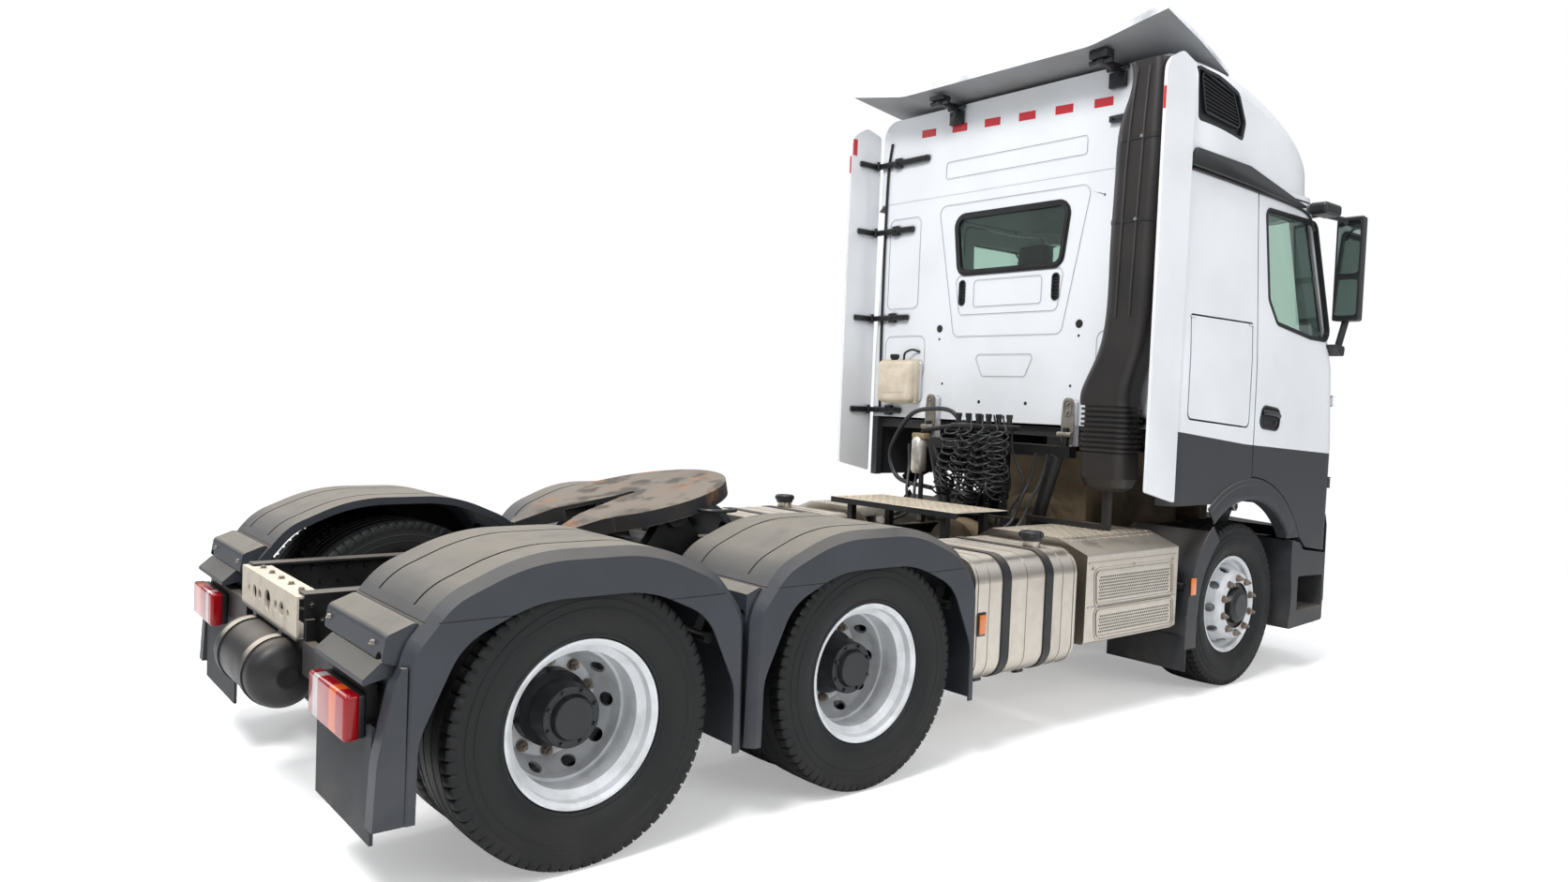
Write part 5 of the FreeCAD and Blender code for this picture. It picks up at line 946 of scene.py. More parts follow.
@dataclass
class Tyre:
    """A road tyre: its section and the lugs of its shoulder."""

    width: float = 0.315
    tread: float = 0.280
    rim_radius: float = 0.2858
    flange_radius: float = 0.2990
    rim_half: float = 0.114
    pitches: int = 72
    groove_depth: float = 0.013
    groove_width: float = 0.011
    groove_places: tuple[float, ...] = (0.034, 0.092)
    notch_share: float = 0.2
    notch_depth: float = 0.010
    crown: float = 0.005

    def section(self, radius: float) -> list[tuple[float, float, bool]]:
        """Half of the section from bead to crown.

        Args:
            radius: Outer radius of the tyre.

        Returns:
            Triples of distance from the middle, radius and whether a notch cuts in there.
        """
        wide = self.width / 2
        edge = self.tread / 2
        points = [
            (self.rim_half - 0.006, self.rim_radius + 0.0005, False), (self.rim_half, self.flange_radius, False),
            (self.rim_half + 0.017, self.flange_radius + 0.006, False),
            (self.rim_half + 0.021, self.flange_radius + 0.014, False),
            (self.rim_half + 0.020, self.flange_radius + 0.020, False),
            (wide - 0.011, self.flange_radius + 0.040, False), (wide - 0.002, self.flange_radius + 0.065, False),
            (wide, self.flange_radius + 0.088, False), (wide - 0.001, radius - 0.100, False),
            (wide + 0.0005, radius - 0.099, False), (wide, radius - 0.094, False),
            (wide - 0.002, radius - 0.093, False), (wide - 0.004, radius - 0.070, False),
            (wide - 0.003, radius - 0.069, False),
            (wide - 0.004, radius - 0.064, False), (wide - 0.006, radius - 0.063, False),
            (wide - 0.009, radius - 0.044, False), (wide - 0.008, radius - 0.030, True),
            (edge + 0.004, radius - self.crown - 0.010, True), (edge, radius - self.crown - 0.002, True),
            (edge - 0.006, radius - self.crown, True),
        ]
        for place in reversed(self.groove_places):
            top = radius - self.crown * (place / edge) ** 2
            half = self.groove_width / 2
            points += [(place + half, top, True), (place + half - 0.002, top - self.groove_depth, False),
                       (place - half + 0.002, top - self.groove_depth, False), (place - half, top, False)]
        return points

    def build(self, centre: Vector, radius: float, name: str) -> bpy.types.Object:
        """Make the tyre from one pitch of its tread, set round the axle.

        Args:
            centre: Middle of the tyre.
            radius: Its outer radius.
            name: Name of the object.

        Returns:
            The tyre as a plain mesh.
        """
        half = self.section(radius)
        whole = half + [(-y, r, cut) for y, r, cut in reversed(half)]
        step = 2 * math.pi / self.pitches
        share = self.notch_share
        stations = ((0.0, False), (1 - share - 0.05, False), (1 - share, True), (0.96, True), (1.0, False))
        part = bmesh.new()
        rings = []
        for place, low in stations:
            turn = place * step
            ring = []
            for y, r, cut in whole:
                reach = r - (self.notch_depth if cut and low and abs(y) > self.tread / 2 - 0.026 else 0)
                ring.append(part.verts.new(Vector((reach * math.cos(turn), y, reach * math.sin(turn)))))
            rings.append(ring)
        for ring, following in zip(rings, rings[1:]):
            for index in range(len(whole) - 1):
                part.faces.new((ring[index], ring[index + 1], following[index + 1], following[index]))
        shape = Shape(name)
        for face in part.faces:
            face.normal_flip()
        holder = bpy.data.meshes.new("pitch")
        part.to_mesh(holder)
        part.free()
        shape.mesh.from_mesh(holder)
        shape.finishes.append(TYRE_RUBBER)
        made = shape.object()
        return RING.run(made, self.pitches, centre, TYRE_RUBBER)


class RingRepeater:
    """Geometry nodes that set a segment round a line along Y and weld the seams."""

    def __init__(self) -> None:
        """Build the tree once."""
        self.tree = bpy.data.node_groups.new("segment_round_axle", "GeometryNodeTree")
        face = self.tree.interface
        face.new_socket("Segment", in_out="INPUT", socket_type="NodeSocketGeometry")
        self.count = face.new_socket("Count", in_out="INPUT", socket_type="NodeSocketInt").identifier
        self.centre = face.new_socket("Centre", in_out="INPUT", socket_type="NodeSocketVector").identifier
        self.weld = face.new_socket("Weld", in_out="INPUT", socket_type="NodeSocketFloat").identifier
        self.finish = face.new_socket("Finish", in_out="INPUT", socket_type="NodeSocketMaterial").identifier
        face.new_socket("Ring", in_out="OUTPUT", socket_type="NodeSocketGeometry")
        given = add_node(self.tree, "NodeGroupInput").node
        line = add_node(self.tree, "GeometryNodeMeshLine", {
            "Count": given.outputs["Count"], "Start Location": given.outputs["Centre"], "Offset": (0, 0, 0)})
        index = add_node(self.tree, "GeometryNodeInputIndex")
        pitch = add_node(self.tree, "ShaderNodeMath", {0: math.tau, 1: given.outputs["Count"]}, operation="DIVIDE")
        turn = add_node(self.tree, "ShaderNodeMath", {0: index, 1: pitch}, operation="MULTIPLY")
        angles = add_node(self.tree, "ShaderNodeCombineXYZ", {1: turn})
        set_out = add_node(self.tree, "GeometryNodeInstanceOnPoints", {
            "Points": line, "Instance": given.outputs["Segment"], "Rotation": angles})
        real = add_node(self.tree, "GeometryNodeRealizeInstances", {0: set_out})
        welded = add_node(self.tree, "GeometryNodeMergeByDistance", {0: real, "Distance": given.outputs["Weld"]})
        dressed = add_node(self.tree, "GeometryNodeSetMaterial", {0: welded, "Material": given.outputs["Finish"]})
        add_node(self.tree, "NodeGroupOutput", {0: dressed})

    def run(self, made: bpy.types.Object, count: int, centre: Vector, finish: Finish,
            weld: float = 0.00002) -> bpy.types.Object:
        """Set an object's mesh round a centre.

        Args:
            made: Object with the first segment, about the origin.
            count: Number of segments.
            centre: Middle of the ring.
            finish: Finish of the ring.
            weld: Distance under which corners are merged.

        Returns:
            The same object with the whole ring as a plain mesh.
        """
        modifier = made.modifiers.new("ring", "NODES")
        modifier.node_group = self.tree
        modifier[self.count] = count
        modifier[self.centre] = tuple(centre)
        modifier[self.weld] = weld
        modifier[self.finish] = finish.material()
        return plain(made)


RING = RingRepeater()
SPREAD = Repeater()


def scatter(name: str, part: Shape, places: Sequence[tuple[Vector, Quaternion]], finish: Finish, body: Body | str,
            slot: Slot) -> None:
    """Set copies of a part at all places, as one piece that rides.

    Args:
        name: Name of the piece.
        part: The part about the origin.
        places: Where each copy goes and how it is turned.
        finish: Finish of the copies.
        body: Body that they move with.
        slot: Material slot of the record.
    """
    made = SPREAD.spread(part, places, finish)
    made.name = name
    settle(made, body, slot)


def merged(name: str, *parts: bpy.types.Object) -> bpy.types.Object:
    """Join finished objects into one.

    Args:
        name: Name of the new object.
        *parts: Objects to join, which are used up.

    Returns:
        The new object.
    """
    joined = bmesh.new()
    materials = []
    for part in parts:
        offset = len(joined.faces)
        joined.from_mesh(part.data)
        joined.faces.ensure_lookup_table()
        for face in joined.faces[offset:]:
            material = part.data.materials[face.material_index]
            if material not in materials:
                materials.append(material)
            face.material_index = materials.index(material)
    data = bpy.data.meshes.new(name)
    joined.to_mesh(data)
    joined.free()
    for material in materials:
        data.materials.append(material)
    for part in parts:
        bpy.data.objects.remove(part)
    made = placed(name, data)
    return made


@dataclass(frozen=True)
class BoltCircle:
    """Equal fasteners on a circle round an axle."""

    name: str
    radius: float
    count: int
    across: float
    height: float
    finish: Finish
    first: float = 0.0
    washer: float = 1.5
    stud: float = 0.0

    def fit(self, centre: Vector, side: int, body: str) -> None:
        """Set the fasteners on a wheel.

        Args:
            centre: Middle of the circle.
            side: 1 where they face left, -1 where they face right.
            body: Wheel body that they turn with.
        """
        turn = facing(Vector((0, side, 0)))
        places = []
        for index in range(self.count):
            angle = 2 * math.pi * (index + self.first) / self.count
            places.append((centre + Vector((math.sin(angle), 0, math.cos(angle))) * self.radius, turn))
        head = hex_bolt(self.name, self.across, self.height, self.finish, self.washer, self.stud)
        scatter(body + "_" + self.name, head, places, self.finish, body, Slot.STEEL)


@dataclass
class Wheels:
    """Tyres, nuts and hub fittings of all six wheel bodies."""

    tyre: Tyre = field(default_factory=Tyre)
    nuts: BoltCircle = BoltCircle("nuts", 0.1675, 10, 0.032, 0.026, RUSTY_STEEL, washer=1.45, stud=0.012)
    hub_bolts: BoltCircle = BoltCircle("hub_bolts", 0.098, 8, 0.014, 0.010, BLACK_ABS, first=0.5)
    hub_proud: float = 0.202
    disc_thickness: float = 0.014
    rim_offset: float = 0.1715
    bore: float = 0.1405

    def finish(self, node: str) -> Finish:
        """Silver enamel on the rim and black paint on its hub.

        Args:
            node: Name of the wheel's node.

        Returns:
            Finish of that wheel.
        """
        centre = sum(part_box(node), Vector()) / 2
        return Finish("enamelled_" + node, RIM_SILVER, 0.32, 0.15, layers=(
            Patches("#B1B2B1", 0.09, 0.4, 0.75, 0.6, roughness=0.45),
            Splashed("#8E857A", 0.9, 0.2),
            Round("#141517", centre.x, REAR_AXLE.z, self.bore + 0.0008, 0.38)))

    def build(self) -> None:
        """Dress every wheel body."""
        for side, word in SIDES:
            for place in ("mid", "rear"):
                self.twin(place, word, side)
            self.single(word, side)

    def twin(self, place: str, word: str, side: int) -> None:
        """Dress a twin wheel.

        Args:
            place: Axle, mid or rear.
            word: Name of that side.
            side: 1 for the left, -1 for the right.
        """
        node = "tyres_" + place + "_" + word
        low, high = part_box(node)
        radius = (high.z - low.z) / 2
        centre = (low + high) / 2
        half = (high.y - low.y) / 2 - self.tyre.width / 2
        tyres = [self.tyre.build(centre + Vector((0, way * half, 0)), radius, node + "_one") for way in (1, -1)]
        body = "wheel_" + place + "_" + word
        settle(merged(node + "_tread", *tyres), body, Slot.TYRE, node)
        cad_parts[body].data.materials[0] = self.finish(body).material()
        outer = centre.y + side * half
        face = outer - side * (self.rim_offset - self.disc_thickness)
        self.nuts.fit(Vector((centre.x, face, centre.z)), side, body)
        hub = outer - side * self.rim_offset + side * self.hub_proud
        self.hub_bolts.fit(Vector((centre.x, hub, centre.z)), side, body)

    def single(self, word: str, side: int) -> None:
        """Dress a steered wheel.

        Args:
            word: Name of that side.
            side: 1 for the left, -1 for the right.
        """
        node = "tyre_front_" + word
        low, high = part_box(node)
        centre = (low + high) / 2
        made = self.tyre.build(centre, (high.z - low.z) / 2, node + "_tread")
        body = "wheel_front_" + word
        settle(made, body, Slot.TYRE, node)
        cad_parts[body].data.materials[0] = self.finish(body).material()
        self.nuts.fit(centre + Vector((0, side * self.rim_offset, 0)), side, body)


@dataclass
class Lamps:
    """Rear lamp clusters and headlamps."""

    white: Span = (0.14, 0.28)
    amber: Span = (0.60, 0.78)

    def lens(self, inner: float, width: float) -> Finish:
        """Moulded lens in red with a white and an amber field.

        Args:
            inner: Distance of the lens from the middle of the vehicle.
            width: Its width.

        Returns:
            Finish of the lens.
        """
        fixed = (("Coat Weight", 0.35), ("Coat Roughness", 0.04), ("Specular IOR Level", 0.3))
        return Finish("ribbed_lamp_lens", "#8C0410", 0.22, layers=(
            Zone("#A99E9C", 1, inner + width * self.white[0], inner + width * self.white[1], either_side=True,
                 edge=0.001),
            Zone("#C2501A", 1, inner + width * self.amber[0], inner + width * self.amber[1], either_side=True,
                 edge=0.001)), fixed=fixed)

    def build(self) -> None:
        """Make both rear clusters and the headlamp covers."""
        low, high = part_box("lamps")
        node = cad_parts["lamps"]
        rear_top = max(v.co.z for v in node.data.vertices if v.co.x < 0)
        rear_low = min(v.co.z for v in node.data.vertices if v.co.x < 0)
        rear_front = max(v.co.x for v in node.data.vertices if v.co.x < 0)
        inner = min(abs(v.co.y) for v in node.data.vertices if v.co.x < 0)
        outer = max(abs(v.co.y) for v in node.data.vertices if v.co.x < 0)
        lens = self.lens(inner, outer - inner)
        shape = Shape("rear_lamps")
        for side, _ in SIDES:
            ends = sorted((side * inner, side * outer))
            shape.block(Vector((low.x + 0.030, ends[0] + 0.004, rear_low + 0.004)),
                        Vector((rear_front, ends[1] - 0.004, rear_top - 0.004)), BLACK_ABS, 0.008, 3)
            shape.block(Vector((low.x, ends[0], rear_low)), Vector((low.x + 0.050, ends[1], rear_top)), lens,
                        0.012, 4)
        shape.piece(Body.CHASSIS, Slot.LAMP, "lamps")
        covers = bmesh.new()
        covers.from_mesh(node.data)
        bmesh.ops.remove_doubles(covers, verts=covers.verts, dist=1e-5)
        bmesh.ops.delete(covers, geom=[v for v in covers.verts if v.co.x < 0], context="VERTS")
        cover = Shape("headlamp_covers")
        cover.take(covers, HEADLAMP_GLASS)
        cover.piece(Body.CHASSIS, Slot.GLASS)


# Hard-coated polycarbonate, clear over dark reflector housings
HEADLAMP_GLASS = Finish("clear_headlamp_cover", "#30343A", 0.06, fixed=(("Coat Weight", 1.0), ("IOR", 1.58)))


@dataclass
class NodeFinishes:
    """Finish of each node that shows as it is."""

    def build(self) -> None:
        """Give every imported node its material."""
        groups = {
            DEFLECTOR: ("roof_deflector",),
            LACQUER: ("cab_rear_wall", "cab_roof", "side_deflectors", "cab_front",
                      "locker_lid_left", "locker_lid_right"),
            CAB_SIDE: ("cab_side_left", "cab_side_right", "door_left", "door_right"),
            CLADDING: ("entry_steps", "front_flap", "bumper", "front_mudguards"),
            FENDER: ("fenders_left", "fenders_right"),
            CHASSIS: ("frame_rails", "fender_brackets", "cab_mount", "line_bracket", "front_axle", "knuckle_left",
                      "knuckle_right", "tie_rod", "drive_axles", "fifth_wheel_base", "air_tank", "tank_brackets"),
            DUSTY_STEEL: ("crossmembers",),
            DECK_STEEL: ("deck_plate",),
            COUPLING: ("fifth_wheel_plate",),
            TANK: ("fuel_tanks", "side_boxes"),
            FLAP_RUBBER: ("mud_flaps",),
            GLASS: ("cab_glass", "door_glass_left", "door_glass_right"),
            DUCT: ("intake_snorkel", "intake_pot"),
            BLACK_ABS: ("mirror_left", "mirror_right", "lamps"),
            DASH: ("dashboard", "cab_floor"),
            SEAT_CLOTH: ("seats_bunk",),
            CASTING: ("engine_gearbox",),
        }
        for finish, names in groups.items():
            for name in names:
                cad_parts[name].data.materials[0] = finish.material()
                LOG.info("%s: %s", name, finish.name)


@dataclass
class Studio:
    """Floor, white surroundings, soft lamps and the camera."""

    floor_half: float = 60.0
    floor_colour: str = "#F2F2F2"
    camera_place: Point = (-4.33725, -4.42033, 1.65646)
    camera_yaw: float = 0.8835
    camera_pitch: float = 0.0379
    camera_roll: float = 0.0396
    lens: float = 24.342
    surroundings: float = 0.50
    mirrored: Span = (0.30, 1.10)
    floor_glow: float = 0.34
    fade: Span = (5.0, 11.0)
    aim: Point = (0.0, 0.0, 1.2)
    panels: tuple[tuple[str, Point, float, float], ...] = (
        ("key_panel", (-8.0, -3.0, 11.0), 4.0, 1250), ("top_panel", (1.0, 1.0, 13.0), 10.0, 900),
        ("side_panel", (1.0, -12.0, 7.0), 7.0, 420), ("far_panel", (-3.0, 11.0, 7.0), 7.0, 300))

    def build(self) -> None:
        """Make the studio."""
        self.camera()
        self.floor()
        self.world()
        for name, place, size, power in self.panels:
            self.lamp(name, Vector(place), size, power)

    def camera(self) -> None:
        """Make the camera at the photograph's place and angle."""
        data = bpy.data.cameras.new("view")
        data.sensor_width = 36.0
        data.lens = self.lens
        data.clip_end = 300.0
        cos_pitch = math.cos(self.camera_pitch)
        ahead = Vector((math.cos(self.camera_yaw) * cos_pitch, math.sin(self.camera_yaw) * cos_pitch,
                        -math.sin(self.camera_pitch)))
        right = ahead.cross(UP).normalized()
        up = right.cross(ahead)
        cos_roll = math.cos(self.camera_roll)
        sin_roll = math.sin(self.camera_roll)
        rolled_right = right * cos_roll + up * sin_roll
        rolled_up = up * cos_roll - right * sin_roll
        turn = Matrix((rolled_right, rolled_up, -ahead)).transposed().to_4x4()
        camera = placed("view", data)
        camera.matrix_world = Matrix.Translation(Vector(self.camera_place)) @ turn
        bpy.context.scene.camera = camera

    def floor(self) -> None:
        """Make a pale floor that shows white past the shadow."""
        data = bpy.data.meshes.new("floor")
        half = self.floor_half
        data.from_pydata([(-half, -half, 0), (half, -half, 0), (half, half, 0), (-half, half, 0)], [], [(0, 1, 2, 3)])
        material = bpy.data.materials.new("matt_white_floor")
        material.use_nodes = True
        tree = material.node_tree
        tree.nodes.clear()
        shaded = add_node(tree, "ShaderNodeBsdfDiffuse", {0: linear(self.floor_colour)})
        glow = add_node(tree, "ShaderNodeEmission", {0: linear("#FFFFFF"), 1: self.floor_glow})
        seen = add_node(tree, "ShaderNodeLightPath")
        lit = add_node(tree, "ShaderNodeMixShader", {0: seen, 1: shaded, 2: add_node(tree, "ShaderNodeAddShader", {
            0: shaded, 1: glow})})
        place = add_node(tree, "ShaderNodeTexCoord", out=3)
        far = add_node(tree, "ShaderNodeVectorMath", {0: place}, out=1, operation="LENGTH")
        share = add_node(tree, "ShaderNodeMapRange", {0: far, 1: self.fade[0], 2: self.fade[1]},
                         interpolation_type="SMOOTHSTEP")
        white = add_node(tree, "ShaderNodeEmission", {0: linear("#FFFFFF"), 1: 1.0})
        faded = add_node(tree, "ShaderNodeMixShader", {0: share, 1: lit, 2: white})
        kept = add_node(tree, "ShaderNodeMixShader", {0: seen, 1: shaded, 2: faded})
        add_node(tree, "ShaderNodeOutputMaterial", {0: kept})
        data.materials.append(material)
        floor = placed("floor", data)

    def world(self) -> None:
        """Make surroundings that look white and light the object evenly."""
        world = bpy.data.worlds.new("studio")
        bpy.context.scene.world = world
        world.use_nodes = True
        tree = world.node_tree
        tree.nodes.clear()
        light = add_node(tree, "ShaderNodeBackground", {0: linear("#F4F6FA"), 1: self.surroundings})
        white = add_node(tree, "ShaderNodeBackground", {0: linear("#FFFFFF"), 1: 1.0})
        seen = add_node(tree, "ShaderNodeLightPath").node
        way = add_node(tree, "ShaderNodeTexCoord", out=0)
        height = add_node(tree, "ShaderNodeSeparateXYZ", {0: way}, out=2)
        bright = add_node(tree, "ShaderNodeMapRange", {0: height, 1: 0.0, 2: 0.75, 3: self.mirrored[0],
                                                       4: self.mirrored[1]}, interpolation_type="SMOOTHSTEP")
        mirrored = add_node(tree, "ShaderNodeBackground", {0: linear("#F8FAFF"), 1: bright})
        through = add_node(tree, "ShaderNodeMath", {0: seen.outputs["Is Camera Ray"],
                                                    1: seen.outputs["Is Transmission Ray"]}, operation="MAXIMUM")
        lit = add_node(tree, "ShaderNodeMixShader", {0: seen.outputs["Is Glossy Ray"], 1: light, 2: mirrored})
        mixed = add_node(tree, "ShaderNodeMixShader", {0: through, 1: lit, 2: white})
        add_node(tree, "ShaderNodeOutputWorld", {0: mixed})

    def lamp(self, name: str, place: Vector, size: float, power: float) -> None:
        """Make a large soft panel that looks at the object.

        Args:
            name: Name of the lamp.
            place: Where it stands.
            size: Its diameter.
            power: Its power in watts.
        """
        data = bpy.data.lights.new(name, "AREA")
        data.shape = "DISK"
        data.size = size
        data.energy = power
        lamp = placed(name, data)
        lamp.location = place
        lamp.rotation_mode = "QUATERNION"
        lamp.rotation_quaternion = (Vector(self.aim) - place).to_track_quat("-Z", "Y")


@dataclass(frozen=True)
class Outline:
    """A closed outline of corners (u, v, radius), rounded when its points are asked for."""

    corners: tuple[Point, ...]
    steps: int = 5

    def neighbours(self, index: int) -> tuple[Vector, Vector, Vector]:
        """Corner before, corner itself and corner after."""
        count = len(self.corners)
        return tuple(Vector(self.corners[(index + way) % count][:2]) for way in (-1, 0, 1))

    def grown(self, by: float) -> "Outline":
        """The same outline moved outwards.

        Args:
            by: Distance outwards.

        Returns:
            The moved outline.
        """
        middle = sum((Vector(corner[:2]) for corner in self.corners), Vector((0, 0))) / len(self.corners)
        moved = []
        for index, (u, v, radius) in enumerate(self.corners):
            before, here, after = self.neighbours(index)
            normals = []
            for start, end in ((before, here), (here, after)):
                way = (end - start).normalized()
                normal = Vector((way.y, -way.x))
                normals.append(normal if normal.dot((start + end) / 2 - middle) > 0 else -normal)
            shift = (normals[0] + normals[1]) * (by / (1 + normals[0].dot(normals[1])))
            moved.append((u + shift.x, v + shift.y, max(radius + by, 0.001)))
        return Outline(tuple(moved), self.steps)

    def points(self, place: Place) -> list[Vector]:
        """Points of the rounded outline, each set in space by place.

        Args:
            place: Function that sets a point in space.

        Returns:
            Points in order.
        """
        result = []
        for index, corner in enumerate(self.corners):
            before, here, after = self.neighbours(index)
            back = (before - here).normalized()
            ahead = (after - here).normalized()
            half = back.angle(ahead) / 2
            reach = corner[2] / math.tan(half)
            middle = here + (back + ahead).normalized() * (corner[2] / math.sin(half))
            for step in range(self.steps + 1):
                arm = (here + back * reach - middle).lerp(here + ahead * reach - middle, step / self.steps)
                point = middle + arm.normalized() * corner[2]
                result.append(place(point.x, point.y))
        return result


def box_outline(low_u: float, low_v: float, high_u: float, high_v: float, radius: float) -> Outline:
    """Rectangle with rounded corners."""
    return Outline(((low_u, low_v, radius), (high_u, low_v, radius), (high_u, high_v, radius),
                    (low_u, high_v, radius)))


def side_face(z: float) -> float:
    """Half width of the cab's painted side at a height.

    Args:
        z: Height above the ground.

    Returns:
        Half width.
    """
    belt = 2.010
    seam = 3.100
    return 1.235 - 0.045 * min(max((z - belt) / (seam - belt), 0.0), 1.0)


# Extruded rubber of window seals and strips, black and slightly shiny where it is wiped
SEAL_RUBBER = Finish("extruded_seal_rubber", "#0E0F10", 0.42, layers=(
    Patches("#1A1B1C", 0.1, 0.4, 0.7, 0.6, roughness=0.6),))
# Prismatic sheet stuck on the rear of the cab, plain red
RED_TAPE = Finish("red_reflective_tape", "#C8202C", 0.3, layers=(
    Brushed((1, 40, 40), 0.08, 0.00003, "#A31822", 0.3),), fixed=(("Coat Weight", 0.6),))
# Polyethylene bottle, yellowed and filmed with dust
RESERVOIR = Finish("yellowed_polyethylene", "#D6CBB8", 0.5, layers=(
    Patches("#BFB19A", 0.12, 0.35, 0.75, 0.8), Settled("#A99C86", 0.6), Splashed("#8F826D", 2.2, 0.4)))
# Pressed steel of latches and brackets, grey under dust
LATCH = Finish("dusty_pressed_steel", "#8E8A82", 0.5, 0.5, layers=(
    Patches("#6E675C", 0.05, 0.35, 0.7, 0.8, roughness=0.7), Settled("#B0A492", 0.5)))
# Amber polycarbonate of the side marker lamps
AMBER = Finish("amber_marker_lens", "#D8741A", 0.2, layers=(
    Brushed((60, 1, 1), 0.25, 0.0002, "#B4560C", 0.4),), fixed=(("Coat Weight", 1.0),))
# Silvered mirror glass behind a thin clear pane
MIRROR_GLASS = Finish("silvered_mirror_glass", "#C4D2CC", 0.02, 1.0)
# Expanded metal behind the louvres, black and deepened to near black as painted shade; the backs of other recesses take
# the same painted shade
RECESS_BLACK_AND_SHADE = Finish("shaded_louvre_mesh", "#0A0B0C", 0.7, layers=(
    Patches("#141517", 0.03, 0.4, 0.7, 0.8), Grain(0.006, 0.0006)))
# Painted hose and wire sleeves of the chassis lines
HOSE = Finish("black_nylon_line", "#141416", 0.45, layers=(
    Patches("#26262A", 0.05, 0.4, 0.7, 0.6, roughness=0.7), Settled("#6E675B", 0.3)))


@dataclass
class RearWall:
    """Fittings of the cab's rear wall: window seal, vents, plugs, tape, bottle, latches and brackets."""

    wall_x: float = 3.630
    window: Outline = Outline(((-0.445, 2.930, 0.060), (0.445, 2.930, 0.060), (0.400, 2.570, 0.050),
                               (-0.400, 2.570, 0.050)))
    seal_rims: tuple[tuple[float, float, float, float], ...] = (
        (-0.001, 0.030, -0.006, 0.005), (0.004, 0.016, -0.008, 0.005), (-0.013, -0.0005, -0.010, 0.012))
    vent_y: float = 0.377
    vent_half: float = 0.024
    vent_bars: int = 6
    vent_z: Span = (2.345, 2.508)
    plug: Point = (0.564, 2.192, 0.022)
    small_holes: tuple[Point, ...] = ((0.564, 2.120, 0.009), (0.521, 1.816, 0.009),
                                                           (0.190, 1.700, 0.012))
    tape_count: int = 6
    tape_y: Span = (0.745, -0.660)
    tape_z: Span = (3.552, 3.498)
    tape_size: Span = (0.130, 0.052)
    bottle_low: Point = (3.502, 0.705, 1.679)
    bottle_high: Point = (3.627, 1.034, 1.975)
    latch_y: float = 0.560
    bracket_heights: tuple[float, ...] = (1.620, 2.280, 2.900, 3.380)
    bracket_inner: tuple[float, ...] = (0.900, 0.860, 0.840, 0.720)

    def wall(self, depth: float = 0.0) -> Place:
        """Places on the wall, this far behind its painted face."""
        return on_end(self.wall_x - depth)

    def build(self) -> None:
        """Make everything on the rear wall."""
        self.seals()
        self.plugs()
        self.tape()
        self.bottle()
        self.latches()
        self.brackets()
        self.harness()

    def seals(self) -> None:
        """Rubber round the window and in both vent slots."""
        shape = Shape("rear_window_seal")
        for depth, outer, inner, thickness in self.seal_rims:
            shape.rim(self.window, self.wall(depth), outer, inner, REARWARD * thickness, SEAL_RUBBER)
        low, high = self.vent_z
        for side, _ in SIDES:
            middle = side * self.vent_y
            slot = box_outline(middle - self.vent_half, low, middle + self.vent_half, high, self.vent_half - 0.0005)
            shape.rim(slot, self.wall(), 0.004, -0.005, REARWARD * 0.005, SEAL_RUBBER)
            # Near-black sheet behind the vent bars: painted shade inside the slot.
            shape.prism(slot.grown(-0.0008).points(self.wall(-0.0135)), REARWARD * 0.004, RECESS_BLACK_AND_SHADE)
            for index in range(self.vent_bars):
                z = low + 0.026 + index * (high - low - 0.052) / (self.vent_bars - 1)
                shape.slab(1, (self.wall_x + 0.001, self.wall_x + 0.010), (middle - 0.019, middle + 0.019),
                           (z - 0.003, z + 0.003), BLACK_ABS, 0.001)
        shape.piece(Body.CAB, Slot.RUBBER)

    def plugs(self) -> None:
        """Rubber plugs and bare small holes in the pressed wall."""
        shape = Shape("wall_plugs")
        for side, _ in SIDES:
            y, z, radius = self.plug
            shape.turned([(-0.006, 0), (-0.006, radius - 0.001), (0.001, radius - 0.001), (0.001, radius + 0.004),
                          (0.004, radius + 0.002), (0.005, radius * 0.6), (0.003, radius * 0.5), (0.003, 0)],
                         spot(self.wall_x, side * y, z), REARWARD, SEAL_RUBBER, 24)
            for y, z, radius in self.small_holes:
                shape.turned([(-0.010, 0), (-0.010, radius - 0.0004), (-0.002, radius - 0.0004), (-0.004, 0)],
                             spot(self.wall_x, side * y, z), REARWARD, SEAL_RUBBER, 16)
        shape.piece(Body.CAB, Slot.RUBBER)

    def tape(self) -> None:
        """Red reflective strips across the top and on both side deflectors."""
        shape = Shape("reflective_tape")
        wide, high = self.tape_size
        slope = (self.tape_z[1] - self.tape_z[0]) / (self.tape_y[1] - self.tape_y[0])
        for index in range(self.tape_count):
            share = index / (self.tape_count - 1)
            y = self.tape_y[0] + share * (self.tape_y[1] - self.tape_y[0])
            z = self.tape_z[0] + share * (self.tape_z[1] - self.tape_z[0])
            corners = [(y - wide / 2, z - high / 2 - slope * wide / 2), (y + wide / 2, z - high / 2 + slope * wide / 2),
                       (y + wide / 2, z + high / 2 + slope * wide / 2), (y - wide / 2, z + high / 2 - slope * wide / 2)]
            shape.prism([spot(self.wall_x, *corner) for corner in corners], REARWARD * 0.0012, RED_TAPE)
        for side, _ in SIDES:
            shape.slab(side, (3.362, 3.402), (1.2228, 1.224), (3.430, 3.545), RED_TAPE)
            shape.slab(side, (3.3490, 3.3502), (1.2255, 1.2405), (3.300, 3.420), RED_TAPE)
        shape.piece(Body.CAB, Slot.LAMP)

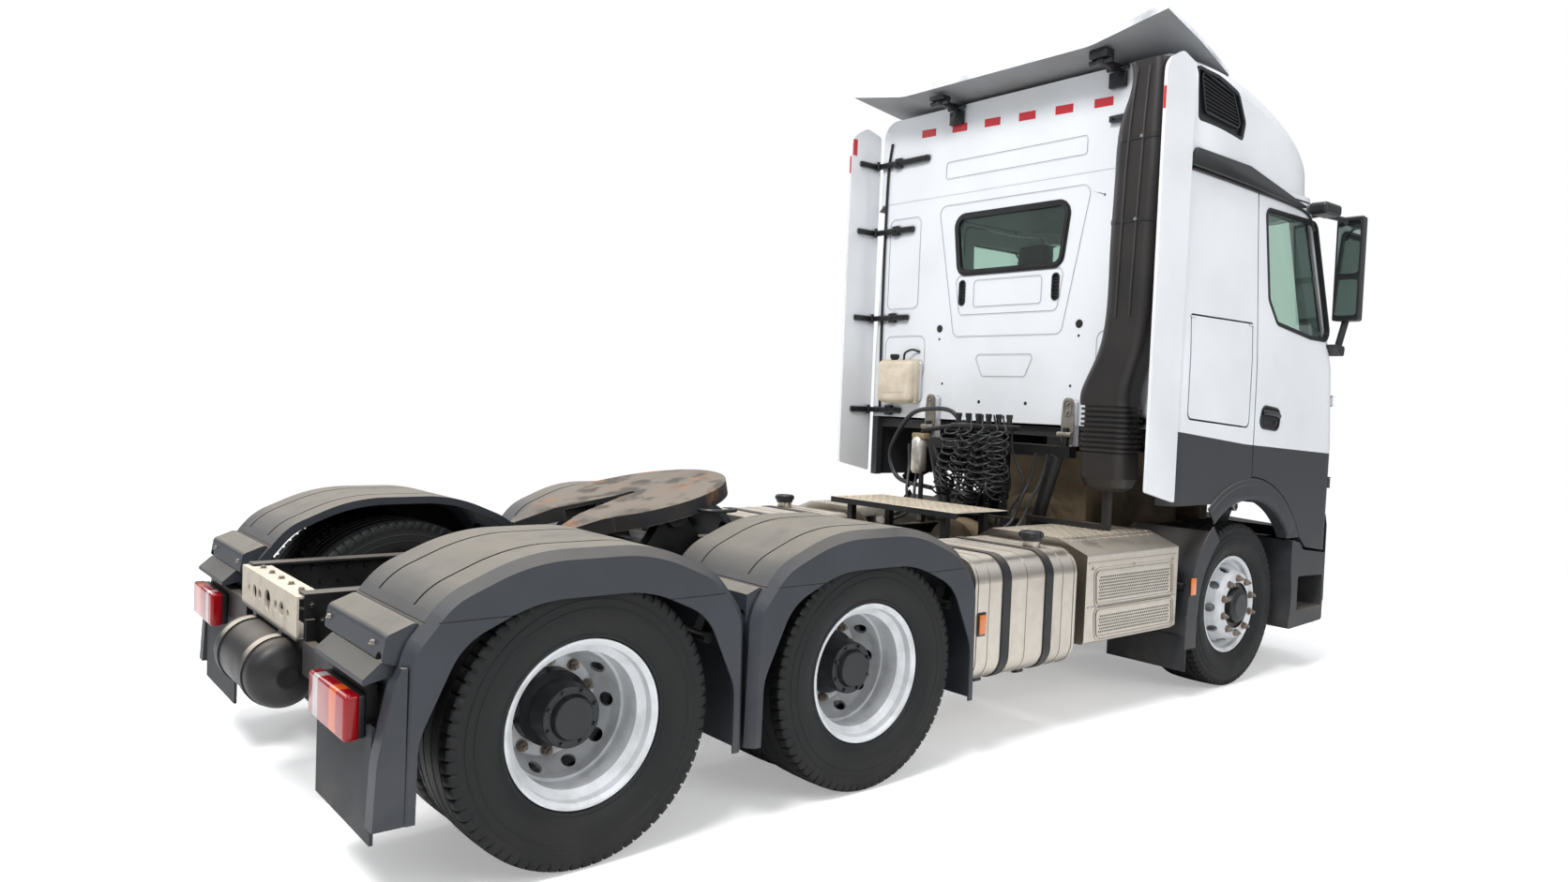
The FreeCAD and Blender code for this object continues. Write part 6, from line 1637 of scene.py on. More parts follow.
    def bottle(self) -> None:
        """Fluid bottle over its solid, with a welded seam, strap and screw cap."""
        shape = Shape("fluid_bottle")
        low = spot(*self.bottle_low)
        high = spot(*self.bottle_high)
        shape.block(low, high, RESERVOIR, 0.034, 5)
        seam_x = (low.x + high.x) / 2
        shape.block(Vector((seam_x - 0.004, low.y - 0.005, low.z - 0.005)),
                    Vector((seam_x + 0.004, high.y + 0.005, high.z + 0.005)), RESERVOIR, 0.0035, 1)
        shape.block(low + Vector((-0.004, 0.05, 0.06)), Vector((low.x + 0.02, high.y - 0.05, high.z - 0.06)),
                    RESERVOIR, 0.012, 3)
        middle_y = (low.y + high.y) / 2
        shape.turned([(0, 0), (0, 0.026), (0.012, 0.026), (0.014, 0.033), (0.038, 0.033), (0.042, 0.028), (0.042, 0)],
                     Vector((seam_x, middle_y + 0.05, high.z)), UP, SEAL_RUBBER, 24)
        shape.tube([Vector((seam_x, middle_y - 0.04, high.z - 0.004)), Vector((seam_x, middle_y - 0.05, high.z + 0.05)),
                    Vector((seam_x + 0.03, middle_y - 0.09, high.z + 0.075)),
                    Vector((spot(self.wall_x, 0, 0).x - 0.003, middle_y - 0.13, high.z + 0.06))], 0.008, HOSE)
        shape.piece(Body.CAB, Slot.TANK)

    def latches(self) -> None:
        """Cab latches: grey pressed plates with two bolts in a raised oval each."""
        shape = Shape("cab_latches")
        places = []
        for side, _ in SIDES:
            y = side * self.latch_y
            plate = Outline(((y - 0.040, 1.470, 0.015), (y + 0.040, 1.470, 0.015), (y + 0.046, 1.600, 0.030),
                             (y + 0.036, 1.742, 0.030), (y - 0.036, 1.742, 0.030), (y - 0.046, 1.600, 0.030)))
            shape.prism(plate.points(on_end(3.574)), REARWARD * 0.010, LATCH, 0.002)
            oval = box_outline(y - 0.030, 1.630, y + 0.030, 1.730, 0.028)
            shape.rim(oval, on_end(3.564), 0.0, -0.007, REARWARD * 0.006, LATCH)
            places += [(spot(3.564, y, z), facing(REARWARD)) for z in (1.655, 1.705)]
            shape.rod(spot(3.545, y - 0.05, 1.520), spot(3.545, y + 0.05, 1.520), 0.016, LATCH)
            shape.rod(spot(3.556, y, 1.440), spot(3.556, y, 1.560), 0.020, CHASSIS)
        shape.piece(Body.CAB, Slot.CAST)
        scatter("latch_bolts", hex_bolt("latch_bolt", 0.017, 0.012, ZINC), places, ZINC, Body.CAB, Slot.STEEL)

    def brackets(self) -> None:
        """Black hinge straps that hold the side deflectors to the wall."""
        shape = Shape("deflector_brackets")
        places = []
        for side, _ in SIDES:
            for height, inner in zip(self.bracket_heights, self.bracket_inner):
                for x, y, half, edge in (((3.598, 3.6285), (inner, 1.226), 0.0185, 0.004),
                                         ((3.434, 3.624), (1.207, 1.2245), 0.0185, 0.004),
                                         ((3.5985, 3.6280), (0.98, 1.04), 0.034, 0.005)):
                    shape.slab(side, x, y, (height - half, height + half), BLACK_ABS, edge)
                pin = spot(3.592, side * 1.195, height)
                shape.rod(pin - UP * 0.032, pin + UP * 0.032, 0.011, BLACK_ABS)
                for y in (inner + 0.025, 1.01, 1.12):
                    places.append((spot(3.598, side * y, height), facing(REARWARD)))
        shape.piece(Body.CAB, Slot.PLASTIC)
        bolt = hex_bolt("bracket_bolt", 0.013, 0.009, BLACK_ABS)
        scatter("bracket_bolts", bolt, places, BLACK_ABS, Body.CAB, Slot.PLASTIC)

    def harness(self) -> None:
        """Clipped cable down the left of the wall and sealant along the roof seam."""
        shape = Shape("wall_harness")
        x = self.wall_x - 0.010
        for side, _ in SIDES:
            shape.tube([spot(x, side * 1.090, 3.530), spot(x, side * 1.120, 3.30), spot(x, side * 1.128, 2.70),
                        spot(x, side * 1.122, 2.10), spot(x, side * 1.110, 1.640)], 0.009, HOSE, 8)
        shape.piece(Body.CAB, Slot.RUBBER)
        seam = Shape("roof_seam")
        seam.block(spot(self.wall_x - 0.003, -1.105, 3.0965), spot(self.wall_x + 0.002, 1.105, 3.1035), LACQUER, 0.001)
        seam.piece(Body.CAB, Slot.PAINT)


@dataclass
class RoofFittings:
    """Side vents, drip strips and the hinge brackets of the roof deflector."""

    vent: Outline = Outline(((3.735, 3.318, 0.030), (4.262, 3.296, 0.040), (4.290, 3.410, 0.060),
                             (4.196, 3.566, 0.060), (3.960, 3.618, 0.100), (3.723, 3.630, 0.030)))
    mesh_corners: tuple[Span, ...] = ((3.850, 3.395), (4.235, 3.372), (4.140, 3.545), (3.790, 3.602))
    recess_y: float = 1.166
    louvres: int = 9
    louvre_half: float = 0.0045
    strip: tuple[Span, ...] = ((3.651, 3.063), (4.298, 3.047), (5.038, 3.013), (5.040, 3.026),
                                              (4.315, 3.156), (3.721, 3.161))
    gutter: tuple[Point, ...] = ((3.720, 1.199, 3.052), (4.310, 1.199, 3.040), (5.060, 1.199, 3.006),
                                 (5.240, 1.196, 2.900))
    bracket_y: tuple[float, ...] = (0.480, -0.760)

    def build(self) -> None:
        """Make both sides and the brackets."""
        for side, word in SIDES:
            self.vent_grille(side, word)
        self.strips()
        self.brackets()

    def vent_grille(self, side: int, word: str) -> None:
        """Black surround standing proud of the roof side, with slanted louvres over mesh.

        Args:
            side: 1 for the left, -1 for the right.
            word: Name of that side.
        """
        shape = Shape("roof_vent_" + word)
        mesh = Outline(tuple((x, z, 0.020) for x, z in self.mesh_corners), 5)
        # Near-black back of the vent recess: painted shade.
        shape.prism(self.vent.grown(-0.002).points(on_side(side * self.recess_y)),
                    Vector((0, side * 0.003, 0)), RECESS_BLACK_AND_SHADE)
        shape.rim(self.vent, on_side(side * 1.170), -0.003, -0.022, Vector((0, side * 0.028, 0)),
                  BLACK_ABS)
        low_left, low_right, high_right, high_left = [Vector(corner) for corner in self.mesh_corners]
        panel = self.vent.grown(-0.024)
        shape.prism(panel.points(on_side(side * 1.1695)), Vector((0, side * 0.004, 0)), BLACK_ABS)
        shape.rim(mesh, on_side(side * 1.173), 0.012, 0.0, Vector((0, side * 0.018, 0)), BLACK_ABS)
        # Mesh behind the louvres in near black: black metal and painted shade.
        shape.prism(mesh.points(on_side(side * 1.1736)), Vector((0, side * 0.001, 0)), RECESS_BLACK_AND_SHADE)
        for index in range(self.louvres):
            share = (index + 0.5) / self.louvres
            start = low_left.lerp(high_left, share)
            end = low_right.lerp(high_right, share)
            outline = [spot(start.x, side * y, start.y + self.louvre_half * drop)
                       for y, drop in ((1.174, -1), (1.174, 1), (1.188, -1.6), (1.188, -3))]
            shape.prism(outline, Vector((end.x - start.x, 0, end.y - start.y)), BLACK_ABS)
        shape.piece(Body.CAB, Slot.PLASTIC)

    def strips(self) -> None:
        """Black drip strips over the doors, from the rear corner to the screen pillar."""
        shape = Shape("drip_strips")
        for side, _ in SIDES:
            outline = [spot(x, side * 1.180, z) for x, z in self.strip]
            shape.prism(outline, Vector((0, side * 0.052, 0)), BLACK_ABS, 0.003)
            shape.tube([spot(x, side * y, z) for x, y, z in self.gutter], 0.008, SEAL_RUBBER, 8)
        shape.piece(Body.CAB, Slot.RUBBER)

    def brackets(self) -> None:
        """Black hinged stays between the rear of the roof and its deflector."""
        shape = Shape("roof_deflector_stays")
        for y in self.bracket_y:
            rise = 0.05 * (abs(y) / 0.9) ** 2
            for x, half, z, edge in (((3.598, 3.6295), 0.055, (3.560, 3.650), 0.006),
                                     ((3.420, 3.622), 0.022, (3.655, 3.690), 0.006),
                                     ((3.400, 3.480), 0.060, (3.685, 3.699 + rise), 0.006),
                                     ((3.596, 3.6270), 0.020, (3.600, 3.690), 0.005)):
                shape.slab(1, x, (y - half, y + half), z, BLACK_ABS, edge)
            for x, half in ((3.440, 0.075), (3.606, 0.070)):
                shape.rod(spot(x, y - half, 3.672), spot(x, y + half, 3.672), 0.014, BLACK_ABS)
        shape.piece(Body.CAB, Slot.PLASTIC)


@dataclass
class DoorFittings:
    """Window seal, pull handle and mirror glass of one door."""

    window: Outline = Outline(((4.600, 2.945, 0.040), (5.262, 2.945, 0.060), (5.478, 2.200, 0.060),
                               (5.200, 2.205, 0.100), (4.760, 2.262, 0.050), (4.650, 2.400, 0.060)))
    handle: Outline = Outline(((4.570, 1.610, 0.045), (4.815, 1.592, 0.045), (4.835, 1.722, 0.050),
                               (4.610, 1.742, 0.050)))
    mirror_x: float = 5.482
    panes: tuple[Span, ...] = ((2.640, 2.985), (2.365, 2.600))
    pane_y: Span = (1.245, 1.385)
    pane_depth: float = 0.003
    axle_z: float = 0.508
    lip_y: float = 1.2335
    lip_angles: tuple[int, int, int] = (20, 130, 3)
    lip_bands: tuple[Point, ...] = ((0.662, 0.782, 0.0095), (0.672, 0.752, 0.0130))
    lip_tested: Span = (0.668, 0.775)

    def build(self) -> None:
        """Dress both doors."""
        for side, door, word in ((1, Body.DOOR_LEFT, "left"), (-1, Body.DOOR_RIGHT, "right")):
            self.arch_lip(side, word)
            self.seal(side, door)
            self.grip(side, door)
            self.mirror(side, door)

    def face(self, side: int, proud: float) -> Place:
        """Places on the door's outer face, this far out."""
        return lambda x, z: spot(x, side * (side_face(z) + proud), z)

    def seal(self, side: int, door: Body) -> None:
        """Rubber frame round the side window and its waist strip.

        Args:
            side: 1 for the left, -1 for the right.
            door: Body of the door.
        """
        shape = Shape(door.value + "_window_seal")
        for proud, outer, inner, thickness in ((-0.004, 0.016, -0.004, 0.008), (-0.022, -0.0008, -0.012, 0.018)):
            shape.rim(self.window, self.face(side, proud), outer, inner, Vector((0, side * thickness, 0)), SEAL_RUBBER)
        shape.piece(door, Slot.RUBBER)

    def grip(self, side: int, door: Body) -> None:
        """Pull handle: a recessed dark bowl, its floor in painted shade, under a body-coloured lever.

        Args:
            side: 1 for the left, -1 for the right.
            door: Body of the door.
        """
        shape = Shape(door.value + "_handle")
        shape.rim(self.handle, self.face(side, -0.002), 0.006, -0.006, Vector((0, side * 0.007, 0)), BLACK_ABS)
        # Floor of the bowl in near black: painted shade in the recess.
        shape.prism(self.handle.points(self.face(side, -0.003)), Vector((0, side * 0.004, 0)), RECESS_BLACK_AND_SHADE)
        lever = [spot(4.605, side * 1.238, 1.700), spot(4.640, side * 1.246, 1.702), spot(4.760, side * 1.246, 1.692),
                 spot(4.815, side * 1.238, 1.682)]
        shape.tube(lever, 0.016, BLACK_ABS, 12)
        shape.turned([(-0.003, 0), (-0.003, 0.012), (0.006, 0.012), (0.008, 0.009), (0.008, 0)],
                     spot(4.770, side * 1.236, 1.640), Vector((0, side, 0)), BLACK_ABS, 16)
        shape.piece(door, Slot.PLASTIC)

    def arch_place(self, side: int, radius: float, angle: float, y: float) -> Vector:
        """Place round the front wheel, at a distance and an angle in degrees."""
        turn = math.radians(angle)
        return Vector((FRONT_AXLE_X + radius * math.cos(turn), side * y, self.axle_z + radius * math.sin(turn)))

    def arch_lip(self, side: int, word: str) -> None:
        """Add the raised band round the wheel arch, below the door.

        Args:
            side: 1 for the left, -1 for the right.
            word: Name of that side.
        """
        shape = Shape("arch_lip_" + word)
        for inner, outer, proud in self.lip_bands:
            turns = [angle for angle in range(*self.lip_angles) if angle > 90 or self.carried(side, word, angle)]
            outline = [self.arch_place(side, radius, angle, self.lip_y) for radius, angles in (
                (outer, turns), (inner, reversed(turns))) for angle in angles]
            shape.prism(outline, Vector((0, side * proud, 0)), CLADDING, 0.003)
        shape.piece(Body.CAB, Slot.PLASTIC)

    def carried(self, side: int, word: str, angle: float) -> bool:
        """Whether the cab side lies behind the lip at this angle."""
        return all(land("cab_side_" + word, self.arch_place(side, radius, angle, 1.5), Vector((0, -side, 0)))
                   is not None for radius in self.lip_tested)

    def mirror(self, side: int, door: Body) -> None:
        """Two panes of mirror glass in their frames.

        Args:
            side: 1 for the left, -1 for the right.
            door: Body of the door.
        """
        shape = Shape(door.value + "_mirror_glass")
        low_y, high_y = sorted((side * self.pane_y[0], side * self.pane_y[1]))
        behind = on_end(self.mirror_x)
        for low_z, high_z in self.panes:
            pane = box_outline(low_y, low_z, high_y, high_z, 0.022)
            shape.prism(pane.points(behind), REARWARD * self.pane_depth, MIRROR_GLASS)
            shape.rim(pane, behind, 0.009, 0.0002, REARWARD * self.pane_depth * 2, BLACK_ABS)
        shape.piece(door, Slot.GLASS)


@dataclass
class Intake:
    """Grooves and clamps of the air intake duct."""

    rear_x: float = 3.375
    stations: tuple[Point, ...] = ((2.200, -1.161, -0.890), (2.600, -1.175, -0.896),
                                                        (3.000, -1.192, -0.905), (3.300, -1.196, -0.930),
                                                        (3.560, -1.200, -0.970))
    groove_shares: tuple[float, ...] = (0.34, 0.66)
    clamp_heights: Span = (2.730, 3.180)

    def width_at(self, z: float) -> Span:
        """Sides of the duct at a height.

        Args:
            z: Height above the ground.

        Returns:
            Near and far side along Y.
        """
        for (low, low_a, low_b), (high, high_a, high_b) in zip(self.stations, self.stations[1:]):
            if low <= z <= high:
                share = (z - low) / (high - low)
                return low_a + share * (high_a - low_a), low_b + share * (high_b - low_b)
        return self.stations[0][1], self.stations[0][2]

    def build(self) -> None:
        """Make the grooves and clamps."""
        shape = Shape("intake_ribs")
        for share in self.groove_shares:
            route = []
            for z, near, far in self.stations:
                route.append(spot(self.rear_x - 0.001, near + share * (far - near), z))
            shape.tube(route, 0.007, DUCT, 8)
        for z in self.clamp_heights:
            near, far = self.width_at(z)
            band = box_outline(3.375 - 0.004, near - 0.004, 3.585 + 0.004, far + 0.004, 0.062)
            shape.rim(band, on_level(z - 0.012), 0.0, -0.007, UP * 0.024, BLACK_ABS)
            shape.rod(spot(3.380, near + 0.10, z), spot(3.362, near + 0.10, z), 0.010, ZINC, sides=12)
        shape.piece(Body.CAB, Slot.PLASTIC)


# Anodised plate with raised bosses on decks and box lids, worn bright on the crests
TREAD = Finish("worn_tread_plate", "#C9BFAE", 0.42, 0.6, layers=(
    Patches("#A89C88", 0.06, 0.35, 0.7, 0.7), Settled("#D8CCB8", 0.4)))
# Dark discs that stand for the holes of perforated sheet: painted shade, a step deeper than the box
HOLE_SHADE = Finish("perforation_shade", "#2A2825", 0.8, layers=(Patches("#3A3733", 0.02, 0.4, 0.7, 0.6),))
# Galvanised canister of the air drier, streaked
CANISTER = Finish("galvanised_canister", "#C7C4BC", 0.35, 0.8, layers=(
    Patches("#8E887C", 0.05, 0.4, 0.7, 0.7, roughness=0.6), Splashed("#5B5247", 1.3, 0.3)))
# Polyurethane of coiled air lines, black with a waxy shine
COIL_LINE = Finish("coiled_polyurethane_line", "#101113", 0.32, layers=(
    Patches("#232427", 0.05, 0.4, 0.7, 0.6, roughness=0.5),))
# Woven seat cover, darker in the folds
SEAT_COVER = Finish("woven_seat_cover", "#3A3D42", 0.9, layers=(
    Brushed((1, 60, 1), 0.03, 0.0003, "#26282C", 0.5), Patches("#474A50", 0.1, 0.3, 0.7, 0.5)),
    fixed=(("Sheen Weight", 0.35),))


def land(node: str, start: Vector, way: Vector) -> Optional[Vector]:
    """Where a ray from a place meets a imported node, or None where it misses."""
    hit, point, _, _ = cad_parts[node].ray_cast(start, way)
    return point if hit else None


def fasten(name: str, node: str, starts: Sequence[Vector], way: Vector, across: float, finish: Finish,
           body: Body, slot: Slot) -> None:
    """Set hexagon bolts where rays meet a node, facing back along them.

    Args:
        name: Name of the piece.
        node: Node that carries the bolts.
        starts: Where the rays start.
        way: Direction of the rays.
        across: Width of a head across flats.
        finish: Finish of the bolts.
        body: Body that they move with.
        slot: Material slot of the record.
    """
    places = []
    for start in starts:
        point = land(node, start, way)
        if point is not None:
            places.append((point, facing(-way)))
    if places:
        scatter(name, hex_bolt(name, across, across * 0.65, finish), places, finish, body, slot)


def ring_along_x(shape: Shape, outline: Outline, x: float, width: float, proud: float, finish: Finish) -> None:
    """Band round a section in Y and Z, this proud of it.

    Args:
        shape: Piece that takes the band.
        outline: The section.
        x: Rear edge of the band.
        width: Its width.
        proud: How far it stands out.
        finish: Finish of the band.
    """
    shape.rim(outline, on_end(x), proud, -0.002, Vector((width, 0, 0)), finish)


@dataclass
class SideGear:
    """Fuel tanks, ribbed boxes, tread plates and marker lamps along the chassis."""

    tank_x: Span = (2.038, 2.829)
    tank_y: Span = (0.520, 1.195)
    tank_z: Span = (0.350, 0.950)
    corner: float = 0.120
    strap_x: tuple[float, ...] = (2.268, 2.598)
    rib_x: tuple[float, ...] = (2.150, 2.433, 2.720)
    neck: Point = (2.679, 1.010, 1.002)
    face_y: float = 1.200
    bands: tuple[tuple[float, float, float, float], ...] = ((3.018, 0.665, 3.722, 0.812),
                                                            (3.030, 0.490, 3.736, 0.606))
    hole_pitch: float = 0.0165
    rivet_x: Point = (2.960, 3.340, 3.730)

    def build(self) -> None:
        """Make both sides."""
        for side, word in SIDES:
            self.tank(side, word)
            self.box(side, word)
        self.treads()
        self.markers()

    def tank(self, side: int, word: str) -> None:
        """Pressed ribs, end seams, filler cap and strap bolts.

        Args:
            side: 1 for the left, -1 for the right.
            word: Name of that side.
        """
        shape = Shape("tank_ribs_" + word)
        low, high = sorted((side * self.tank_y[0], side * self.tank_y[1]))
        section = box_outline(low, self.tank_z[0], high, self.tank_z[1], self.corner)
        section = Outline(section.corners, 8)
        for x in self.rib_x:
            ring_along_x(shape, section, x - 0.010, 0.020, 0.0022, TANK)
        for x in (self.tank_x[0] + 0.020, self.tank_x[1] - 0.024):
            ring_along_x(shape, section, x, 0.004, 0.003, TANK)
        shape.piece(Body.CHASSIS, Slot.TANK)
        straps = Shape("tank_strap_pads_" + word)
        for x in self.strap_x:
            ring_along_x(straps, section, x - 0.031, 0.062, 0.0044, SEAL_RUBBER)
            straps.rod(spot(x, side * 1.000, 0.300), spot(x, side * 1.000, 0.352), 0.011, BLACK_ABS)
            straps.slab(side, (x - 0.026, x + 0.026), (0.965, 1.035), (0.318, 0.345), BLACK_ABS, 0.004)
        straps.piece(Body.CHASSIS, Slot.RUBBER)
        cap = Shape("filler_cap_" + word)
        x, y, z = self.neck
        cap.turned([(-0.012, 0.047), (-0.012, 0.053), (0.004, 0.056), (0.006, 0.060), (0.030, 0.060), (0.036, 0.054),
                    (0.038, 0.030), (0.034, 0.026), (0.034, 0)], spot(x, side * y, z - 0.006), UP,
                   BLACK_ABS, 32)
        for index in range(12):
            angle = index * math.tau / 12
            place = spot(x + 0.0605 * math.cos(angle), side * y + 0.0605 * math.sin(angle), z + 0.002)
            cap.rod(place, place + UP * 0.020, 0.004, BLACK_ABS, sides=6)
        cap.piece(Body.CHASSIS, Slot.PLASTIC)

    def box(self, side: int, word: str) -> None:
        """Perforated bands in raised frames, and the fold under the lid.

        Args:
            side: 1 for the left, -1 for the right.
            word: Name of that side.
        """
        shape = Shape("box_frames_" + word)
        places = []
        out = Vector((0, side, 0))
        for low_x, low_z, high_x, high_z in self.bands:
            frame = Outline(((low_x, low_z, 0.012), (high_x, low_z, 0.012), (high_x - 0.012, high_z, 0.012),
                             (low_x - 0.012, high_z, 0.012)))
            for grow, proud in ((0.016, 0.005), (0.034, 0.003)):
                shape.rim(frame, on_side(side * (self.face_y - 0.002)), grow, grow - 0.007,
                          out * (0.002 + proud), TANK)
            columns = int((high_x - low_x - 0.02) / self.hole_pitch)
            rows = int((high_z - low_z - 0.01) / self.hole_pitch)
            for column in range(columns):
                for row in range(rows):
                    x = low_x + 0.010 + (column + 0.5 * (row % 2)) * self.hole_pitch
                    places.append((spot(x, side * (self.face_y + 0.0004), low_z + 0.012 + row * self.hole_pitch),
                                   facing(out)))
        shape.tube([spot(2.925, side * self.face_y, 0.874), spot(3.770, side * self.face_y, 0.874)], 0.005, TANK, 8)
        shape.tube([spot(2.925, side * self.face_y, 0.640), spot(3.770, side * self.face_y, 0.640)], 0.004, TANK, 8)
        for x in self.rivet_x:
            shape.turned([(0, 0), (0, 0.010), (0.004, 0.009), (0.005, 0)], spot(x, side * self.face_y, 0.845), out,
                         ZINC, 16)
        shape.piece(Body.CHASSIS, Slot.TANK)
        # Each perforation is a flat dark disc: painted shade where a hole would be.
        hole = Shape("box_hole_" + word)
        hole.turned([(0, 0), (0, 0.0054), (0.0002, 0.0052), (0.0002, 0)], Vector(), UP, HOLE_SHADE, 8)
        scatter("box_perforation_" + word, hole, places, HOLE_SHADE, Body.CHASSIS, Slot.TANK)

    def treads(self) -> None:
        """Raised bosses of the deck and of the box lids."""
        down = -UP
        boss = Shape("tread_boss")
        boss.prism(Outline(((-0.013, -0.004, 0.0038), (0.013, -0.004, 0.0038), (0.013, 0.004, 0.0038),
                            (-0.013, 0.004, 0.0038)), 3).points(lambda u, v: Vector((u, v, -0.001))),
                   UP * 0.0035, TREAD)
        places = []
        spans = [("side_boxes", (2.930, 3.765), (side * 0.875 - 0.30, side * 0.875 + 0.30), 0.036) for side in (1, -1)]
        spans.append(("deck_plate", (2.665, 3.090), (-0.505, 0.505), 0.030))
        for node, (low_x, high_x), (low_y, high_y), pitch in spans:
            for column in range(int((high_x - low_x) / pitch)):
                for row in range(int((high_y - low_y) / pitch)):
                    x, y = low_x + (column + 0.5) * pitch, low_y + (row + 0.5) * pitch
                    point = land(node, spot(x, y, 1.30), down)
                    if point is not None and point.z > 0.97:
                        spin = math.radians(45 if (column + row) % 2 else -45)
                        places.append((point, facing(UP, spin)))
        scatter("tread_bosses", boss, places, TREAD, Body.CHASSIS, Slot.TANK)

    def markers(self) -> None:
        """Amber marker lamps on both sides."""
        for side, word in SIDES:
            lamps = Shape("side_markers_" + word)
            for node_y, centre_x, centre_z, half_x, half_z in ((1.237, 3.895, 0.680, 0.024, 0.050),
                                                             (1.1975, 2.088, 0.640, 0.024, 0.046)):
                for wider, taller, y, finish, edge, steps in (
                        (0.006, 0.010, (node_y - 0.004, node_y + 0.003), BLACK_ABS, 0.003, 2),
                        (0.0, 0.0, (node_y + 0.001, node_y + 0.0125), AMBER, 0.005, 3)):
                    lamps.slab(side, (centre_x - half_x - wider, centre_x + half_x + wider), y,
                               (centre_z - half_z - taller, centre_z + half_z + taller), finish, edge, steps)
            lamps.piece(Body.CHASSIS, Slot.LAMP)


@dataclass
class FrameDetails:
    """Bolts on rails, fenders, coupling and crossmembers, and the coupling's release handle."""

    row_heights: tuple[float, ...] = (0.850, 0.790, 0.730)
    rail_span: Span = (-0.690, 3.300)
    pitch: float = 0.076

    def build(self) -> None:
        """Make every group of fasteners."""
        inner, outer = [], []
        for side, _ in SIDES:
            for row, z in enumerate(self.row_heights):
                x = self.rail_span[0] + (row % 2) * self.pitch / 2
                while x < self.rail_span[1]:
                    if int(x / 0.45) % 3 != 1:
                        inner.append((side, spot(x, side * 0.345, z)))
                        outer.append((side, spot(x, side * 0.470, z)))
                    x += self.pitch
        for side, word in SIDES:
            for name, rays, way in (("web_bolts_inner_", inner, Vector((0, side, 0))),
                                    ("web_bolts_outer_", outer, Vector((0, -side, 0)))):
                fasten(name + word, "frame_rails", [start for mark, start in rays if mark == side], way, 0.019,
                       CHASSIS, Body.CHASSIS, Slot.CHASSIS)
        down = -UP
        starts = [spot(-0.700, side * y, 1.25) for side in (1, -1) for y in (0.665, 1.110)]
        for side, node in ((1, "fenders_left"), (-1, "fenders_right")):
            fasten(node + "_bolts", node, [start for start in starts if start.y * side > 0], down, 0.020, LATCH,
                   Body.CHASSIS, Slot.STEEL)
        base = [spot(0.895 + shift, side * 0.425, 1.10) for side in (1, -1)
                for shift in (-0.38, -0.30, -0.22, 0.22, 0.30, 0.38)]
        fasten("coupling_base_bolts", "fifth_wheel_base", base, down, 0.024, ZINC, Body.CHASSIS, Slot.STEEL)
        across = [spot(x, y, 1.05) for x in (-0.690, -0.560) for y in (-0.28, -0.14, 0.0, 0.14, 0.28)]
        fasten("crossmember_bolts", "crossmembers", across, down, 0.018, RUSTY_STEEL, Body.CHASSIS, Slot.STEEL)
        self.handle()

    def handle(self) -> None:
        """Release handle of the coupling, bent out to the right."""
        shape = Shape("release_handle")
        shape.tube([spot(0.960, -0.330, 1.150), spot(0.960, -0.450, 1.145), spot(1.000, -0.520, 1.143),
                    spot(1.080, -0.535, 1.143), spot(1.130, -0.515, 1.143)], 0.009, BLACK_ABS, 10)
        shape.piece(Body.COUPLING, Slot.CAST)


@dataclass
class CoiledLine:
    """One coiled air line between two sockets behind the cab."""

    name: str
    start: Point
    sag: Point
    end: Point
    turns: int
    radius: float = 0.062
    line: float = 0.0125
    per_turn: int = 12
    axis_steps: int = 40
    tail: float = 0.045
    taper: float = 0.6
    unevenness: float = 0.30
    lean: float = 0.35

    def wound(self) -> list[Vector]:
        """Points of the line: a tail out of each socket and turns that hang behind it."""
        start, sag, end = (spot(*place) for place in (self.start, self.sag, self.end))
        aside = Vector((-self.radius * self.taper, 0, -self.tail))
        axis = smooth_route([start + aside, sag, end + aside], self.axis_steps)
        count = self.turns * self.per_turn
        last = len(axis) - 1
        up = Vector((0, 0, self.tail))
        points = [start + up, start + up * 0.45]
        for index in range(1, count):
            share = index / count
            along = share * last
            low = min(int(along), last - 1)
            here = axis[low].lerp(axis[low + 1], along - low)
            way = (axis[min(int(along) + 1, last)] - axis[max(int(along) - 1, 0)]).normalized()
            across = way.cross(Vector((1, 0, 0))).normalized()
            angle = (index / self.per_turn - 0.25) * math.tau
            uneven = 1 + self.unevenness * math.sin(index / self.per_turn * 1.7 + self.radius * 90) * math.cos(
                index * 0.021)
            spread = self.radius * uneven * min(1.0, 8 * share + self.taper, 8 * (1 - share) + self.taper)
            lean = way * self.lean * self.radius * math.sin(angle + index * 0.013)
            points.append(here + (across * math.cos(angle) + way.cross(across) * math.sin(angle)) * spread + lean)
        return points + [end + up * 0.45, end + up]

    def build(self) -> None:
        points = self.wound()
        data = bpy.data.curves.new(self.name, "CURVE")
        data.dimensions = "3D"
        spline = data.splines.new("NURBS")
        spline.points.add(len(points) - 1)
        for point, place in zip(spline.points, points):
            point.co = (*place, 1.0)
        spline.order_u = 3
        spline.use_endpoint_u = True
        spline.resolution_u = 2
        bare = placed(self.name + "_bare", data)
        route = [vertex.co.copy() for vertex in bpy.data.meshes.new_from_object(
            bare.evaluated_get(bpy.context.evaluated_depsgraph_get())).vertices]
        bpy.data.objects.remove(bare)
        length = sum((after - before).length for before, after in zip(route, route[1:]))
        data.bevel_depth = self.line / 2
        data.bevel_resolution = 2
        data.materials.append(COIL_LINE.material())
        made = placed(self.name, data)
        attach(made, Body.CHASSIS.value)
        tuple(points[0])


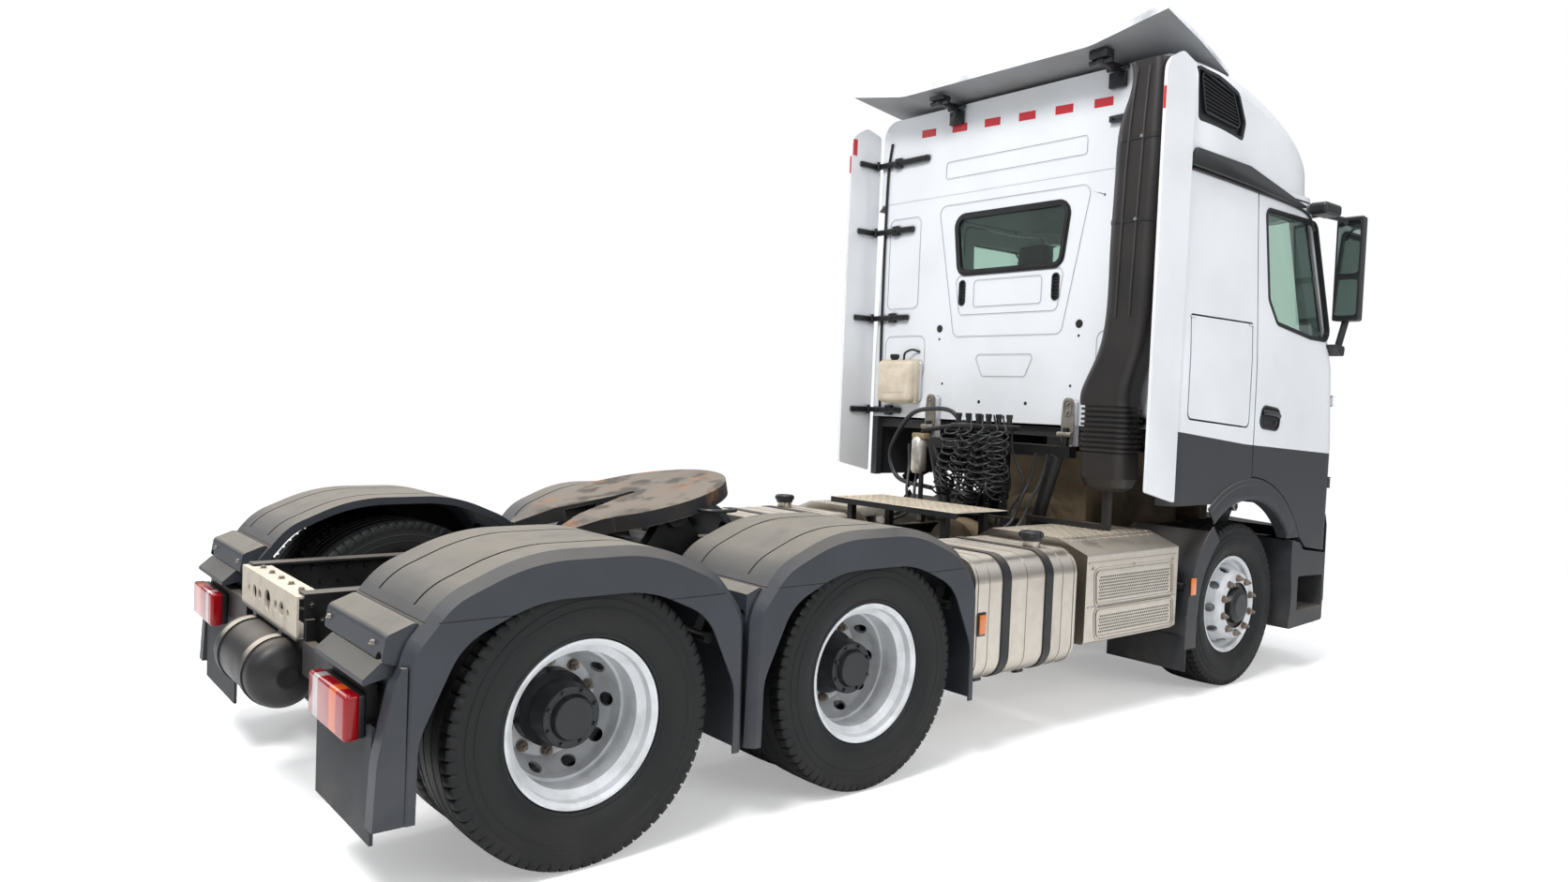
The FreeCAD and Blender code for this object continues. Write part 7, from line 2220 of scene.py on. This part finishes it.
@dataclass
class BehindCab:
    """Rail, canister, springs, sockets and lines between cab and deck."""

    rail_x: float = 3.400
    loop: tuple[Span, ...] = ((0.360, 1.120), (0.640, 1.150), (0.735, 1.235), (0.755, 1.360),
                                             (0.640, 1.540), (0.510, 1.628), (0.250, 1.640), (0.140, 1.560),
                                             (0.140, 1.450))
    springs: tuple[Point, ...] = ((-0.170, 1.032, 1.205), (-0.292, 1.031, 1.313))
    canister: tuple[Span, ...] = ((0, 0), (0, 0.036), (0.020, 0.050), (0.215, 0.050), (0.236, 0.038), (0.248, 0.020),
                                  (0.248, 0))

    def build(self) -> None:
        """Make the parts."""
        shape = Shape("hand_loop")
        shape.tube([spot(self.rail_x, y, z) for y, z in self.loop], 0.015, BLACK_ABS, 12)
        shape.piece(Body.CHASSIS, Slot.CHASSIS)
        canister = Shape("air_drier_canister")
        canister.turned(self.canister, spot(3.330, 0.425, 1.215), UP, CANISTER, 32)
        canister.block(spot(3.300, 0.385, 1.300), spot(3.360, 0.420, 1.345), CHASSIS, 0.004)
        canister.block(spot(3.300, 0.360, 1.440), spot(3.370, 0.470, 1.480), CASTING, 0.008)
        canister.piece(Body.CHASSIS, Slot.STEEL)
        coils = Shape("stand_springs")
        for y, low, high in self.springs:
            turns = int((high - low) / 0.016)
            route = [spot(3.330 + 0.024 * math.cos(step * math.tau / 10), y + 0.024 * math.sin(step * math.tau / 10),
                          low + (high - low) * step / (turns * 10)) for step in range(turns * 10 + 1)]
            coils.tube(route[::2], 0.0045, COIL_LINE, 6)
            coils.rod(spot(3.330, y, 0.985), spot(3.330, y, high + 0.02), 0.010, CHASSIS)
        coils.piece(Body.CHASSIS, Slot.CHASSIS)
        self.lines()
        for index, (start_y, end_y, sag_y, sag_z, turns) in enumerate((
                (0.105, -0.080, 0.190, 1.150, 22), (-0.020, -0.205, -0.030, 1.110, 24),
                (-0.140, -0.300, -0.270, 1.170, 20))):
            CoiledLine("coiled_line_%d" % (index + 1), (3.345 - 0.03 * index, start_y, 1.575),
                       (3.330 - 0.035 * index, sag_y, sag_z), (3.345 - 0.03 * index, end_y, 1.575), turns).build()

    def lines(self) -> None:
        """Sockets on the bracket, and fixed lines from them to the frame and gearbox."""
        sockets = Shape("line_sockets")
        hoses = Shape("fixed_lines")
        for index in range(6):
            y = 0.105 - index * 0.081
            sockets.rod(spot(3.345, y, 1.545), spot(3.345, y, 1.615), 0.017, BLACK_ABS)
            sockets.rod(spot(3.345, y, 1.600), spot(3.345, y, 1.625), 0.022, BLACK_ABS, sides=6)
            hoses.tube([spot(3.375, y, 1.540), spot(3.390, y, 1.400), spot(3.400, y * 1.3, 1.200),
                        spot(3.360, y * 1.1, 1.050), spot(3.340, y, 0.900)], 0.008, HOSE, 8)
        sockets.block(spot(3.318, -0.345, 1.530), spot(3.400, 0.150, 1.560), CHASSIS, 0.006)
        sockets.piece(Body.CHASSIS, Slot.CHASSIS)
        for index, y in enumerate((-0.55, -0.47, 0.50, 0.58)):
            hoses.tube([spot(3.395, y, 1.400), spot(3.380, y * 0.96, 1.250), spot(3.330, y * 0.9, 1.120),
                        spot(3.280, y * 0.84, 0.980), spot(3.150 - 0.05 * index, y * 0.8, 0.905)], 0.010, HOSE, 8)
        hoses.piece(Body.CHASSIS, Slot.RUBBER)


@dataclass
class Screen:
    """Seal and wipers of the windscreen."""

    opening: Outline = Outline(((-1.010, 3.010, 0.090), (1.010, 3.010, 0.090), (1.075, 2.060, 0.110),
                                (-1.075, 2.060, 0.110)), 8)
    blade_z: float = 2.150
    pivot_z: float = 2.045
    blades: tuple[Point, ...] = ((-0.150, -0.860, -0.300), (0.560, -0.050, 0.200),
                                                      (0.950, 0.640, 0.900))

    def on(self, node: str, y: float, z: float, proud: float) -> Optional[Vector]:
        """Place on the front of a node, this far proud."""
        point = land(node, spot(6.500, y, z), REARWARD)
        return None if point is None else point + Vector((proud, 0, 0))

    def build(self) -> None:
        """Make the seal and the wipers."""
        shape = Shape("windscreen_seal")
        flat = [self.opening.grown(grow).points(lambda y, z: Vector((0, y, z))) for grow in (0.034, 0.004)]
        pairs = [(self.on("cab_front", outer.y, outer.z, -0.002), self.on("cab_front", inner.y, inner.z, -0.002))
                 for outer, inner in zip(*flat)]
        pairs = [pair for pair in pairs if None not in pair]
        shape.frame([outer for outer, _ in pairs], [inner for _, inner in pairs], Vector((0.008, 0, 0)), SEAL_RUBBER)
        shape.piece(Body.CAB, Slot.RUBBER)
        wipers = Shape("wipers")
        for start_y, end_y, pivot_y in self.blades:
            blade = [self.on("cab_glass", start_y + (end_y - start_y) * share, self.blade_z, 0.012)
                     for share in (0.0, 0.25, 0.5, 0.75, 1.0)]
            pivot = self.on("cab_front", pivot_y, self.pivot_z - 0.02, 0.004)
            if None in blade or pivot is None:
                LOG.warning("wiper left out at %.2f", pivot_y)
                continue
            wipers.tube(blade, 0.007, SEAL_RUBBER, 8)
            wipers.tube([pivot + Vector((0.022, 0, 0)), (pivot + blade[2]) / 2 + Vector((0.030, 0, 0)),
                         blade[2] + Vector((0.010, 0, 0))], 0.008, BLACK_ABS, 8)
            wipers.rod(pivot - Vector((0.006, 0, 0)), pivot + Vector((0.030, 0, 0)), 0.018, BLACK_ABS)
        wipers.piece(Body.CAB, Slot.PLASTIC)


@dataclass
class Cabin:
    """Padded seats and bunk, in place of their plain solids."""

    seat_y: float = 0.590
    half: float = 0.255
    fill: float = 0.8
    cuts: int = 7

    def pad(self, name: str, low: Vector, high: Vector, crown: float) -> bpy.types.Object:
        """One crowned cushion.

        Args:
            name: Name of the piece.
            low: Lowest corner.
            high: Highest corner.
            crown: How much its edges pull in.

        Returns:
            The cushion as a plain mesh.
        """
        part = bmesh.new()
        bmesh.ops.create_cube(part, size=2)
        bmesh.ops.subdivide_edges(part, edges=part.edges, cuts=self.cuts, use_grid_fill=True)
        middle = (low + high) / 2
        half = (high - low) / 2
        for vertex in part.verts:
            u, v, w = vertex.co
            bulge = Vector([1 - crown * (1 - (1 - other[0] ** 2) * (1 - other[1] ** 2))
                            for other in ((v, w), (u, w), (u, v))])
            vertex.co = middle + Vector([half[i] * (u, v, w)[i] * bulge[i] for i in range(3)])
        shape = Shape(name)
        shape.take(part, SEAT_COVER)
        made = shape.object()
        rounded = made.modifiers.new("rounded", "SUBSURF")
        rounded.levels = rounded.render_levels = 1
        return plain(made)

    def build(self) -> None:
        """Make both seats and the mattress."""
        pads = []
        for side, word in SIDES:
            y = side * self.seat_y
            for part, x_span, z_span, half, crown in (("cushion", (4.680, 5.190), (1.932, 2.080), self.half, 0.10),
                                                      ("back", (4.620, 4.790), (2.050, 2.690), self.half, 0.08),
                                                      ("headrest", (4.625, 4.730), (2.700, 2.895), 0.140, 0.12)):
                pads.append(self.pad("seat_%s_%s" % (part, word), spot(x_span[0], y - half, z_span[0]),
                                     spot(x_span[1], y + half, z_span[1]), crown))
        pads.append(self.pad("bunk_mattress", spot(3.690, -1.080, 2.260), spot(4.440, 1.080, 2.390), 0.04))
        for index, made in enumerate(pads):
            settle(made, Body.CAB, Slot.FABRIC, *(("seats_bunk",) if index == 0 else ()))


def main() -> None:
    """Build the studio and every sub-assembly in order."""
    logging.basicConfig(level=logging.INFO, format="%(message)s")
    bpy.context.scene.view_settings.view_transform = "Standard"
    for section in (Studio(), NodeFinishes(), Wheels(), Lamps(), RearWall(), RoofFittings(), DoorFittings(), Intake(),
                    SideGear(), FrameDetails(), BehindCab(), Screen(), Cabin()):
        LOG.info("building %s", type(section).__name__)
        section.build()


if __name__ == "__main__":
    main()
